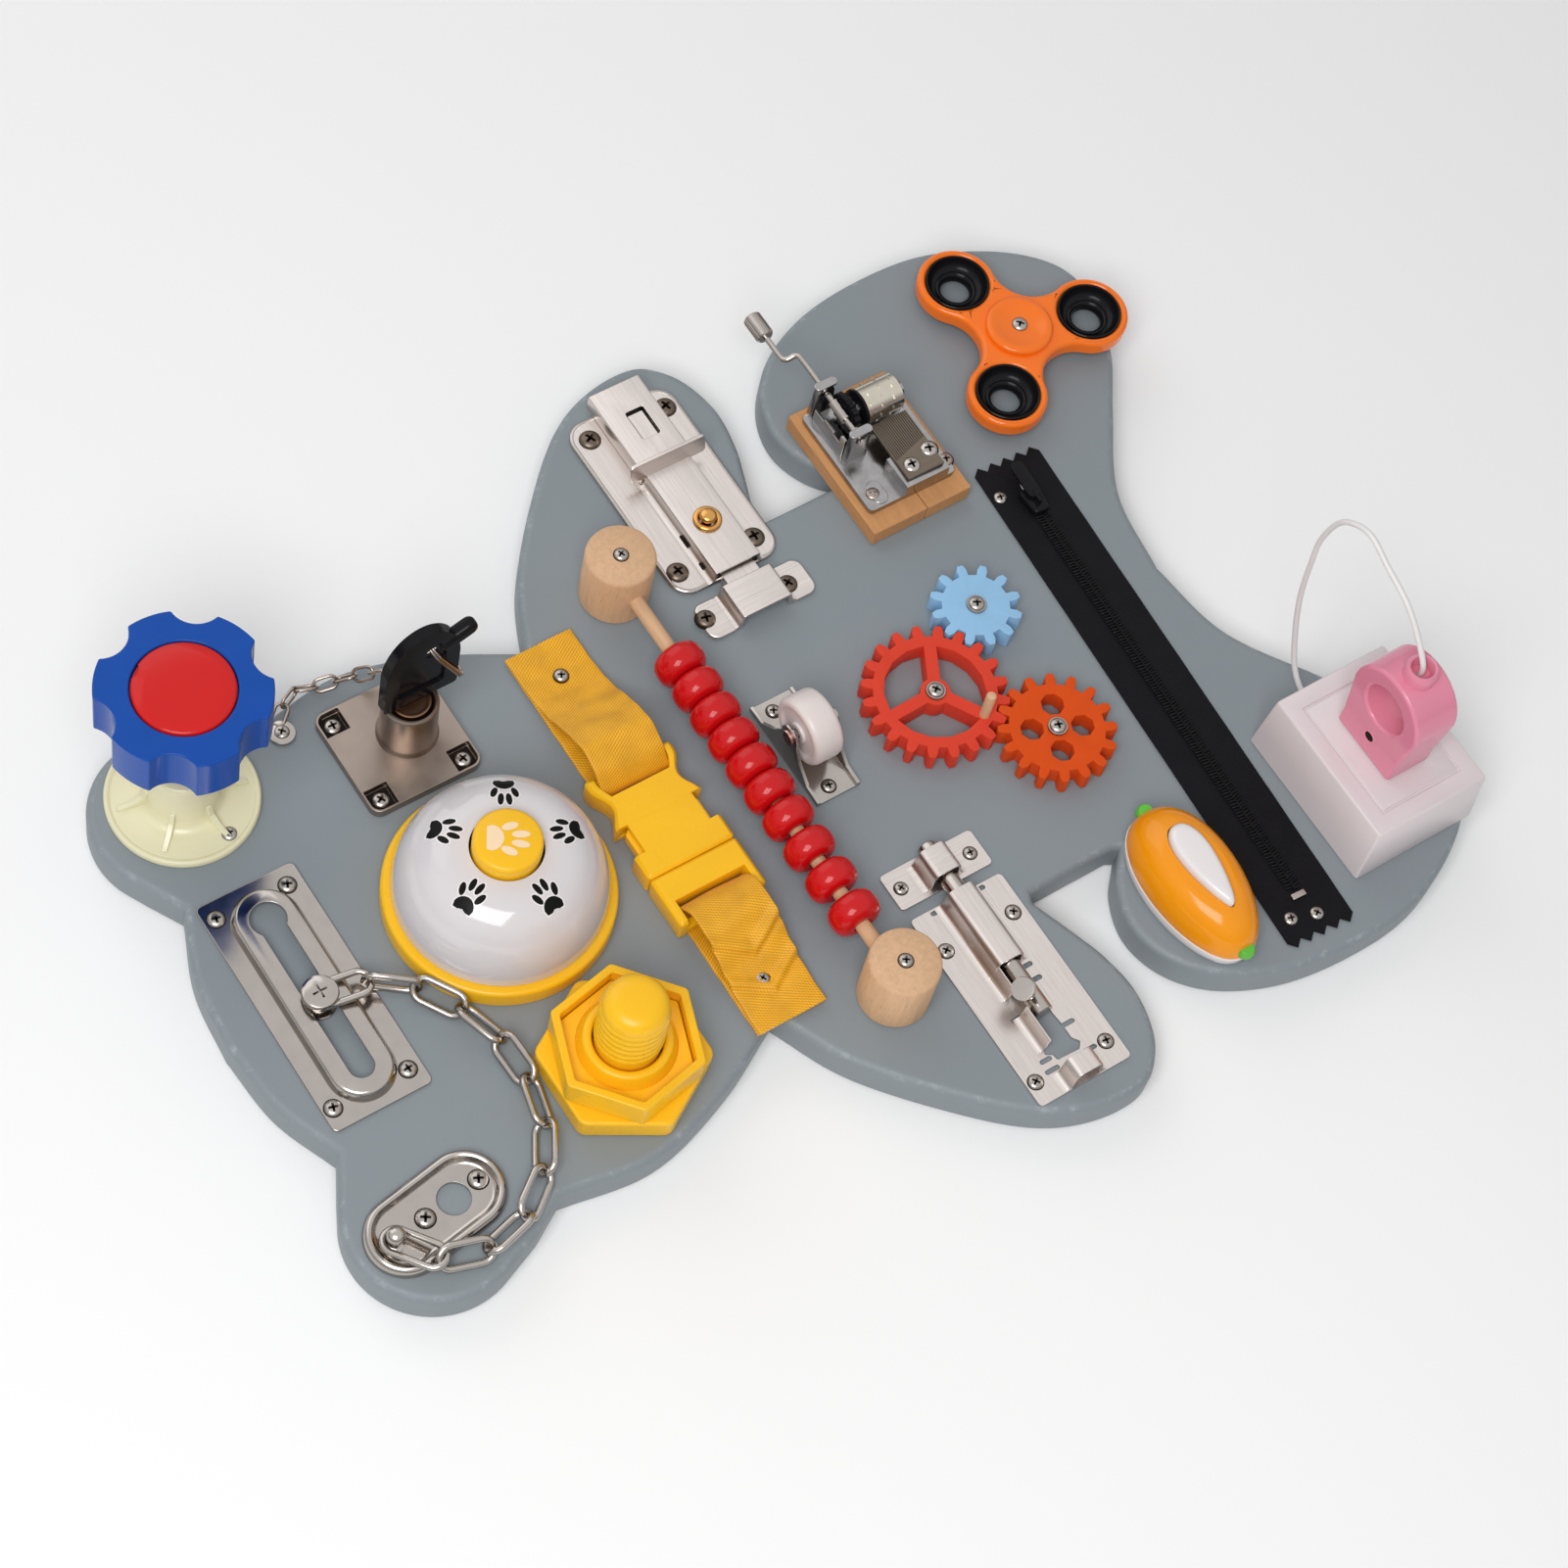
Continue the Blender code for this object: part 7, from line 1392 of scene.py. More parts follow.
class BUSYBOARD_OT_latch(Operator):
    """Adds the spring latch, its push and its keeper"""
    bl_idname = "busy_board.latch"
    bl_label = "Spring latch"

    def execute(self, context):
        at = on_board(105.2, -26.9)
        # The bolt runs this far from the plate's middle, and the push button stands this far along it.
        line_y, push_x = -1.55, -18.4
        line = at + mm(0.0, line_y)
        plate = slab(round_over(rectangle(75.9, 42.1), 7.5, 10), 0.3, 2.0)
        way = slab(rectangle(90.0, 13.6, (6.6, line_y)), 1.0, 3.0)
        piece("latch_case", cut_away(plate, way), "steel", at=at, cad="latch_plate", edge=0.75,
              segments=5)
        rim = pipe([[at + mm(x, y, 1.25) for x, y in round_over(rectangle(74.3, 40.5), 6.8, 10)]],
                   0.9 * MM, closed=True, sides=5)
        left = [(11.4, 1.95), (11.4, 2.15), (10.2, 2.35), (9.4, 3.0), (9.05, 4.2), (9.0, 6.6),
                (8.7, 7.25), (8.0, 7.5)]
        hollow = [(-9.4, 1.95), (-8.6, 2.6), (-8.15, 4.2), (-7.9, 6.6), (7.9, 6.6), (8.15, 4.2),
                  (8.6, 2.6), (9.4, 1.95)]
        housing = placed(slab([*mirrored(left), *hollow], -37.9, 6.2), turn=STAND_ALONG_X)
        housing = cut_away(housing, spun_cutter(3.3, 6.0, 9.0, (push_x, 0.0)))
        upright = [(9.0, 1.95), (9.0, 6.6), (8.7, 7.25), (8.0, 7.5)]
        inside = [(-8.1, 1.95), (-7.9, 6.6), (7.9, 6.6), (8.1, 1.95)]
        plain = placed(slab([*mirrored(upright), *inside], 6.0, 26.0), turn=STAND_ALONG_X)
        piece("latch_housing", gathered([housing, plain]), "steel", at=line, edge=0.12)
        piece("latch_rim", rim, "nickel")
        # Painted shade: thin dark strips at the housing's foot stand for the shade in its slits.
        slit_shades = [placed(slab(rectangle(long, 0.5), 2.2, 3.5), line + mm(x, y))
                 for x, y, long in ((-20.0, 9.75, 5.0), (-31.0, 9.75, 2.6), (-2.0, -9.75, 3.0))]
        piece("latch_slit_shades", gathered(slit_shades), "soot")
        tongue = slab(rectangle(93.9, 13.0, (-6.25, 0.0)), 1.15, 5.1)
        web = slab(rectangle(8.0, 12.8, (36.6, 0.0)), 4.9, 7.9)
        cover = [(10.2, 2.15), (10.2, 7.9), (9.9, 8.5), (9.3, 8.7)]
        under = [(-9.1, 2.15), (-9.1, 7.62), (9.1, 7.62), (9.1, 2.15)]
        cap = slab([*mirrored(cover), *under], 6.8, 41.8)
        placed(cap, turn=STAND_ALONG_X)
        cap = cut_away(cap, slab(round_over(rectangle(12.0, 7.0, (24.3, -1.0)), 0.8, 4), 7.0, 10.0))
        tab = slab(round_over(rectangle(30.0, 7.6, (0.0, 10.2)), 1.6, 6), 5.3, 6.9)
        placed(tab, turn=STAND_ALONG_X)
        hinge = Matrix.Translation((6.0 * MM, 0.0, 7.2 * MM))
        placed(tab, (0.4 * MM, 0.0, 0.0), hinge @ turned(15.0, "Y") @ hinge.inverted())
        piece("latch_tongue", gathered([tongue, web, cap]), "steel", "latch", at=line, cad="latch_bolt",
              edge=0.3, segments=3)
        piece("latch_tab", tab, "steel_across", "latch", at=line, edge=0.6, segments=5)
        flap = slab(rectangle(10.6, 5.8, (23.5, -0.5)), 7.64, 8.55)
        piece("latch_flap", flap, "steel", "latch", at=line, edge=0.15)
        # Painted shade: dark strips lie along two edges of the flap, in the gap where shade falls.
        shade_strip = gathered([slab(rectangle(1.1, 6.8, (29.5, -1.0)), 7.63, 7.75),
                                slab(rectangle(11.6, 0.9, (24.2, -3.9)), 7.63, 7.75)])
        piece("latch_gap_shade", shade_strip, "soot", "latch", at=line)
        feet = [slab(round_over(rectangle(14.5, 12.0, (0.0, side * 15.5)), 3.8, 8), 0.3, 2.0)
                for side in (-1.0, 1.0)]
        arch = [(12.4, 0.5), (12.4, 2.0), (11.2, 2.3), (10.4, 3.2), (10.1, 4.6), (9.9, 6.4), (9.4, 7.2),
                (8.4, 7.5)]
        hollow = [(-9.2, 0.5), (-9.0, 3.4), (-8.8, 6.2), (8.8, 6.2), (9.0, 3.4), (9.2, 0.5)]
        bridge = slab([*mirrored(arch), *hollow], -6.9, 6.9)
        placed(bridge, turn=STAND_ALONG_X)
        strike_at = line + mm(-49.7, 0.0)
        piece("latch_strike", gathered(feet), "steel_across", at=strike_at, cad="latch_keeper", edge=0.8,
              segments=5)
        piece("latch_bridge", bridge, "steel_across", at=strike_at, edge=0.3, segments=3)
        spot = middle("latch_button")
        low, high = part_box("latch_button")
        base = (low.z - BOARD_TOP) / MM
        top = (high.z - BOARD_TOP) / MM
        push = spun([(0.0, base), (2.0, base), (2.0, top - 3.2), (2.4, top - 3.0), (2.85, top - 2.3),
                     (3.0, top - 1.6), (2.8, top - 0.8), (2.2, top - 0.3), (1.2, top - 0.05), (0.0, top)],
                    56)
        collar = spun([(3.15, 7.45), (4.9, 7.45), (5.1, 7.7), (5.0, 8.3), (4.5, 8.8), (3.8, 8.9),
                       (3.3, 8.7), (3.15, 8.3)], 56, True)
        piece("latch_collar", collar, "brass", at=line + mm(push_x, 0.0))
        piece("latch_push_knob", push, "brass", "latch_push", at=Vector((spot.x, spot.y, BOARD_TOP)),
              cad="latch_button")
        return {"FINISHED"}


def pressed_hump(half=False):
    """The section of a pressed sleeve, across and up: a flat back whose feet flow out into the plate."""
    outer = [(8.8, 0.9), (8.8, 1.2), (7.5, 1.4), (6.5, 2.0), (5.9, 3.0), (5.5, 4.6), (5.3, 7.2),
             (4.9, 8.6), (4.0, 9.5), (2.8, 9.8)]
    inner = [(2.8, 8.9), (4.0, 8.2), (4.5, 6.8), (4.7, 4.6), (5.1, 2.6), (5.8, 0.9)]
    if half:
        return [*outer[:7], (5.1, 8.0), (4.6, 7.9), *inner[2:]]
    return [*mirrored(outer), *[(-x, z) for x, z in reversed(inner)], *inner]


class BUSYBOARD_OT_barrel_bolt(Operator):
    """Adds the barrel bolt with its rod and keeper"""
    bl_idname = "busy_board.barrel_bolt"
    bl_label = "Barrel bolt"

    def execute(self, context):
        at = on_board(-107.8, -25.1)
        window = [(7.5, -4.2), (7.5, 2.0), (-12.5, 2.0), (-14.5, 5.2), (-23.5, 6.4), (-24.6, 4.4),
                  (-26.8, 4.0), (-27.2, -4.6), (-25.0, -6.4), (-22.6, -4.6), (-16.5, -4.6), (-13.0, -4.2)]
        plate = slab(round_over(rectangle(75.1, 36.2), 1.6, 6), 0.3, 1.2)
        plate = cut_away(plate, slab(round_over(list(reversed(window)), 0.5, 3), -1.0, 3.0))
        for x, y, long, wide in ((36.0, 7.6, 1.7, 6.4), (36.0, -7.6, 1.7, 6.4), (5.6, -6.2, 1.8, 5.0),
                                 (0.2, -6.2, 1.8, 5.0), (-8.4, 7.2, 1.7, 4.6), (-17.8, -6.6, 1.7, 5.0),
                                 (-28.8, 7.4, 1.7, 5.6), (-28.8, -7.4, 1.7, 5.6), (-25.0, 7.4, 1.7, 4.6)):
            notch = slab(stadium(wide, long, 8), -1.0, 3.0)
            plate = cut_away(plate, placed(notch, (x * MM, y * MM, 0.0), turned(90.0)))
        piece("bolt_case", plate, "steel", at=at, cad="bolt_plate", edge=0.15)
        sleeve = slab(pressed_hump(), 7.6, 37.2)
        half_sleeve = gathered([slab(pressed_hump(True), -1.4, 7.7),
                                slab(pressed_hump(True), -22.0, -8.2)])
        staple = slab(pressed_hump(), -37.3, -30.2)
        piece("bolt_sleeve", gathered([sleeve, half_sleeve, staple]), "steel", at=at, turn=STAND_ALONG_X,
              edge=0.25, segments=3)
        strike = slab(round_over(rectangle(14.0, 36.5), 1.6, 6), 0.3, 1.2)
        strike_at = at + mm(48.8, 0.0)
        piece("bolt_strike", strike, "steel_across", at=strike_at, cad="bolt_keeper", edge=0.15)
        loop = slab(pressed_hump(), -5.2, 5.2)
        piece("bolt_loop", loop, "steel_across", at=strike_at, turn=STAND_ALONG_X, edge=0.25, segments=3)
        rod = placed(spun([(0.0, -12.2), (3.1, -12.2), (3.4, -11.9), (3.4, 55.6), (3.0, 56.4),
                           (0.0, 56.8)], 48), turn=turned(90.0, "Y"))
        stem = cylinder(1.8, 0.0, 8.4, 24)
        knob = spun([(0.0, 7.8), (3.7, 7.8), (4.0, 8.1), (4.0, 10.0), (3.8, 10.25), (3.3, 10.3),
                     (0.0, 10.3)], 48)
        handle = placed(gathered([stem, knob]), (-4.2 * MM, 0.0, 0.0), turned(-30.0, "X"))
        piece("bolt_bar", gathered([rod, handle]), "nickel", "bolt", at=at + mm(0.0, 0.0, 5.1),
              cad="bolt_rod")
        return {"FINISHED"}


# The paint of each gear with its solid's colour and its place.
GEARS = {"coral": ("red", -6.2, -59.5), "sky": ("blue", 14.8, -90.7),
         "tangerine": ("orange", -37.3, -88.1)}


class BUSYBOARD_OT_gears(Operator):
    """Adds the three painted gears and the peg on the large one"""
    bl_idname = "busy_board.gears"
    bl_label = "Gears"

    def execute(self, context):
        for paint, (colour, x, y) in GEARS.items():
            from_cad("gear_" + paint, "gear_" + colour, paint, colour + "_gear", 0.35, 3)
        colour, x, y = GEARS["coral"]
        across, along = polar(18.0, -148.0)
        peg = spun([(0.0, 7.6), (1.75, 7.6), (1.75, 20.4), (1.5, 20.9), (0.8, 21.15), (0.0, 21.2)], 32)
        piece("gear_peg", peg, "beech", "red_gear", at=on_board(x + across, y + along))
        for paint, (colour, x, y) in GEARS.items():
            collar = spun([(0.0, 0.2), (2.4, 0.2), (2.4, 8.15), (3.5, 8.15), (3.5, 8.6), (3.3, 8.9),
                           (0.0, 8.9)], 40)
            piece(f"gear_{paint}_washer", collar, "zinc", at=on_board(x, y))
        return {"FINISHED"}


class BUSYBOARD_OT_music_box(Operator):
    """Adds the hand-cranked music movement on its base"""
    bl_idname = "busy_board.music_box"
    bl_label = "Music box"

    def execute(self, context):
        at = on_board(81.70, -96.20)
        for name, wide, off in (("left", 22.2, 9.2), ("right", 18.2, -11.2)):
            plank = slab(round_over(rectangle(54.0, wide, (0.0, off)), 0.6, 4), 0.3, 7.5)
            piece("music_box_plank_" + name, plank, "bamboo", at=at,
                  cad="music_base" if name == "left" else None, edge=0.5, segments=3)
        from_cad("movement_frame", "music_frame", "zinc_cast", edge=0.45, segments=3)
        from_cad("movement_comb", "music_comb", "comb", edge=0.0)
        wall = slab([(3.2, 10.0), (21.0, 10.0), (21.0, 15.5), (15.5, 15.5), (15.5, 17.0), (9.5, 17.0),
                     (9.5, 15.5), (6.0, 15.5), (6.0, 19.5), (3.2, 19.5)], 13.4, 14.8)
        placed(wall, turn=turned(90.0, "X") @ Matrix.Translation((0.0, 0.0, -28.2 * MM)))
        caps = []
        for x in (1.3, 23.0):
            cap = slab(stadium(9.0, 3.4, 12), 25.0, 26.3)
            caps.append(placed(cap, (x * MM, 10.6 * MM, 0.0), turned(90.0)))
        foot = slab(stadium(9.6, 5.6, 12), 9.9, 10.7)
        placed(foot, (-14.6 * MM, 11.6 * MM, 0.0))
        piece("movement_wall", gathered([wall, *caps, foot]), "zinc_cast", at=at, edge=0.35, segments=3)
        drum_at = at + mm(13.3, 0.0, 18.5)
        roll = spun([(0.0, -12.8), (6.1, -12.8), (6.5, -12.5), (6.5, 1.9), (6.1, 2.2), (0.0, 2.2)], 72)
        axle = cylinder(1.3, -14.6, 8.3, 24)
        wheel_end = (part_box("music_drum")[1].y - at.y) / MM
        teeth = [polar(7.6 if number % 4 in (1, 2) else 6.9, 360.0 * number / 64) for number in range(64)]
        wheel = slab(teeth, wheel_end - 2.2, wheel_end)
        pins = []
        for number in range(96):
            turn = 360.0 * ((number * 0.381966) % 1.0)
            along = -12.2 + 13.6 * ((number * 7) % 17) / 16.0
            pin = spun([(0.0, 6.3), (0.16, 6.3), (0.16, 7.0), (0.0, 7.05)], 6)
            pins.append(placed(pin, mm(0.0, 0.0, along), turned(turn) @ turned(90.0, "Y")))
        whole = gathered([roll, axle, *pins])
        flange = spun([(1.2, 2.15), (6.9, 2.15), (6.9, 3.0), (5.0, 3.4), (1.2, 3.4)], 48, True)
        dark = gathered([wheel, flange])
        # The shapes above stand along Z, and lie down along Y here.
        placed(whole, drum_at, turned(-90.0, "X"))
        piece("movement_gear", dark, "coil", "drum", at=drum_at, turn=turned(-90.0, "X"))
        piece("movement_drum", whole, "drum", "drum", cad="music_drum")
        axis = at + mm(0.0, 10.6, 22.0)
        # The crank's handle stands off its axis by this much.
        throw = (4.9, -2.2)
        bend = [mm(*point) for point in (
            (-1.2, 0.0, 0.0), (8.0, 0.0, 0.0), (20.0, 0.0, 0.0), (36.4, 0.0, 0.0), (39.0, 0.3, -0.1),
            (40.0, 1.5, -0.7), (40.2, 3.4, -1.5), (41.2, 4.6, -2.1), (43.6, *throw),
            (48.0, *throw), (51.9, *throw))]
        rod = pipe([[axis + point for point in smooth_curve(bend, 70)]], 1.05 * MM, sides=16)
        collars = [cylinder(reach, low, high, 32)
                   for low, high, reach in ((-1.25, -0.2, 2.1), (2.9, 4.4, 1.9), (9.3, 17.3, 1.9),
                                            (24.6, 25.8, 1.9))]
        handle = spun([(0.0, 51.6), (2.6, 51.6), (3.1, 52.1), (3.1, 60.8), (2.8, 61.1), (2.3, 61.15),
                       (1.9, 60.7), (0.0, 60.7)], 40)
        ribs = [placed(slab(rectangle(0.5, 0.3, (3.1, 0.0)), 52.6, 60.6), turn=turned(15.0 * number))
                for number in range(24)]
        grip = placed(gathered([handle, *ribs]), mm(0.0, *throw), turned(90.0, "Y"))
        fixed = placed(gathered(collars), turn=turned(90.0, "Y"))
        piece("movement_crank", gathered([rod, placed(gathered([grip, fixed]), axis)]), "nickel", "crank",
              cad="music_crank")
        return {"FINISHED"}


SPINNER_AT = (100.0, -167.5)


class BUSYBOARD_OT_spinner(Operator):
    """Adds the finger spinner on its fixed hub"""
    bl_idname = "busy_board.spinner"
    bl_label = "Finger spinner"

    def execute(self, context):
        at = on_board(*SPINNER_AT)
        # The lobes stand this far out, and a hollow between two lobes comes this near to the middle.
        arm, lobe, waist, swing = 27.5, 14.3, 15.0, 17.6
        hollow = (lobe ** 2 - waist ** 2 - arm ** 2 + waist * arm) / (2 * waist - arm - 2 * lobe)
        centre = waist + hollow
        touch = math.degrees(math.atan2(centre * math.sin(math.radians(60.0)), centre * 0.5 - arm))
        outline, holes = [], [ring_of(7.0, 48)]
        for number in range(3):
            lobe_at = polar(arm, 120.0 * number)
            outline += arc(lobe_at, lobe, 120.0 * number - touch, 120.0 * number + touch, 48)
            outline += arc(polar(centre, 120.0 * number + 60.0), hollow,
                           120.0 * number + touch + 180.0, 120.0 * number + 300.0 - touch, 20)[1:-1]
            holes.append(ring_of(11.3, 64, lobe_at))
        body = slab(outline, 3.0, 10.2, holes)
        piece("spinner_arms", body, "orange", "spinner", at=at, turn=turned(swing), cad="spinner_body",
              edge=1.9, segments=6)
        cups = []
        for number in range(3):
            cup = spun([(5.2, 3.2), (11.4, 3.2), (11.4, 10.0), (11.1, 10.2), (10.7, 10.0), (10.3, 8.6),
                        (9.4, 6.9), (8.2, 5.9), (7.4, 5.8), (7.2, 6.3), (6.6, 6.5), (6.0, 6.2),
                        (5.4, 5.2), (5.2, 4.8)], 72, True)
            cups.append(placed(cup, mm(*polar(arm, 120.0 * number + swing))))
        piece("spinner_cups", gathered(cups), "black", "spinner", at=at)
        hub = spun([(0.0, 0.3), (7.8, 0.3), (7.8, 2.7), (6.6, 2.7), (6.6, 10.5), (11.4, 10.5),
                    (12.0, 10.9), (12.0, 11.6), (11.6, 12.2), (10.8, 12.5), (9.2, 12.55), (8.6, 12.2),
                    (0.0, 12.2)], 72)
        piece("spinner_cap", hub, "orange", at=at, cad="spinner_hub")
        return {"FINISHED"}


class BUSYBOARD_OT_zip(Operator):
    """Adds the zip: woven tape, coil, slider and an end stop"""
    bl_idname = "busy_board.zip"
    bl_label = "Zip"

    def execute(self, context):
        cloth = context.scene.busy_cloth
        at = on_board(-40.0, -131.0)
        tilt = turned(-3.1)
        long, wide = 204.3, 26.5
        bm = bmesh.new()
        bmesh.ops.create_grid(bm, x_segments=80, y_segments=10, size=0.5)
        uv = bm.loops.layers.uv.new("cloth")
        for vert in bm.verts:
            across = vert.co.y
            along = vert.co.x * long
            if abs(vert.co.x) > 0.499:
                notch = abs((((across + 0.5) * 5.0) % 1.0) - 0.5) * 2.0
                along -= math.copysign(2.6 * notch, along)
            vert.co = mm(along, across * wide)
        for face in bm.faces:
            for corner in face.loops:
                corner[uv].uv = corner.vert.co.xy
        for vert in bm.verts:
            x, y = vert.co.x / MM, vert.co.y / MM
            ripple = 0.10 * math.sin(x * 0.21) * abs(y) / 13.0
            vert.co.z = (0.45 + max(0.0, ripple)) * MM
        bmesh.ops.solidify(bm, geom=bm.faces[:], thickness=-0.35 * MM)
        piece("zip_cloth", bm, "tape", at=at, turn=tilt, cad="zip_tape")
        pitch = cloth.tooth / MM
        half = long / 2 - 18.0
        routes = []
        for side in (-1.0, 1.0):
            route = []
            for number in range(int(2 * half / pitch)):
                x = -half + pitch * (number + 0.25 * (side + 1.0))
                for share, y, z in ((0.0, 2.3, 1.0), (0.16, 0.2, 0.9), (0.26, -0.6, 1.25),
                                    (0.36, -0.3, 1.7), (0.5, 1.2, 1.95), (0.75, 2.6, 1.6)):
                    route.append(mm(x + share * pitch, side * y, z))
            routes.append(route)
        piece("zip_coil", pipe(routes, 0.27 * MM, sides=1), "coil", at=at, turn=tilt)
        from_cad("zip_runner", "zip_slider", "black", "zip_pull", edge=0.35, segments=3)
        stop = slab(round_over(rectangle(2.2, 5.4, (-86.4, 0.4)), 0.5), 0.5, 2.4)
        piece("zip_stop", stop, "nickel", at=at, turn=tilt, edge=0.3)
        return {"FINISHED"}


class BUSYBOARD_OT_switch(Operator):
    """Adds the egg-shaped cord switch"""
    bl_idname = "busy_board.switch"
    bl_label = "Cord switch"

    def execute(self, context):
        at = on_board(-107.0, -94.8)

        def egg(long, half_wide, narrow):
            """An egg's outline at any size, its thin end at -X."""
            points = []
            for step in range(96):
                turn = 2 * math.pi * step / 96
                squeeze = narrow + (1.0 - narrow) * (math.cos(turn) + 1.0) / 2
                across = math.copysign(abs(math.sin(turn)) ** 0.9, math.sin(turn))
                points.append((long / 2 * math.cos(turn), half_wide * across * squeeze))
            return lambda size: [(x * size, y * size) for x, y in points]

        body, hole, key = egg(59.1, 17.2, 0.86), egg(33.8, 7.9, 0.43), egg(33.0, 7.5, 0.43)
        base = stacked(body, ((0.95, 0.3), (0.975, 0.9), (0.99, 2.6), (1.0, 4.9), (0.998, 5.2)))
        piece("switch_foot", base, "white", at=at, cad="switch_body", edge=0.2)
        shell = stacked(body, ((0.975, 5.1), (0.99, 5.6), (0.99, 7.4), (0.965, 10.4), (0.92, 13.0),
                               (0.855, 15.4), (0.775, 17.2), (0.69, 18.6), (0.60, 19.5), (0.52, 19.95),
                               (0.50, 20.0)))
        shell = cut_away(shell, stacked(hole, ((1.0, 9.6), (1.0, 26.0))))
        piece("switch_shell", shell, "amber", at=at, edge=0.25)
        button = stacked(key, ((1.0, 12.5), (1.0, 20.6), (0.985, 21.4), (0.95, 22.1), (0.88, 22.6),
                               (0.78, 22.9), (0.6, 23.0)))
        grips = [placed(stacked(lambda reach: ring_of(reach, 24),
                                ((2.6, 6.6), (3.0, 7.4), (3.0, 9.6), (2.4, 10.6))),
                        mm(end * 28.6, 0.0)) for end in (-1.0, 1.0)]
        piece("switch_grips", gathered(grips), "green", at=at, edge=0.2)
        piece("switch_key", button, "white", "switch_push", at=at, cad="switch_button")
        return {"FINISHED"}


# Each fitting's screws: the height of the heads' undersides, their size, their finish and their places.
SCREWS = (
    ("tap", 2.4, 0.9, "zinc", ((62.9, 168.3), (101.3, 180.4))),
    ("key_chain", 1.3, 0.9, "zinc", (KEY_TAB,)),
    ("lock", 1.45, 1.05, "zinc", [(65.8 + x, 104.5 + y) for x, y in LOCK_CORNERS]),
    ("slot_plate", 1.2, 1.0, "zinc", ((39.0, 186.5), (38.7, 161.0), (-34.8, 187.0), (-34.9, 160.3))),
    ("anchor", 1.6, 1.1, "zinc", ((-77.4, 160.5), (-80.3, 181.1))),
    ("strap", 3.7, 0.85, "zinc", ((60.7, 45.4),)),
    ("strap", 4.2, 0.85, "zinc", ((-64.7, 47.4),)),
    ("post_right", 25.0, 0.85, "zinc", ((80.8, RAIL_Y),)),
    ("post_left", 25.0, 0.85, "zinc", ((-88.6, RAIL_Y),)),
    ("caster", 1.2, 0.85, "zinc", ((16.4, -10.3), (-16.0, -11.1))),
    ("latch", 1.9, 1.32, "dark_screw", ((135.3, -12.5), (134.4, -42.6), (75.9, -41.1), (76.5, -10.7))),
    ("latch_keeper", 1.9, 1.2, "dark_screw", ((56.7, -9.3), (54.9, -41.2))),
    ("bolt", 1.2, 0.9, "zinc", ((-85.0, -11.3), (-84.3, -38.6), (-137.0, -38.7), (-137.4, -10.4))),
    ("bolt_keeper", 1.2, 0.8, "zinc", ((-59.0, -11.0), (-59.5, -38.4))),
    *(("gear_" + paint, 8.8, 1.0, "zinc", ((x, y),)) for paint, (colour, x, y) in GEARS.items()),
    ("comb", 15.9, 1.1, "nickel", ((70.6, -107.4), (68.0, -98.5))),
    ("movement", 10.0, 0.9, "satin_nickel", ((67.3, -83.0), (66.9, -113.3))),
    ("spinner", 12.1, 1.0, "zinc", (SPINNER_AT,)),
    ("zip", 0.7, 0.85, "zinc", ((48.8, -137.3), (49.0, -126.2), (-131.8, -118.9), (-134.5, -127.9))))


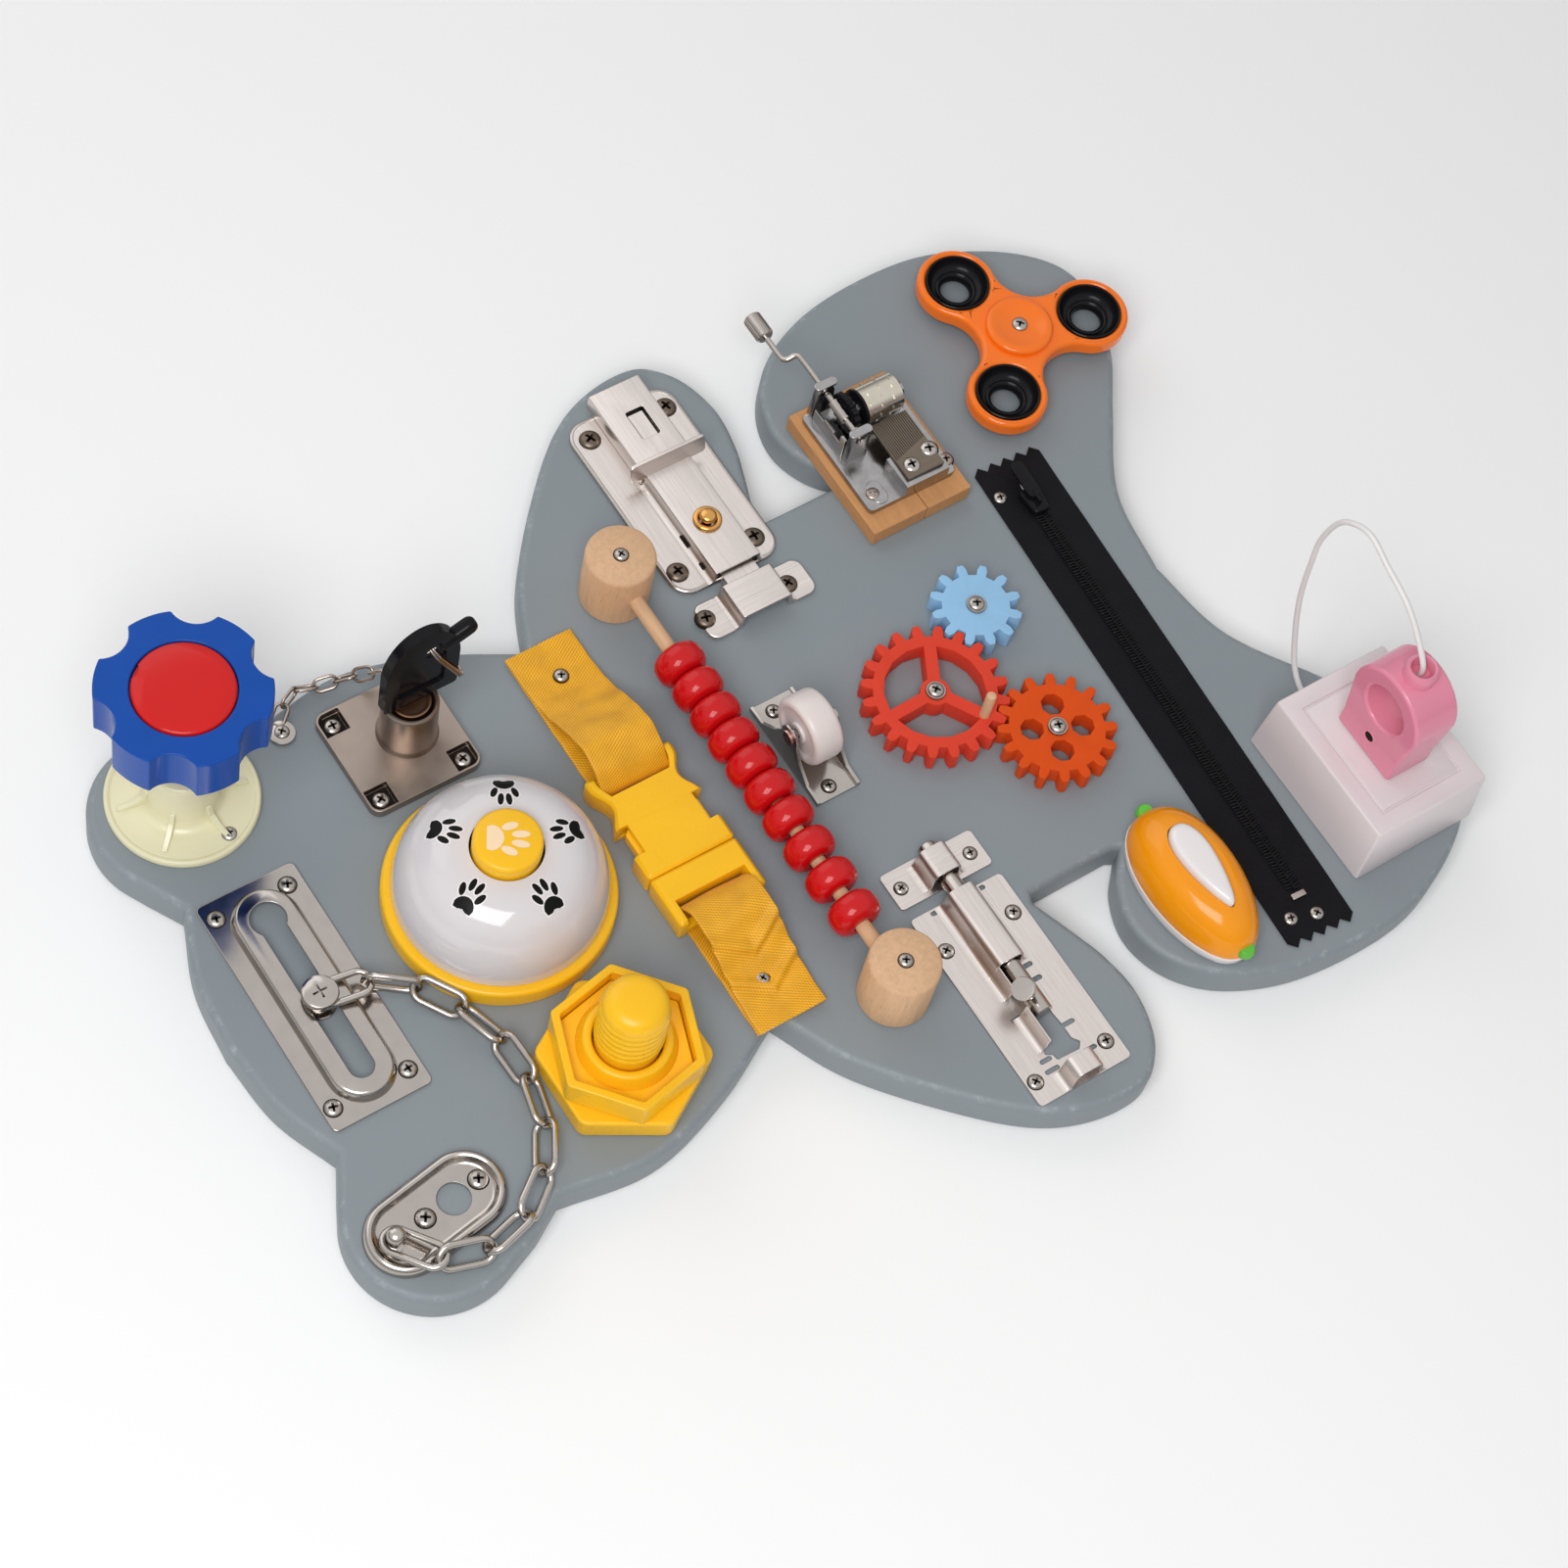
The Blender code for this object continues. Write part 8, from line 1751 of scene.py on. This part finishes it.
class BUSYBOARD_OT_screws(Operator):
    """Adds the cross-head screws of every fitting, with painted shade in their recesses and round their
    heads
    """
    bl_idname = "busy_board.screws"
    bl_label = "Screws"

    def execute(self, context):
        sizes = context.scene.busy_screws
        r, high = sizes.head_r / MM, sizes.head_high / MM
        arm, wide = sizes.arm / MM, sizes.arm_wide / MM
        head = spun([(0.0, -0.4), (r * 0.96, -0.4), (r, 0.0), (r * 0.98, high * 0.25),
                     (r * 0.86, high * 0.62), (r * 0.6, high * 0.88), (r * 0.3, high * 0.98),
                     (0.0, high)], 40)
        for bar in cross_recess(arm, wide, high * 0.1, high + 0.5):
            head = cut_away(head, bar)
        # Painted shade: dark marks lie in the recess and in a ring round the head, where shade falls.
        shade_marks = [spun([(r * 0.9, -0.3), (r * 1.12, -0.3), (r * 1.10, 0.06), (r * 0.9, 0.10)], 40, True)]
        for turn in (0.0, 90.0):
            shade_marks.append(placed(slab(rectangle(2 * arm, wide * 1.2), high * 0.05, high * 0.42),
                               turn=turned(turn)))
        shade_marks = gathered(shade_marks)
        groups = {}
        for fitting, above, size, finish_name, places in SCREWS:
            for x, y in places:
                for master, kind in ((head, finish_name), (shade_marks, "soot")):
                    one = master.copy()
                    bmesh.ops.scale(one, vec=(size, size, size), verts=one.verts[:])
                    placed(one, on_board(x, y, above), turned((x * 37.0 + y * 53.0) % 90.0))
                    groups.setdefault((fitting, kind), []).append(one)
        for (fitting, kind), shapes in groups.items():
            piece(fitting + ("_screw_shade" if kind == "soot" else "_screws"), gathered(shapes), kind)
        head.free()
        shade_marks.free()
        return {"FINISHED"}


FITTINGS = (BUSYBOARD_OT_finishes, BUSYBOARD_OT_stage, BUSYBOARD_OT_board, BUSYBOARD_OT_cord,
            BUSYBOARD_OT_tap, BUSYBOARD_OT_lock, BUSYBOARD_OT_door_chain, BUSYBOARD_OT_bell,
            BUSYBOARD_OT_toy_bolt, BUSYBOARD_OT_buckle, BUSYBOARD_OT_beads, BUSYBOARD_OT_caster,
            BUSYBOARD_OT_latch, BUSYBOARD_OT_barrel_bolt, BUSYBOARD_OT_gears, BUSYBOARD_OT_music_box,
            BUSYBOARD_OT_spinner, BUSYBOARD_OT_zip, BUSYBOARD_OT_switch, BUSYBOARD_OT_screws)


class BUSYBOARD_PT_panel(Panel):
    """The board's fittings, one button each"""
    bl_label = "Busy board"
    bl_idname = "BUSYBOARD_PT_panel"
    bl_space_type = "VIEW_3D"
    bl_region_type = "UI"
    bl_category = "Busy board"

    def draw(self, context):
        for operator in FITTINGS:
            self.layout.operator(operator.bl_idname)
        for group in (context.scene.busy_colours, context.scene.busy_screws, context.scene.busy_cloth,
                      context.scene.busy_chains, context.scene.busy_stage):
            column = self.layout.column()
            for name in group.__annotations__:
                column.prop(group, name)


GROUPS = {"busy_colours": BoardColours, "busy_screws": ScrewSizes, "busy_cloth": ClothSizes,
          "busy_chains": ChainSizes, "busy_stage": StageSettings}


def register():
    for group in (*GROUPS.values(), *FITTINGS, BUSYBOARD_PT_panel):
        bpy.utils.register_class(group)
    for name, group in GROUPS.items():
        setattr(bpy.types.Scene, name, PointerProperty(type=group))


def unregister():
    for name in GROUPS:
        delattr(bpy.types.Scene, name)
    for group in (BUSYBOARD_PT_panel, *reversed(FITTINGS), *GROUPS.values()):
        bpy.utils.unregister_class(group)


def main():
    register()
    for operator in FITTINGS:
        family, name = operator.bl_idname.split(".")
        getattr(getattr(bpy.ops, family), name)()


if __name__ == "__main__":
    main()
